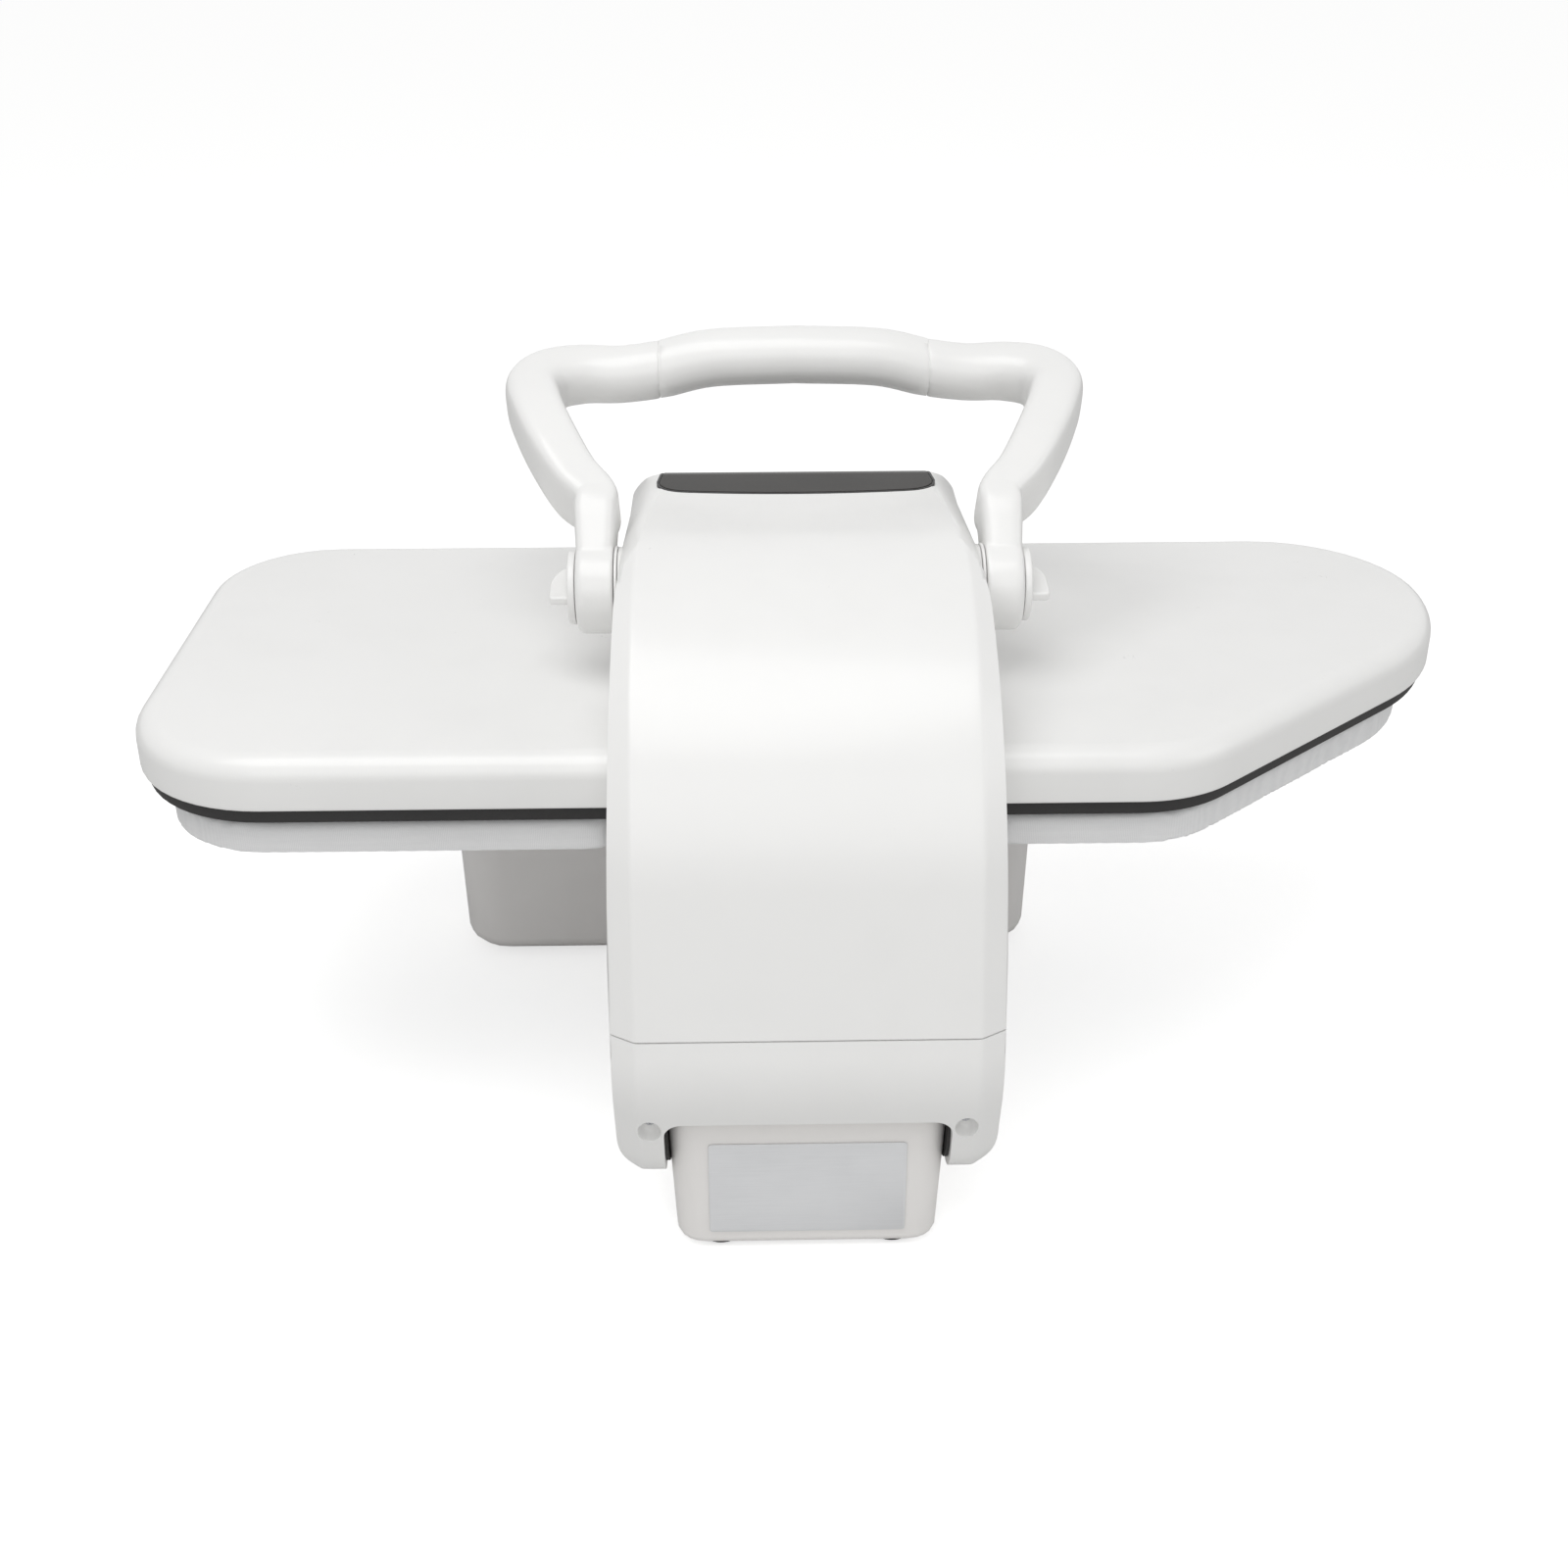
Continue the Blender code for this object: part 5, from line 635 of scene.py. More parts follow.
def softenEdges(ob, width, sharper=38.0, segments=2):
    # small moulded radius on every hard edge
    bm = bmesh.new()
    bm.from_mesh(ob.data)
    bmesh.ops.remove_doubles(bm, verts=bm.verts, dist=mergeDistance * 4)
    bmesh.ops.dissolve_limit(bm, angle_limit=math.radians(flatAngle), verts=bm.verts, edges=bm.edges)
    hard = [edge for edge in bm.edges
            if len(edge.link_faces) == 2 and edge.calc_face_angle(0.0) > math.radians(sharper)]
    bmesh.ops.bevel(bm, geom=hard, offset=width, offset_type="OFFSET", segments=segments, profile=0.5,
                    affect="EDGES", clamp_overlap=True)
    bm.to_mesh(ob.data)
    bm.free()
    return ob


def shadeSmooth(ob, angle=32.0):
    mesh = ob.data
    mesh.polygons.foreach_set("use_smooth", [True] * len(mesh.polygons))
    mesh.set_sharp_from_angle(angle=math.radians(angle))
    return ob


def weighNormals(ob):
    # keeps large flat faces flat beside their rounded edges
    step = ob.modifiers.new("weigh", "WEIGHTED_NORMAL")
    step.keep_sharp = True
    step.weight = 60
    return settle(ob)


def cadCopy(name, node):
    # a merged copy of a CAD node's loose triangles, in row axes
    bm = bmesh.new()
    bm.from_mesh(nodes[node].data)
    bmesh.ops.remove_doubles(bm, verts=bm.verts, dist=mergeDistance)
    outwards(bm)
    return newObject(name, bm)


def setFinish(ob, finish):
    ob.data.materials.clear()
    ob.data.materials.append(Finish.made[finish])


def addPiece(ob, body, finish, slot, *replaced, inMachine=True):
    if inMachine:
        ob.data.transform(Matrix.Translation(machineShift))
    setFinish(ob, finish)
    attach(ob, body)
    if replaced:
        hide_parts(*replaced)
    return ob


# Plan of the head, of its plates and of the board
headPlan = {
    "squareReach": 0.309, "noseReach": 0.3315, "depth": 0.2692,
    "diagonalStart": 0.1745, "diagonalAngle": 41.6,
    "squareRear": 0.0685, "squareFront": 0.060, "noseFront": 0.078, "noseRear": 0.113, "diagonal": 0.064,
    "top": 0.222, "edgeRound": 0.011, "edgeSteps": 9,
    "topRows": (0.034, 0.026, 0.019),                     # flat top with its last rows near the edge
    "rimRows": ((0.0, 0.2045), (0.0, 0.1982), (0.0003, 0.1973), (0.0009, 0.197), (0.0017, 0.197),
                (skinThickness, 0.1976)),                 # inset and height, down the side and in
    "slotY": -0.0266, "slotLow": 0.15, "slotHigh": 0.25,
}


def headOutline(inset, steps=14):
    h = headPlan
    angle = math.radians(h["diagonalAngle"])
    left = -(h["noseReach"] - inset)
    near = -(h["depth"] - inset)
    drop = ((left + h["diagonalStart"]) * math.sin(angle) - inset) / math.cos(angle)
    corners = [
        (h["squareReach"] - inset, -inset, h["squareRear"] - inset),
        (-h["diagonalStart"] + inset * math.tan(angle / 2), -inset, h["diagonal"] - inset),
        (left, drop, h["noseRear"] - inset),
        (left, near, h["noseFront"] - inset),
        (h["squareReach"] - inset, near, h["squareFront"] - inset),
    ]
    return roundCorners(corners, steps)


def makeHead():
    h = headPlan
    shoulder = h["top"] - h["edgeRound"]
    levels = [(inset, h["top"]) for inset in h["topRows"]]
    for step in range(h["edgeSteps"] + 1):
        turn, bend = math.radians(90.0 * step / h["edgeSteps"]), h["edgeRound"]
        levels.append((bend * (1.0 - math.sin(turn)), h["top"] - bend * (1.0 - math.cos(turn))))
    levels += list(h["rimRows"]) + [(skinThickness, shoulder)]
    inner = h["edgeRound"] - skinThickness
    for step in (1, 2, 3):
        turn = math.radians(30.0 * step)
        levels.append((skinThickness + inner * (1.0 - math.cos(turn)), shoulder + inner * math.sin(turn)))
    head = ringSolid("headShell", [layOut(headOutline(inset), "Z", z) for inset, z in levels])
    low, high = h["slotLow"], h["slotHigh"]
    corners = [(-armWidth(low) - fit, low), (armWidth(low) + fit, low),
               (armWidth(high) + fit, high), (-armWidth(high) - fit, high)]
    carve(head, "DIFFERENCE", slab("slot", corners, "Y", h["slotY"], 0.03))
    shadeSmooth(head, 50.0)
    weighNormals(head)
    addPiece(head, "arm", "whiteMoulding", "white_moulding", "head_cover")


# Black ring in the gap between head and board: painted shade, a dark band that stands in for the shadow in
# that gap
gapShadePlan = {"outer": 0.0030, "inner": 0.0150, "low": 0.1896, "high": 0.1966, "round": 0.0012,
            "slotGap": 0.0008}


def makeGapShadeRing():
    s, h = gapShadePlan, headPlan
    outer, inner, low, high, bend = s["outer"], s["inner"], s["low"], s["high"], s["round"]
    profile = [(outer, high), (outer, low + bend), (outer + bend * 0.3, low + bend * 0.3),
               (outer + bend, low), (inner - bend, low), (inner, low + bend), (inner, high)]
    gapShadeRing = ringSolid("headGapShade", [layOut(headOutline(inset), "Z", z) for inset, z in profile], True)
    wide = armWidth(low) + s["slotGap"]
    slot = brick("slot", (-wide, h["slotY"] - s["slotGap"], h["slotLow"]), (wide, 0.03, h["slotHigh"]))
    carve(gapShadeRing, "DIFFERENCE", slot)
    # black rubber ring: painted shade standing in for the shadow between head and board
    addPiece(shadeSmooth(gapShadeRing, 40.0), "arm", "blackRubber", "black_rubber")


# The arm: an arched shell in three covers, with soft chamfers along both flanks
armPlan = {
    "half": 0.0860, "taper": 0.0032, "taperStart": 0.150, "footDraft": 0.0012,
    "crownRadius": 0.018, "crownFrontRadius": 0.030, "crownFrontY": -0.170, "crownRearY": -0.090,
    "crownRise": 0.0015, "flankRadius": 0.06,
    "top": 0.295, "arcRadius": 0.147, "arcY": -0.087, "sweep": 75.0,
    "flareHeight": 0.098, "rearRadius": 0.060, "topBendY": -0.170,
    "frontBendY": -0.228, "frontDrop": 0.032, "frontFootY": -0.240, "frontRadius": 0.022,
    "throatY": -0.026, "throatHeight": 0.098, "throatRadius": 0.015, "skirt": 0.210,
    "hingeY": 0.043, "hingeZ": 0.064, "legRadius": 0.026, "legCorner": 0.026, "legInner": 0.0637,
    "cavityTop": 0.096, "mouthTop": 0.0785, "mouthCorner": 0.008, "mouthRound": 0.0275,
    "splitDepth": 0.050, "seam": 0.1215, "seamGap": 0.0007, "edge": 0.0007,
    "screwX": 0.0698, "screwZ": 0.0760, "recessRadius": 0.0052, "recessDrop": 0.0014, "recessStretch": 1.26,
    "recessMouth": 0.0742, "recessFloor": 0.0655,
    # how far in from the flank, and how deep below the face
    "chamfer": ((0.0150, 0.0), (0.0124, 0.00004), (0.0113, 0.00022), (0.0104, 0.00066), (0.0094, 0.00125),
                (0.0064, 0.0031), (0.0034, 0.0049), (0.0012, 0.0063), (0.0004, 0.0070), (0.0, 0.0080)),
    "faceRows": (0.018, 0.022, 0.027, 0.033),             # further rows that keep the face flat
}


def armOutline(steps=12):
    # the arm from the side, from the front foot over the top and down to the legs
    a = armPlan
    centre = (a["arcY"], a["top"] - a["arcRadius"])
    back = arcPoints(centre, a["arcRadius"], 90.0, 90.0 - a["sweep"], 40)
    end = back[-1]
    slope = math.tan(math.radians(90.0 - a["sweep"]))
    flare = (end[0] + (end[1] - a["flareHeight"]) * slope, a["flareHeight"])
    sole = a["hingeZ"] - a["legRadius"]
    toCentre = Vector((a["hingeY"], a["hingeZ"])) - Vector(flare)
    heading = math.atan2(toCentre.y, toCentre.x) + math.asin(a["legRadius"] / toCentre.length)
    heel = flare[0] + (sole - flare[1]) / math.tan(heading)
    toe = a["hingeY"] - a["legRadius"]
    corners = [(a["frontFootY"], a["skirt"], 0.0),
               (a["frontBendY"], a["top"] - a["frontDrop"], a["frontRadius"]),
               (a["topBendY"], a["top"], a["frontRadius"])]
    corners += [(y, z, 0.0) for y, z in back]
    corners += [(flare[0], flare[1], a["rearRadius"]), (heel, sole, a["legRadius"] * 0.995),
                (toe, sole, a["legRadius"] * 0.80),
                (toe, a["hingeZ"] + a["legRadius"] * 0.25, a["throatRadius"]),
                (a["throatY"], a["throatHeight"], a["throatRadius"]), (a["throatY"], a["skirt"], 0.0)]
    return roundCorners(corners, steps)


def armWidth(z):
    share = (z - armPlan["taperStart"]) / (armPlan["top"] - armPlan["taperStart"])
    return armPlan["half"] - armPlan["taper"] * max(share, 0.0)


def armLimit(offset):
    # the arm from behind; its crown grows rounder towards the front
    a = armPlan
    crown = armWidth(a["top"] + a["crownRise"]) - offset
    high = a["top"] + a["crownRise"] - offset
    low = a["hingeZ"] - a["legRadius"] - fit + offset
    wide, foot = a["half"] - offset + 0.00002, a["half"] - a["footDraft"] - offset
    rings = []
    front, rear = a["crownFrontRadius"], a["crownRadius"]
    for y, radius in ((a["frontFootY"] - 0.03, front), (a["crownFrontY"], front),
                      (a["crownRearY"], rear), (farBehind, rear)):
        corner = radius - offset
        corners = [(-crown, high, corner), (-wide, a["taperStart"], a["flankRadius"]),
                   (-foot, low, a["legCorner"] - offset), (foot, low, a["legCorner"] - offset),
                   (wide, a["taperStart"], a["flankRadius"]), (crown, high, corner)]
        rings.append(layOut(roundCorners(corners, 16), "Y", y))
    return ringSolid("limit", rings)


def armSolid(name, offset):
    a = armPlan
    outline = armOutline()
    rings = []
    for back, inset in a["chamfer"][::-1]:
        rings.append((a["half"] - offset - back, inset + offset))
    for back in a["faceRows"]:
        rings.append((a["half"] - offset - back, offset))
    rings = [(-x, inset) for x, inset in rings] + [(x, inset) for x, inset in rings[::-1]]
    solid = ringSolid(name, [layOut(inwards(outline, inset), "X", x) for x, inset in rings])
    return carve(solid, "INTERSECT", armLimit(offset))


def splitOutline(shift):
    # parting line between the rear covers and the inner cover
    a = armPlan
    centre = (a["arcY"], a["top"] - a["arcRadius"])
    line = arcPoints(centre, a["arcRadius"] - a["splitDepth"] + shift, 90.0, 90.0 - a["sweep"], 24)
    slope = math.tan(math.radians(90.0 - a["sweep"]))
    end = line[-1]
    far = a["frontFootY"] - 0.02
    line = [(far, line[0][1])] + line
    line.append((end[0] + (end[1] - a["mouthTop"]) * slope, a["mouthTop"]))
    line.append((line[-1][0], underFloor))
    line.append((far, underFloor))
    return line


panelPlan = {
    "half": 0.0668, "halfFront": 0.0610, "rearY": -0.1375, "frontY": -0.222, "corner": 0.012, "bow": 0.005,
    "bowShare": 0.78, "bezel": 0.0014, "thickness": 0.0014, "proud": 0.0004, "edge": 0.00035,
}


def panelOutline(grow):
    p = panelPlan
    half, rear, near, corner = p["half"], p["rearY"], p["frontY"], p["corner"]
    count = 12
    shares = [p["bowShare"] * i / count for i in range(count + 1)]
    bow = [(half * share, rear - p["bow"] * share ** 2) for share in shares]
    curve = [(half, rear - p["bow"] - corner)]
    start, bend, end = Vector(bow[-1]), Vector((half, rear - p["bow"] * 0.9)), Vector(curve[0])
    for t in (0.875, 0.75, 0.625, 0.5, 0.375, 0.25, 0.125):
        curve.append(tuple(start * (1 - t) ** 2 + bend * 2 * t * (1 - t) + end * t * t))
    narrow = p["halfFront"]
    points = [(narrow, near + corner)] + curve + bow[::-1] + [(-x, y) for x, y in bow[1:]]
    points += [(-x, y) for x, y in curve[::-1]]
    points += [(-narrow, near + corner), (-narrow + corner, near), (narrow - corner, near)]
    return inwards(points, -grow) if grow else points


def armSkin(name, outline, low, high):
    # a curved sheet that follows the arm's top, between two depths below it
    a = armPlan
    sheet = slab(name, inwards(armOutline(), low), "X", -a["half"], a["half"])
    wide = a["half"] + 0.02
    carve(sheet, "DIFFERENCE", slab("core", inwards(armOutline(), high), "X", -wide, wide))
    floor = a["top"] - a["splitDepth"] + fit * 2
    return carve(sheet, "INTERSECT", slab("plan", outline, "Z", floor, a["top"] + 0.02))


makeHead()
makeGapShadeRing()
print("head shell and seal made")


def screwBowl(side):
    # cutter for a screw's recess, a bowl a little taller than wide
    a = armPlan
    radius, edge, steps = a["recessRadius"], a["recessMouth"], 9
    depth = edge - a["recessFloor"]
    profile = [(radius * 1.04, farBehind), (radius * 1.04, edge + 0.0008), (radius, edge)]
    for step in range(1, steps + 1):
        sunk = step / (steps + 0.6)
        profile.append((radius * math.sqrt(1.0 - sunk ** 2.6), edge - depth * step / steps))
    bowl = lathe("recess", "Y", (side * a["screwX"], a["screwZ"]), profile, 64)
    for vertex in bowl.data.vertices:
        vertex.co.z = a["screwZ"] - a["recessDrop"] + (vertex.co.z - a["screwZ"]) * a["recessStretch"]
    return bowl


def makeArm():
    a, p = armPlan, panelPlan
    wide, far, inner = a["half"] + 0.02, a["frontFootY"] - 0.02, a["legInner"]
    shell = armSolid("armShell", 0.0)
    room = armSolid("room", skinThickness)
    carve(room, "INTERSECT", brick("above", (-wide, far, a["cavityTop"]), (wide, farBehind, overAll)))
    tools = [room, roundBar("round", "X", (a["hingeY"], a["hingeZ"]), a["mouthRound"], -inner, inner, 64)]
    mouth = [(-inner, underFloor, 0.0), (inner, underFloor, 0.0), (inner, a["mouthTop"], a["mouthCorner"]),
             (-inner, a["mouthTop"], a["mouthCorner"])]
    tools.append(slab("mouth", roundCorners(mouth, 8), "Y", a["hingeY"], farBehind))
    throat = (inner, a["hingeY"], a["hingeZ"] + a["mouthRound"])
    tools.append(brick("throat", (-inner, far, underFloor), throat))
    headSpace = (wide, a["throatY"] - fit, headPlan["top"] + fit)
    tools.append(brick("headSpace", (-wide, far, underFloor), headSpace))
    tools += [screwBowl(1.0), screwBowl(-1.0)]
    carve(shell, "DIFFERENCE", *tools)
    print("arm shell carved")
    front = slab("split", splitOutline(-fit / 2), "X", -wide, wide)
    innerCover = carve(twin(shell, "armInnerCover"), "INTERSECT", front)
    rear = carve(shell, "DIFFERENCE", slab("split", splitOutline(fit / 2), "X", -wide, wide))
    below, above = a["seam"] - a["seamGap"] / 2, a["seam"] + a["seamGap"] / 2
    lower = carve(twin(rear, "armLowerCover"), "INTERSECT",
                  brick("below", (-wide, far, underFloor), (wide, farBehind, below)))
    carve(rear, "INTERSECT", brick("over", (-wide, far, above), (wide, farBehind, overAll)))
    rear.name = "armRearCover"
    depth = p["thickness"] - p["proud"]
    carve(rear, "DIFFERENCE", armSkin("recess", panelOutline(p["bezel"] + fit), -fit * 4, depth + fit))
    covers = {"arm_inner_cover": innerCover, "arm_lower_cover": lower, "arm_rear_cover": rear}
    for node, cover in covers.items():
        softenEdges(cover, a["edge"], 50.0)
        shadeSmooth(cover, 38.0)
        weighNormals(cover)
        addPiece(cover, "arm", "whiteMoulding", "white_moulding", node)

    glass = armSkin("panelGlass", panelOutline(0.0), -p["proud"], depth)
    softenEdges(glass, p["edge"], 40.0, 3)
    shadeSmooth(glass, 30.0)
    weighNormals(glass)
    addPiece(glass, "arm", "panelGlass", "panel_glass", "control_panel")
    ring = armSkin("panelRim", panelOutline(p["bezel"]), -p["proud"] / 2, depth)
    carve(ring, "DIFFERENCE", slab("middle", panelOutline(fit), "Z", 0.22, 0.34))
    shadeSmooth(ring, 30.0)
    addPiece(ring, "arm", "bezelBlack", "bezel_black", "panel_bezel")


makeArm()
print("arm covers and panel made")


# The handle: two side arms with their hubs, and the grip between them
handlePlan = {
    "hubY": -0.090, "hubZ": 0.266, "hubRadius": 0.0215, "hubBevel": 0.0040,
    "inner": 0.085915, "outer": 0.103515, "cornerX": 0.130, "seamX": 0.067,
    "gripY": -0.204, "gripZ": 0.3445, "shoulderZ": 0.3355, "gripRadius": 0.0142,
    "broad": 0.022, "thick": 0.033, "voxel": 0.0008, "partingRise": 0.00022, "steps": 7, "sides": 48,
    # out, forward, up as shares; width and thickness shares; lean; squareness
    "stations": ((0.00, 0.035, 0.088, 0.78, 1.03, 35.0, 5.0), (0.00, 0.116, 0.288, 0.86, 0.94, 36.0, 5.0),
                 (0.00, 0.175, 0.399, 0.92, 0.94, 42.0, 5.0), (0.01, 0.235, 0.445, 0.94, 0.97, 57.0, 5.0),
                 (0.300, 0.320, 0.530, 1.02, 1.00, 66.0, 5.0), (0.595, 0.460, 0.690, 1.11, 1.00, 68.0, 4.6),
                 (0.856, 0.652, 0.835, 1.16, 1.00, 68.0, 4.2), (0.958, 0.817, 0.915, 1.24, 0.97, 68.0, 3.4),
                 (0.765, 0.930, 0.985, 1.28, 0.88, 68.0, 2.6), (0.317, 0.990, 1.000, 1.29, 0.86, 68.0, 2.2),
                 (-0.218, 1.000, 0.993, 1.29, 0.86, 68.0, 2.0)),
    "gripRise": 0.22, "gripLevel": (0.62, 0.83),
    # share of the section and shift along the grip, for the spigot and small radius at either end
    "gripEnd": ((0.968, -0.0016), (0.968, 0.00004), (0.992, 0.00006), (1.0, 0.00022)),
}


def smoothRow(points, steps):
    # Catmull-Rom through rows of numbers of any length
    rows = [[2 * a - b for a, b in zip(points[0], points[1])]] + list(points)
    rows.append([2 * a - b for a, b in zip(points[-1], points[-2])])
    path = []
    for i in range(1, len(rows) - 2):
        for step in range(steps):
            t = step / steps
            path.append([0.5 * (2 * b + (c - a) * t + (2 * a - 5 * b + 4 * c - d) * t * t
                                + (3 * b - a - 3 * c + d) * t * t * t)
                         for a, b, c, d in zip(*rows[i - 1:i + 3])])
    path.append(list(rows[-2]))
    return path


def handleSections(steps, sides):
    # rings from the left hub to the middle of the grip
    h = handlePlan
    middle = (h["inner"] + h["outer"]) / 2
    stations = []
    for out, forward, up, broad, thick, lean, power in h["stations"]:
        x = middle + (h["cornerX"] - middle) * out
        y = h["hubY"] + (h["gripY"] - h["hubY"]) * forward
        z = h["hubZ"] + (h["shoulderZ"] - h["hubZ"]) * up
        stations.append((x, y, z, h["broad"] * broad, h["thick"] * thick, lean, power))
    rise = h["gripZ"] - h["shoulderZ"]
    along, level = h["gripLevel"]
    width = h["gripRadius"] * 2
    stations += [(h["seamX"], h["gripY"], h["shoulderZ"] + rise * h["gripRise"], width, width, 68.0, 2.0),
                 (h["seamX"] * along, h["gripY"], h["shoulderZ"] + rise * level, width, width, 68.0, 2.0),
                 (0.0, h["gripY"], h["gripZ"], width, width, 68.0, 2.0)]
    rows = smoothRow(stations, steps)
    rings = []
    for i, (x, y, z, width, thick, lean, power) in enumerate(rows):
        here = Vector((x, y, z))
        ahead = Vector(rows[min(i + 1, len(rows) - 1)][:3])
        behind = Vector(rows[max(i - 1, 0)][:3])
        along = (ahead - behind).normalized()
        if i in (len(h["stations"]) * steps, len(rows) - 1):     # square to the grip at its seam and middle
            along = Vector((-1.0, 0.0, 0.0))
        turn = math.radians(lean)
        face = Vector((0.0, math.cos(turn), math.sin(turn)))
        across = face.cross(along).normalized()
        face = along.cross(across).normalized()
        ring = []
        for k in range(sides):
            angle = 2 * math.pi * (k + 0.5) / sides
            c, s = math.cos(angle), math.sin(angle)
            ring.append(here + across * (math.copysign(abs(c) ** (2.0 / power), c) * width / 2)
                        + face * (math.copysign(abs(s) ** (2.0 / power), s) * thick / 2))
        rings.append(ring)
    return rings


def meltTogether(ob, voxel, rounds):
    # one moulding from overlapping solids, its inner corners softened
    step = ob.modifiers.new("melt", "REMESH")
    step.mode = "VOXEL"
    step.voxel_size = voxel
    step.use_smooth_shade = True
    settle(ob)
    step = ob.modifiers.new("relax", "SMOOTH")
    step.factor = 0.5
    step.iterations = rounds
    settle(ob)
    shadeSmooth(ob, 80.0)
    return ob


def gather(name, *parts):
    bm = bmesh.new()
    for part in parts:
        bm.from_mesh(part.data)
        bpy.data.objects.remove(part, do_unlink=True)
    return newObject(name, bm)


def makeHandleArms(rings):
    h = handlePlan
    radius, bevel = h["hubRadius"], h["hubBevel"]
    for word, side in (("left", 1.0), ("right", -1.0)):
        rows = [list(ring) for ring in rings]
        rows[-1] = [Vector((h["seamX"] + fit / 2, p.y, p.z)) for p in rows[-1]]
        rows = [[Vector((side * p.x, p.y, p.z)) for p in row] for row in rows]
        limb = ringSolid("limb", rows)
        profile = [(radius - 0.0006, side * h["inner"]), (radius, side * (h["inner"] + 0.0006))]
        for step in range(7):
            turn = math.radians(15.0 * step)
            profile.append((radius - bevel * (1.0 - math.cos(turn)),
                            side * (h["outer"] - bevel + bevel * math.sin(turn))))
        hub = lathe("hub", "X", (h["hubY"], h["hubZ"]), profile, 96)
        arm = meltTogether(gather("handleArm" + word.title(), limb, hub), h["voxel"], 4)
        addPiece(arm, "handle", "whiteMoulding", "white_moulding", "handle_arm_" + word)


def makeGrip(rings):
    h = handlePlan
    half = [list(ring) for ring in rings]
    half[0] = [Vector((h["seamX"] - fit / 2, p.y, p.z)) for p in half[0]]
    rows = half + [[Vector((-p.x, p.y, p.z)) for p in ring] for ring in half[:-1]][::-1]
    ends = []
    for row, turned in ((rows[0], -1.0), (rows[-1], 1.0)):
        middle = sum(row, Vector()) / len(row)
        ends.append([[middle + (p - middle) * share + Vector((turned * step, 0.0, 0.0)) for p in row]
                     for share, step in h["gripEnd"]])
    rows = ends[0] + rows[1:-1] + ends[1][::-1]
    for row in rows:                                             # parting ridge of the two grip halves
        middle = sum(row, Vector()) / len(row)
        for k in (0, h["sides"] // 2):
            row[k] = row[k] - (middle - row[k]).normalized() * h["partingRise"]
    grip = ringSolid("handleGrip", rows)
    shadeSmooth(grip, 60.0)
    addPiece(grip, "handle", "whiteMoulding", "white_moulding", "handle_grip")


handleRings = handleSections(handlePlan["steps"], handlePlan["sides"])
seamRing = len(handlePlan["stations"]) * handlePlan["steps"]
makeHandleArms(handleRings[:seamRing + 1])
makeGrip(handleRings[seamRing:])
print("handle made")


knobPlan = {
    "radius": 0.0172, "thickness": 0.0034, "rim": 0.0010, "wingReach": 0.0088, "wingThickness": 0.0042,
    "wingFront": 0.0170, "wingRear": 0.0130, "wingTurn": 8.0, "voxel": 0.0004,
}


def makeKnobs():
    k, h = knobPlan, handlePlan
    for word, side in (("left", 1.0), ("right", -1.0)):
        back = h["outer"] + fit
        face = back + k["thickness"]
        inner = k["radius"] - k["rim"] * 2
        radius = k["radius"]
        profile = [(radius - 0.0004, side * back), (radius, side * (back + 0.0004)),
                   (radius, side * (face - 0.0007)), (radius - 0.0003, side * (face - 0.0002)),
                   (radius - 0.0008, side * face), (inner, side * face),
                   (inner - 0.0004, side * (face - 0.0004)), (inner - 0.0006, side * (face - k["rim"]))]
        disc = lathe("disc", "X", (h["hubY"], h["hubZ"]), profile, 96)
        root = face - k["rim"] * 2
        reach = face + k["wingReach"] - root
        front = [(root + reach * math.cos(math.radians(turn)), -k["wingFront"] * math.sin(math.radians(turn)))
                 for turn in range(0, 91, 5)]
        tip, bend = root + reach, k["wingReach"] / 4
        end = roundCorners([(tip, 0.0, 0.0), (tip, k["wingRear"], bend), (root, k["wingRear"], 0.0)], 6)
        outline = front[::-1] + end[1:]
        half = k["wingThickness"] / 2
        tilt = math.radians(k["wingTurn"])
        rings = []
        for inset, z in ((0.0009, -half), (0.0002, -half + 0.0003), (0.0, -half + 0.0008),
                         (0.0, half - 0.0008), (0.0002, half - 0.0003), (0.0009, half)):
            ring = []
            for x, y in inwards(outline, inset):
                ring.append(Vector((side * x, h["hubY"] + y * math.cos(tilt) + z * math.sin(tilt),
                                    h["hubZ"] - y * math.sin(tilt) + z * math.cos(tilt))))
            rings.append(ring)
        knob = meltTogether(gather("knob" + word.title(), disc, ringSolid("wing", rings)), k["voxel"], 2)
        addPiece(knob, word + "_knob", "whiteMoulding", "white_moulding", "knob_" + word)


makeKnobs()
print("knobs made")


# White nylon washer between each hub and its seat on the arm's flank
washerPlan = {"thickness": 0.0014, "inset": 0.0022, "bore": 0.0043, "edge": 0.0003,
              "seatInset": 0.0030, "seatBore": 0.0046, "seatRoot": 0.0795, "seatEdge": 0.0004}


def makeWashers():
    w, h = washerPlan, handlePlan
    centre = (h["hubY"], h["hubZ"])
    for word, side in (("Left", 1.0), ("Right", -1.0)):
        high = h["inner"] - fit
        low, outer, bore, edge = high - w["thickness"], h["hubRadius"] - w["inset"], w["bore"], w["edge"]
        profile = [(bore, side * low), (outer - edge, side * low), (outer, side * (low + edge)),
                   (outer, side * (high - edge)), (outer - edge, side * high), (bore, side * high)]
        washer = shadeSmooth(lathe("hubWasher" + word, "X", centre, profile, 72, True), 30.0)
        addPiece(washer, "handle", "whiteMoulding", "white_moulding", "hub_washer_" + word.lower())
        outer, bore, edge = h["hubRadius"] - w["seatInset"], w["seatBore"], w["seatEdge"]
        root, face = w["seatRoot"], low - fit
        profile = [(bore, side * root), (outer + edge, side * root), (outer, side * (face - edge)),
                   (outer - edge, side * face), (bore, side * face)]
        seat = shadeSmooth(lathe("hubSeat" + word, "X", centre, profile, 72, True), 40.0)
        addPiece(seat, "arm", "whiteMoulding", "white_moulding")


makeWashers()
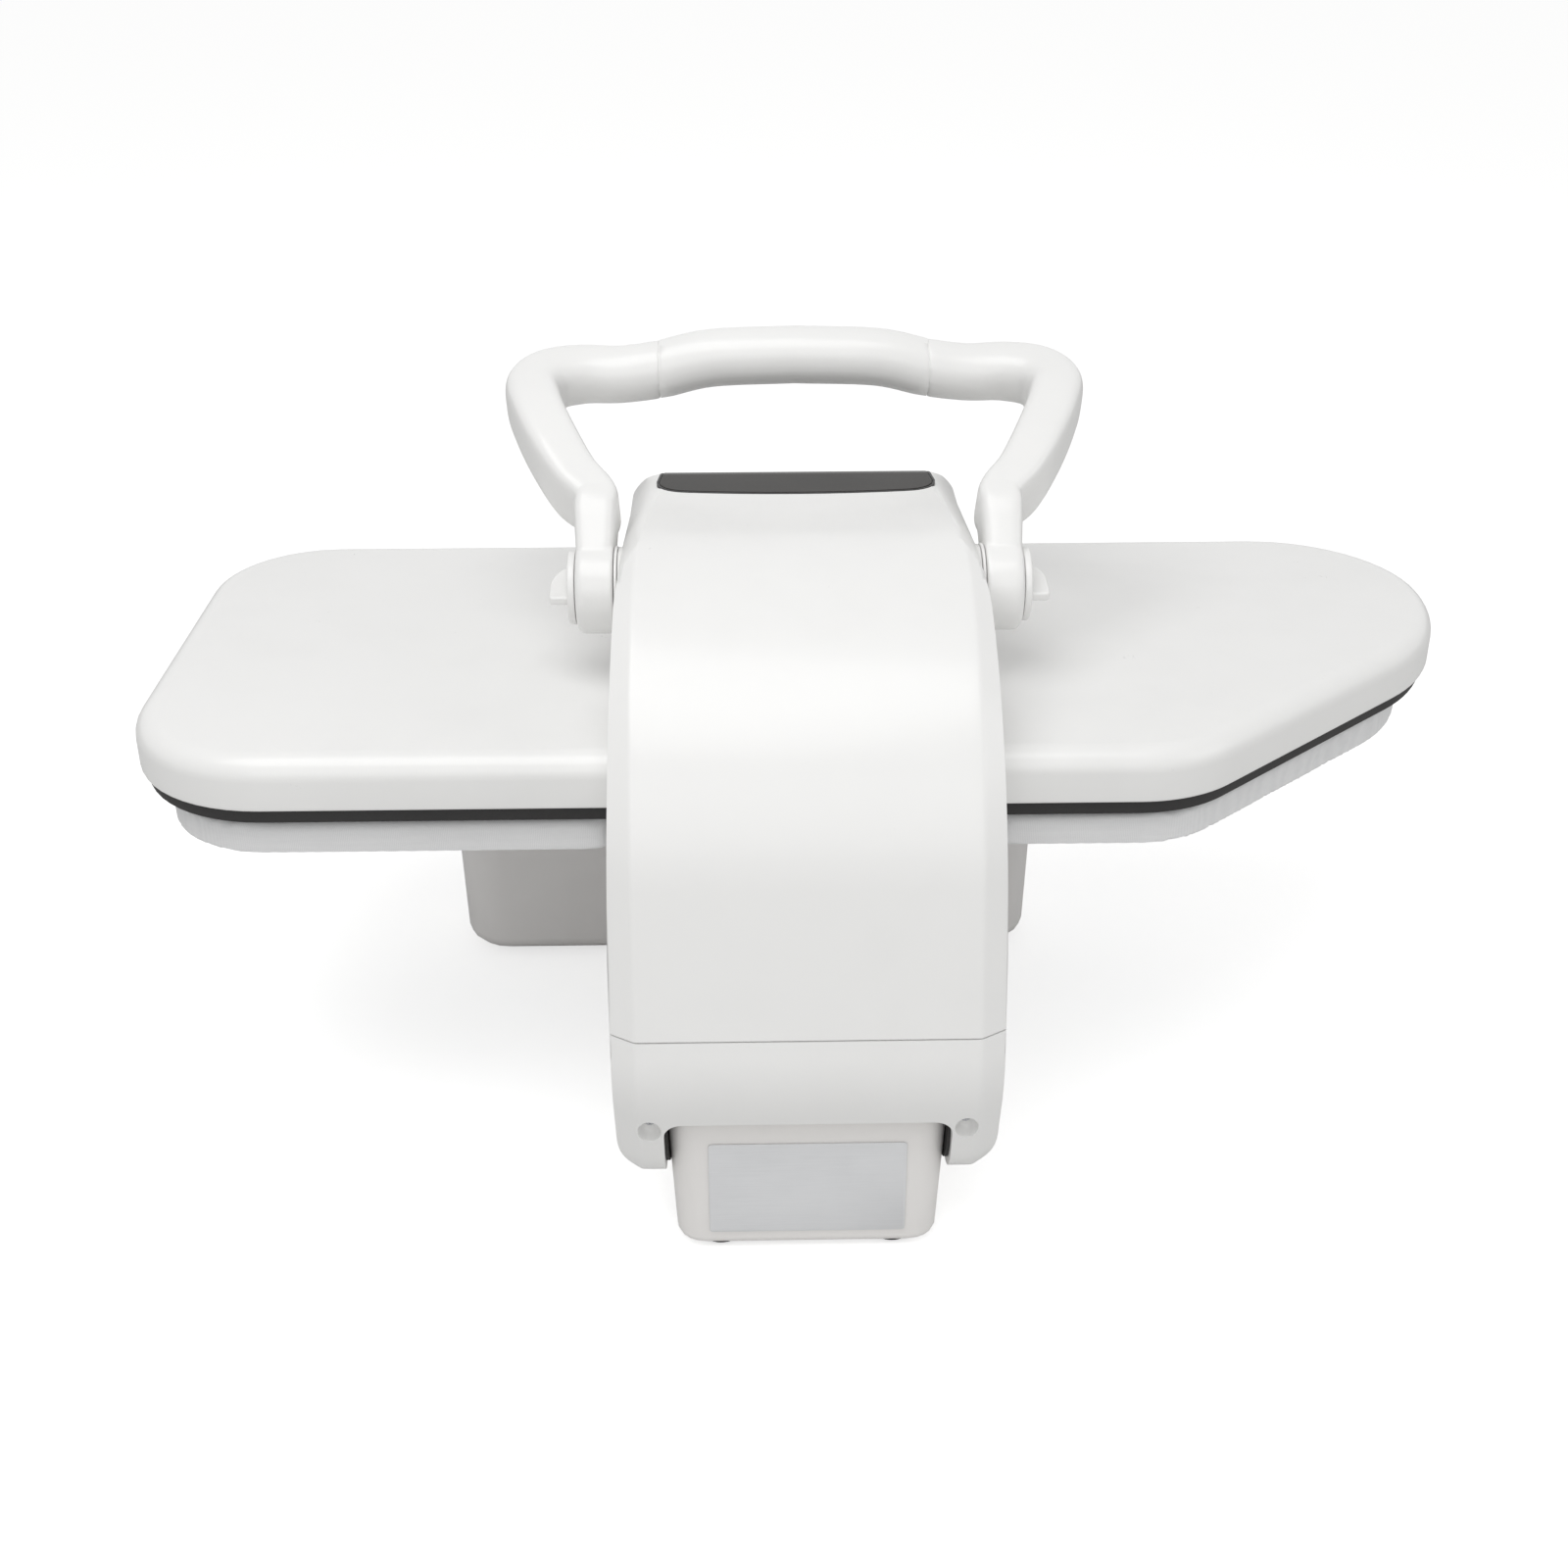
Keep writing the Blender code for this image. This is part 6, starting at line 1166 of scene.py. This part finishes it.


# Base moulding, its bare plate, its feet, and the dark discs of painted shade at the hinge
basePlan = {
    "edge": 0.0007, "plateLow": 0.0110, "plateHigh": 0.0615, "plateHalf": 0.0445, "plateThickness": 0.0004,
    "plateCorner": 0.0016, "rearY": 0.065, "rearDraft": 0.0015, "sole": 0.0022, "hingeZ": 0.064,
    "footRadius": 0.010, "shadeDiscRadius": 0.0222, "shadeDiscGap": 0.0002, "neckFlank": 0.06265, "neckDraft": 0.055,
    "footRound": ((0.30, 0.0), (0.70, 0.0), (0.82, 0.0001), (0.93, 0.0004), (0.99, 0.0009), (1.0, 0.0014)),
    "footPlaces": {"rear_left": (0.0395, 0.050), "rear_right": (-0.0395, 0.050),
                   "front_left": (0.1582, -0.217), "front_right": (-0.1036, -0.217)},
}


def makeHingeShadeDiscs():
    # dark discs between the pedestal's neck and the arm's legs, set on the neck's slanting flanks: painted
    # shade that stands in for the shadow in the gap beside each leg
    b, a = basePlan, armPlan
    high = a["legInner"] - b["shadeDiscGap"]
    for word, side in (("Left", 1.0), ("Right", -1.0)):
        rings = []
        for share in (1.0, 0.0):
            ring = []
            for y, z in arcPoints((a["hingeY"], a["hingeZ"]), b["shadeDiscRadius"], 0.0, 360.0, 72)[:-1]:
                flank = b["neckFlank"] - b["neckDraft"] * max(a["hingeZ"] - z, 0.0) + b["shadeDiscGap"]
                ring.append(Vector((side * (flank * share + high * (1.0 - share)), y, z)))
            rings.append(ring)
        shadeDisc = shadeSmooth(ringSolid("hingeShim" + word, rings), 40.0)
        # black discs: painted shade filling the hinge gap
        addPiece(shadeDisc, "base", "blackRubber", "black_rubber")


def makeBase():
    b = basePlan
    housing = cadCopy("baseHousing", "base_housing")
    softenEdges(housing, b["edge"], 40.0, 3)
    shadeSmooth(housing, 34.0)
    weighNormals(housing)
    addPiece(housing, "base", "baseMoulding", "base_moulding", "base_housing", inMachine=False)

    half, low, high = b["plateHalf"], b["plateLow"], b["plateHigh"]
    corner = b["plateCorner"]
    outline = roundCorners([(-half, low, corner), (half, low, corner),
                            (half, high, corner), (-half, high, corner)], 6)
    lean = b["rearDraft"] / (b["hingeZ"] - b["sole"])
    rings = []
    for inset, lift in ((0.0, 0.0), (0.0, 0.0003), (0.00012, b["plateThickness"])):
        rings.append([Vector((x, b["rearY"] - lean * (b["hingeZ"] - z) + fit + lift, z))
                      for x, z in inwards(outline, inset)])
    plate = shadeSmooth(ringSolid("barePlate", rings), 40.0)
    addPiece(plate, "base", "labelFilm", "label_silver", "rating_plate")

    radius, top = b["footRadius"], b["sole"] - fit
    profile = [(radius * share, z) for share, z in b["footRound"]] + [(radius, top)]
    for name, spot in b["footPlaces"].items():
        foot = lathe("foot" + name.title().replace("_", ""), "Z", spot, profile, 48)
        shadeSmooth(foot, 50.0)
        addPiece(foot, "base", "blackRubber", "black_rubber", "foot_" + name)


makeBase()
makeHingeShadeDiscs()
print("base, plate and feet made")


# Cross-head screws at the bottom of their recesses
screwPlan = {
    "radius": 0.0024, "shank": 0.0014, "shankEnd": 0.059, "height": 0.0012, "edge": 0.0003,
    "slotWidth": 0.0006, "slotLength": 0.0030, "slotDepth": 0.0008,
}


def makeScrews():
    s, a = screwPlan, armPlan
    floor = a["recessFloor"] + fit
    for word, side in (("left", 1.0), ("right", -1.0)):
        x, z = side * a["screwX"], a["screwZ"]
        radius, edge = s["radius"], s["edge"]
        profile = [(s["shank"], s["shankEnd"]), (s["shank"], floor), (radius - 0.0002, floor),
                   (radius, floor + edge)]
        for step in range(1, 7):
            turn = math.radians(15.0 * step)
            rise = (s["height"] - edge) * math.sin(turn)
            profile.append((max(radius * math.cos(turn), edge), floor + edge + rise))
        screw = lathe("coverScrew" + word.title(), "Y", (x, z), profile, 40)
        top = floor + s["height"]
        root = top - s["slotDepth"]
        reach, half = s["slotLength"] / 2, s["slotWidth"] / 2
        level = brick("slot", (x - reach, root, z - half), (x + reach, top + 0.002, z + half))
        upright = brick("slot", (x - half, root, z - reach), (x + half, top + 0.002, z + reach))
        carve(screw, "DIFFERENCE", level, upright)
        shadeSmooth(screw, 35.0)
        addPiece(screw, "arm", "zincSteel", "zinc_steel", "cover_screw_" + word)


makeScrews()


def startTree(name, sockets):
    tree = bpy.data.node_groups.new(name, "GeometryNodeTree")
    ids = {}
    for socket, kind in sockets.items():
        made = tree.interface.new_socket(socket, in_out="INPUT", socket_type="NodeSocket" + kind)
        ids[socket] = made.identifier
    tree.interface.new_socket("Geometry", in_out="OUTPUT", socket_type="NodeSocketGeometry")
    return tree, ids


# Geometry Nodes tree: a rounded bead repeated along the edges of a path
def beadTree():
    tree, ids = startTree("beadsAlongPath", {
        "Geometry": "Geometry", "Spacing": "Float", "Bead Size": "Vector", "Lean": "Float", "Seed": "Int",
        "Finish": "Material"})
    add = tree.nodes.new
    start, end = add("NodeGroupInput"), add("NodeGroupOutput")
    path, evenly = add("GeometryNodeMeshToCurve"), add("GeometryNodeResampleCurve")
    evenly.mode = "LENGTH"
    tangent, keep = add("GeometryNodeInputTangent"), add("GeometryNodeCaptureAttribute")
    keep.capture_items.new("VECTOR", "Tangent")
    bead, shape = add("GeometryNodeMeshUVSphere"), add("GeometryNodeTransform")
    bead.inputs["Segments"].default_value = 8
    bead.inputs["Rings"].default_value = 6
    bead.inputs["Radius"].default_value = 1.0
    turn, lean = add("FunctionNodeAlignRotationToVector"), add("GeometryNodeRotateInstances")
    turn.axis = "X"
    chance = add("FunctionNodeRandomValue")
    chance.data_type = "FLOAT"
    put, real = add("GeometryNodeInstanceOnPoints"), add("GeometryNodeRealizeInstances")
    coat, spin = add("GeometryNodeSetMaterial"), add("ShaderNodeCombineXYZ")
    link = tree.links.new
    link(start.outputs["Geometry"], path.inputs[0])
    link(path.outputs[0], evenly.inputs["Curve"])
    link(start.outputs["Spacing"], evenly.inputs["Length"])
    link(evenly.outputs[0], keep.inputs["Geometry"])
    link(tangent.outputs[0], keep.inputs["Tangent"])
    link(keep.outputs["Tangent"], turn.inputs["Vector"])
    link(bead.outputs["Mesh"], shape.inputs["Geometry"])
    link(start.outputs["Bead Size"], shape.inputs["Scale"])
    link(keep.outputs["Geometry"], put.inputs["Points"])
    link(shape.outputs[0], put.inputs["Instance"])
    link(turn.outputs[0], put.inputs["Rotation"])
    link(put.outputs[0], lean.inputs["Instances"])
    link(start.outputs["Seed"], chance.inputs["Seed"])
    chance.inputs[2].default_value = -0.06                # radians by which stitches differ
    chance.inputs[3].default_value = 0.06
    tilt = add("ShaderNodeMath")
    link(chance.outputs[1], tilt.inputs[0])
    link(start.outputs["Lean"], tilt.inputs[1])
    link(tilt.outputs[0], spin.inputs["Z"])
    link(spin.outputs[0], lean.inputs["Rotation"])
    link(lean.outputs[0], real.inputs[0])
    link(real.outputs[0], coat.inputs["Geometry"])
    link(start.outputs["Finish"], coat.inputs["Material"])
    link(coat.outputs[0], end.inputs[0])
    return tree, ids


# Geometry Nodes tree: a countersunk ring set on every point
def ringTree():
    tree, ids = startTree("ringsOnPoints", {"Geometry": "Geometry", "Ring Radius": "Float",
                                            "Ring Thickness": "Float", "Finish": "Material"})
    add = tree.nodes.new
    start, end = add("NodeGroupInput"), add("NodeGroupOutput")
    loop, section = add("GeometryNodeCurvePrimitiveCircle"), add("GeometryNodeCurvePrimitiveCircle")
    sweep = add("GeometryNodeCurveToMesh")
    loop.inputs["Resolution"].default_value = 28
    section.inputs["Resolution"].default_value = 8
    put, real = add("GeometryNodeInstanceOnPoints"), add("GeometryNodeRealizeInstances")
    coat = add("GeometryNodeSetMaterial")
    link = tree.links.new
    link(start.outputs["Ring Radius"], loop.inputs["Radius"])
    link(start.outputs["Ring Thickness"], section.inputs["Radius"])
    link(loop.outputs[0], sweep.inputs["Curve"])
    link(section.outputs[0], sweep.inputs["Profile Curve"])
    link(start.outputs["Geometry"], put.inputs["Points"])
    link(sweep.outputs[0], put.inputs["Instance"])
    link(put.outputs[0], real.inputs[0])
    link(real.outputs[0], coat.inputs["Geometry"])
    link(start.outputs["Finish"], coat.inputs["Material"])
    link(coat.outputs[0], end.inputs[0])
    return tree, ids


def grow(name, points, edges, made, values):
    # runs a tree on a bare path or cloud of points and leaves a plain mesh
    tree, ids = made
    mesh = bpy.data.meshes.new(name)
    mesh.from_pydata([tuple(p) for p in points], edges, [])
    ob = bpy.data.objects.new(name, mesh)
    bpy.context.scene.collection.objects.link(ob)
    step = ob.modifiers.new("grow", "NODES")
    step.node_group = tree
    for key, value in values.items():
        step[ids[key]] = value
    settle(ob)
    shadeSmooth(ob, 60.0)
    return ob


beads, rings = beadTree(), ringTree()


# Board: a fabric cover over foam, drawn tight round a steel pan
padPlan = {
    "rear": 0.008, "square": 0.0135, "nose": 0.0152,
    "notchHalf": 0.0880, "notchDepth": 0.031, "notchRadius": 0.006,
    "low": 0.1701, "top": 0.18895, "startInset": 0.0012, "startTop": 0.1881, "startRound": 0.0022,
    "footRound": 0.002, "footInset": 0.004, "heldHeight": 0.0035,
    "rimHeight": 0.0032, "rimWidth": 0.0092, "rimSlope": 0.0026, "recessTop": 0.1742,
    "wallInset": 0.0004, "wallFull": 0.0030, "wallFade": 0.0048, "edgeRound": 0.0016,
    "voxel": 0.004, "frames": 20, "pressure": 4.0, "swell": 0.0011, "sampleSpacing": 0.001,
    "pleatDepth": 0.00045, "pleatSpacing": 0.0085, "hemInset": 0.0058, "hemRoll": 0.0004,
    "stitchPath": 0.004, "stitchSpacing": 0.0034, "stitchSize": (0.00125, 0.00032, 0.00026),
    "stitchLean": 0.12, "stitchSeed": 4,
}


def boardOutline(extra, steps=12):
    b, h = padPlan, headPlan
    rear, square = b["rear"], b["square"]
    angle = math.radians(h["diagonalAngle"])
    right, near = h["squareReach"] - square, -(h["depth"] - rear)
    left = -(h["noseReach"] - b["nose"])
    bendX = -h["diagonalStart"] + rear * math.tan(angle / 2)
    drop = ((left + h["diagonalStart"]) * math.sin(angle) - rear) / math.cos(angle)
    half, slot, small = b["notchHalf"], -b["notchDepth"], b["notchRadius"]
    corners = [(right, -rear, h["squareRear"] - square), (half, -rear, small), (half, slot, small),
               (-half, slot, small), (-half, -rear, small), (bendX, -rear, h["diagonal"] - rear),
               (left, drop, h["noseRear"] - rear), (left, near, h["noseFront"] - rear),
               (right, near, h["squareFront"] - square)]
    return inwards(roundCorners(corners, steps), extra)


def evenSteps(outline, spacing):
    # points at an even spacing along a closed outline
    loop = [Vector(point) for point in outline] + [Vector(outline[0])]
    spans = [(b - a).length for a, b in zip(loop, loop[1:])]
    count = round(sum(spans) / spacing)
    step = sum(spans) / count
    points, gone, target = [], 0.0, 0.0
    for a, b, span in zip(loop, loop[1:], spans):
        while target < gone + span - 1e-9 and len(points) < count:
            points.append(a.lerp(b, (target - gone) / span))
            target += step
        gone += span
    return points, step


def swellPad(pad, look):
    # air pressure fills the cover; the underside is held by the pan
    start = [vertex.co.copy() for vertex in pad.data.vertices]
    held = pad.vertex_groups.new(name="heldByPan")
    low = look["low"] + look["heldHeight"]
    held.add([i for i, point in enumerate(start) if point.z < low], 1.0, "REPLACE")
    step = pad.modifiers.new("swell", "CLOTH")
    step.settings.quality = 4
    step.settings.mass = 0.3
    step.settings.use_pressure = True
    step.settings.uniform_pressure_force = look["pressure"]
    step.settings.vertex_group_mass = "heldByPan"
    step.settings.effector_weights.gravity = 0.0
    step.collision_settings.use_collision = False
    step.point_cache.frame_start = 1
    step.point_cache.frame_end = look["frames"]
    scene = bpy.context.scene
    for frameNumber in range(1, look["frames"] + 1):
        scene.frame_set(frameNumber)
    settle(pad)
    scene.frame_set(1)
    for vertex, first in zip(pad.data.vertices, start):
        shift = vertex.co - first
        if shift.length > look["swell"]:
            shift *= look["swell"] / shift.length
        vertex.co = first + shift
    pad.vertex_groups.clear()


def blankPad():
    # the foam before it is filled: a slab with a small foot radius and a rounded top edge
    b = padPlan
    inset, foot, bend = b["startInset"], b["footRound"], b["startRound"]
    levels = [(inset + b["footInset"], b["low"])]
    for step in range(1, 5):
        turn = math.radians(22.5 * step)
        levels.append((inset + foot * (1.0 - math.sin(turn)), b["low"] + foot * (1.0 - math.cos(turn))))
    for step in range(5):
        turn = math.radians(22.5 * step)
        levels.append((inset + bend * (1.0 - math.cos(turn)), b["startTop"] - bend * (1.0 - math.sin(turn))))
    return ringSolid("boardPad", [layOut(boardOutline(inset), "Z", z) for inset, z in levels])


def limitShare(value):
    return max(0.0, min(1.0, value))


def squareWall(point, edge, deep):
    # stands the pad's side upright, with a tight edge above and below
    b = padPlan
    level = min(point.z - b["low"], b["top"] - point.z)
    bend = b["edgeRound"]
    wanted = b["wallInset"]
    if level < bend:
        wanted += bend - math.sqrt(max(bend * bend - (bend - level) ** 2, 0.0))
    share = min(1.0, (b["wallFade"] - deep) / (b["wallFade"] - b["wallFull"]))
    move = (wanted - deep) / deep * share
    point.x += (point.x - edge.x) * move
    point.y += (point.y - edge.y) * move


def gatherHem(point, along, deep):
    # a gathered rim round the hollow in which the pan lies
    b = padPlan
    hollow = limitShare((deep - b["rimWidth"]) / b["rimSlope"])
    hollow = hollow * hollow * (3.0 - 2.0 * hollow)
    wave = 0.5 + 0.5 * math.sin(math.tau * along / b["pleatSpacing"] + 1.3 * math.sin(along * 61.0))
    share = limitShare((deep - 0.0022) / 0.003)
    roll = math.exp(-((deep - b["hemInset"] - 0.0022) / 0.0012) ** 2)
    point.z += b["pleatDepth"] * wave * share - b["hemRoll"] * roll * share + 0.0003
    point.z = max(point.z, b["low"]) * (1.0 - hollow) + b["recessTop"] * hollow


def makePad():
    b = padPlan
    pad = blankPad()
    step = pad.modifiers.new("melt", "REMESH")
    step.mode = "VOXEL"
    step.voxel_size = b["voxel"]
    settle(pad)
    swellPad(pad, b)
    step = pad.modifiers.new("finer", "SUBSURF")
    step.levels = step.render_levels = 1
    settle(pad)

    samples, pitch = evenSteps(boardOutline(0.0), b["sampleSpacing"])
    tree = kdtree.KDTree(len(samples))
    for i, point in enumerate(samples):
        tree.insert((point.x, point.y, 0.0), i)
    tree.balance()
    for vertex in pad.data.vertices:
        point = vertex.co
        point.z = min(point.z, b["top"])
        edge, index, deep = tree.find((point.x, point.y, 0.0))
        if 0.00005 < deep < b["wallFade"]:
            squareWall(point, edge, deep)
        if point.z <= b["low"] + b["rimHeight"]:
            gatherHem(point, index * pitch, deep)
    shadeSmooth(pad, 60.0)
    addPiece(pad, "base", "boardFabric", "board_fabric", "board_cover", "board_foam")
    print("board pad:", len(pad.data.polygons), "faces")


def makeHem():
    b = padPlan
    path, _ = evenSteps(boardOutline(b["hemInset"]), b["stitchPath"])
    points = [(point.x, point.y, b["low"] + 0.0002) for point in path]
    edges = [(i, (i + 1) % len(points)) for i in range(len(points))]
    stitches = grow("hemStitches", points, edges, beads,
                    {"Spacing": b["stitchSpacing"], "Bead Size": b["stitchSize"], "Lean": b["stitchLean"],
                     "Seed": b["stitchSeed"], "Finish": Finish.made["threadLight"]})
    addPiece(stitches, "base", "threadLight", "board_fabric")


makePad()
makeHem()


# Needled felt above the hot plate: hidden, so a light pass of lumps is enough
feltPlan = {"voxel": 0.0035, "inset": 0.00035, "lumps": 0.0003, "coarse": 90.0, "fine": 260.0}


def makeFelt():
    f = feltPlan
    felt = cadCopy("insulationFelt", "insulation_felt")
    step = felt.modifiers.new("melt", "REMESH")
    step.mode = "VOXEL"
    step.voxel_size = f["voxel"]
    settle(felt)
    facing = [vertex.normal.copy() for vertex in felt.data.vertices]
    for vertex, normal in zip(felt.data.vertices, facing):
        lumps = noise.noise(vertex.co * f["coarse"]) * 0.6 + noise.noise(vertex.co * f["fine"]) * 0.4
        vertex.co -= normal * (f["inset"] + f["lumps"] * lumps)
    shadeSmooth(felt, 60.0)
    addPiece(felt, "arm", "needledFelt", "insulation_felt", "insulation_felt", inMachine=False)


makeFelt()
print("soft pieces made")


# Sole plate with a drawn rim round each steam vent
solePlan = {
    "columns": (0.66, 0.30, -0.06, -0.42), "rows": (0.36, 0.54, 0.72), "low": 0.1893,
    "ventRadius": 0.0026, "rimThickness": 0.0002, "edge": 0.0005,
}


def makeSole():
    s, h = solePlan, headPlan
    sole = cadCopy("solePlate", "heating_plate")
    softenEdges(sole, s["edge"], 50.0, 2)
    shadeSmooth(sole, 34.0)
    weighNormals(sole)
    addPiece(sole, "arm", "castAluminium", "cast_aluminium", "heating_plate", inMachine=False)
    spots = []
    for column in s["columns"]:
        reach = h["squareReach"] if column > 0 else h["noseReach"]
        spots += [(reach * column, -h["depth"] * row, s["low"]) for row in s["rows"]]
    vents = grow("steamVents", spots, [], rings,
                 {"Ring Radius": s["ventRadius"], "Ring Thickness": s["rimThickness"],
                  "Finish": Finish.made["castAluminium"]})
    addPiece(vents, "arm", "castAluminium", "cast_aluminium")


makeSole()


# Water tank, its lid and cap, and the power inlet: CAD shapes with moulded edges
mouldedCopies = {
    # piece: node, body, slot, edge radius
    "waterTank": ("water_tank", "tank", "tank_plastic", 0.0006),
    "tankLid": ("tank_lid", "tank", "tank_plastic", 0.0003),
    "tankCap": ("tank_cap", "cap", "black_rubber", 0.0004),
    "powerInlet": ("power_inlet", "base", "black_plastic", 0.0004),
}


def makeCopies():
    for name, (node, body, slot, edge) in mouldedCopies.items():
        piece = cadCopy(name, node)
        softenEdges(piece, edge, 50.0, 2)
        shadeSmooth(piece, 34.0)
        weighNormals(piece)
        addPiece(piece, body, slotFinishes[slot], slot, node, inMachine=False)


makeCopies()
print("sole plate, tank and inlet made")
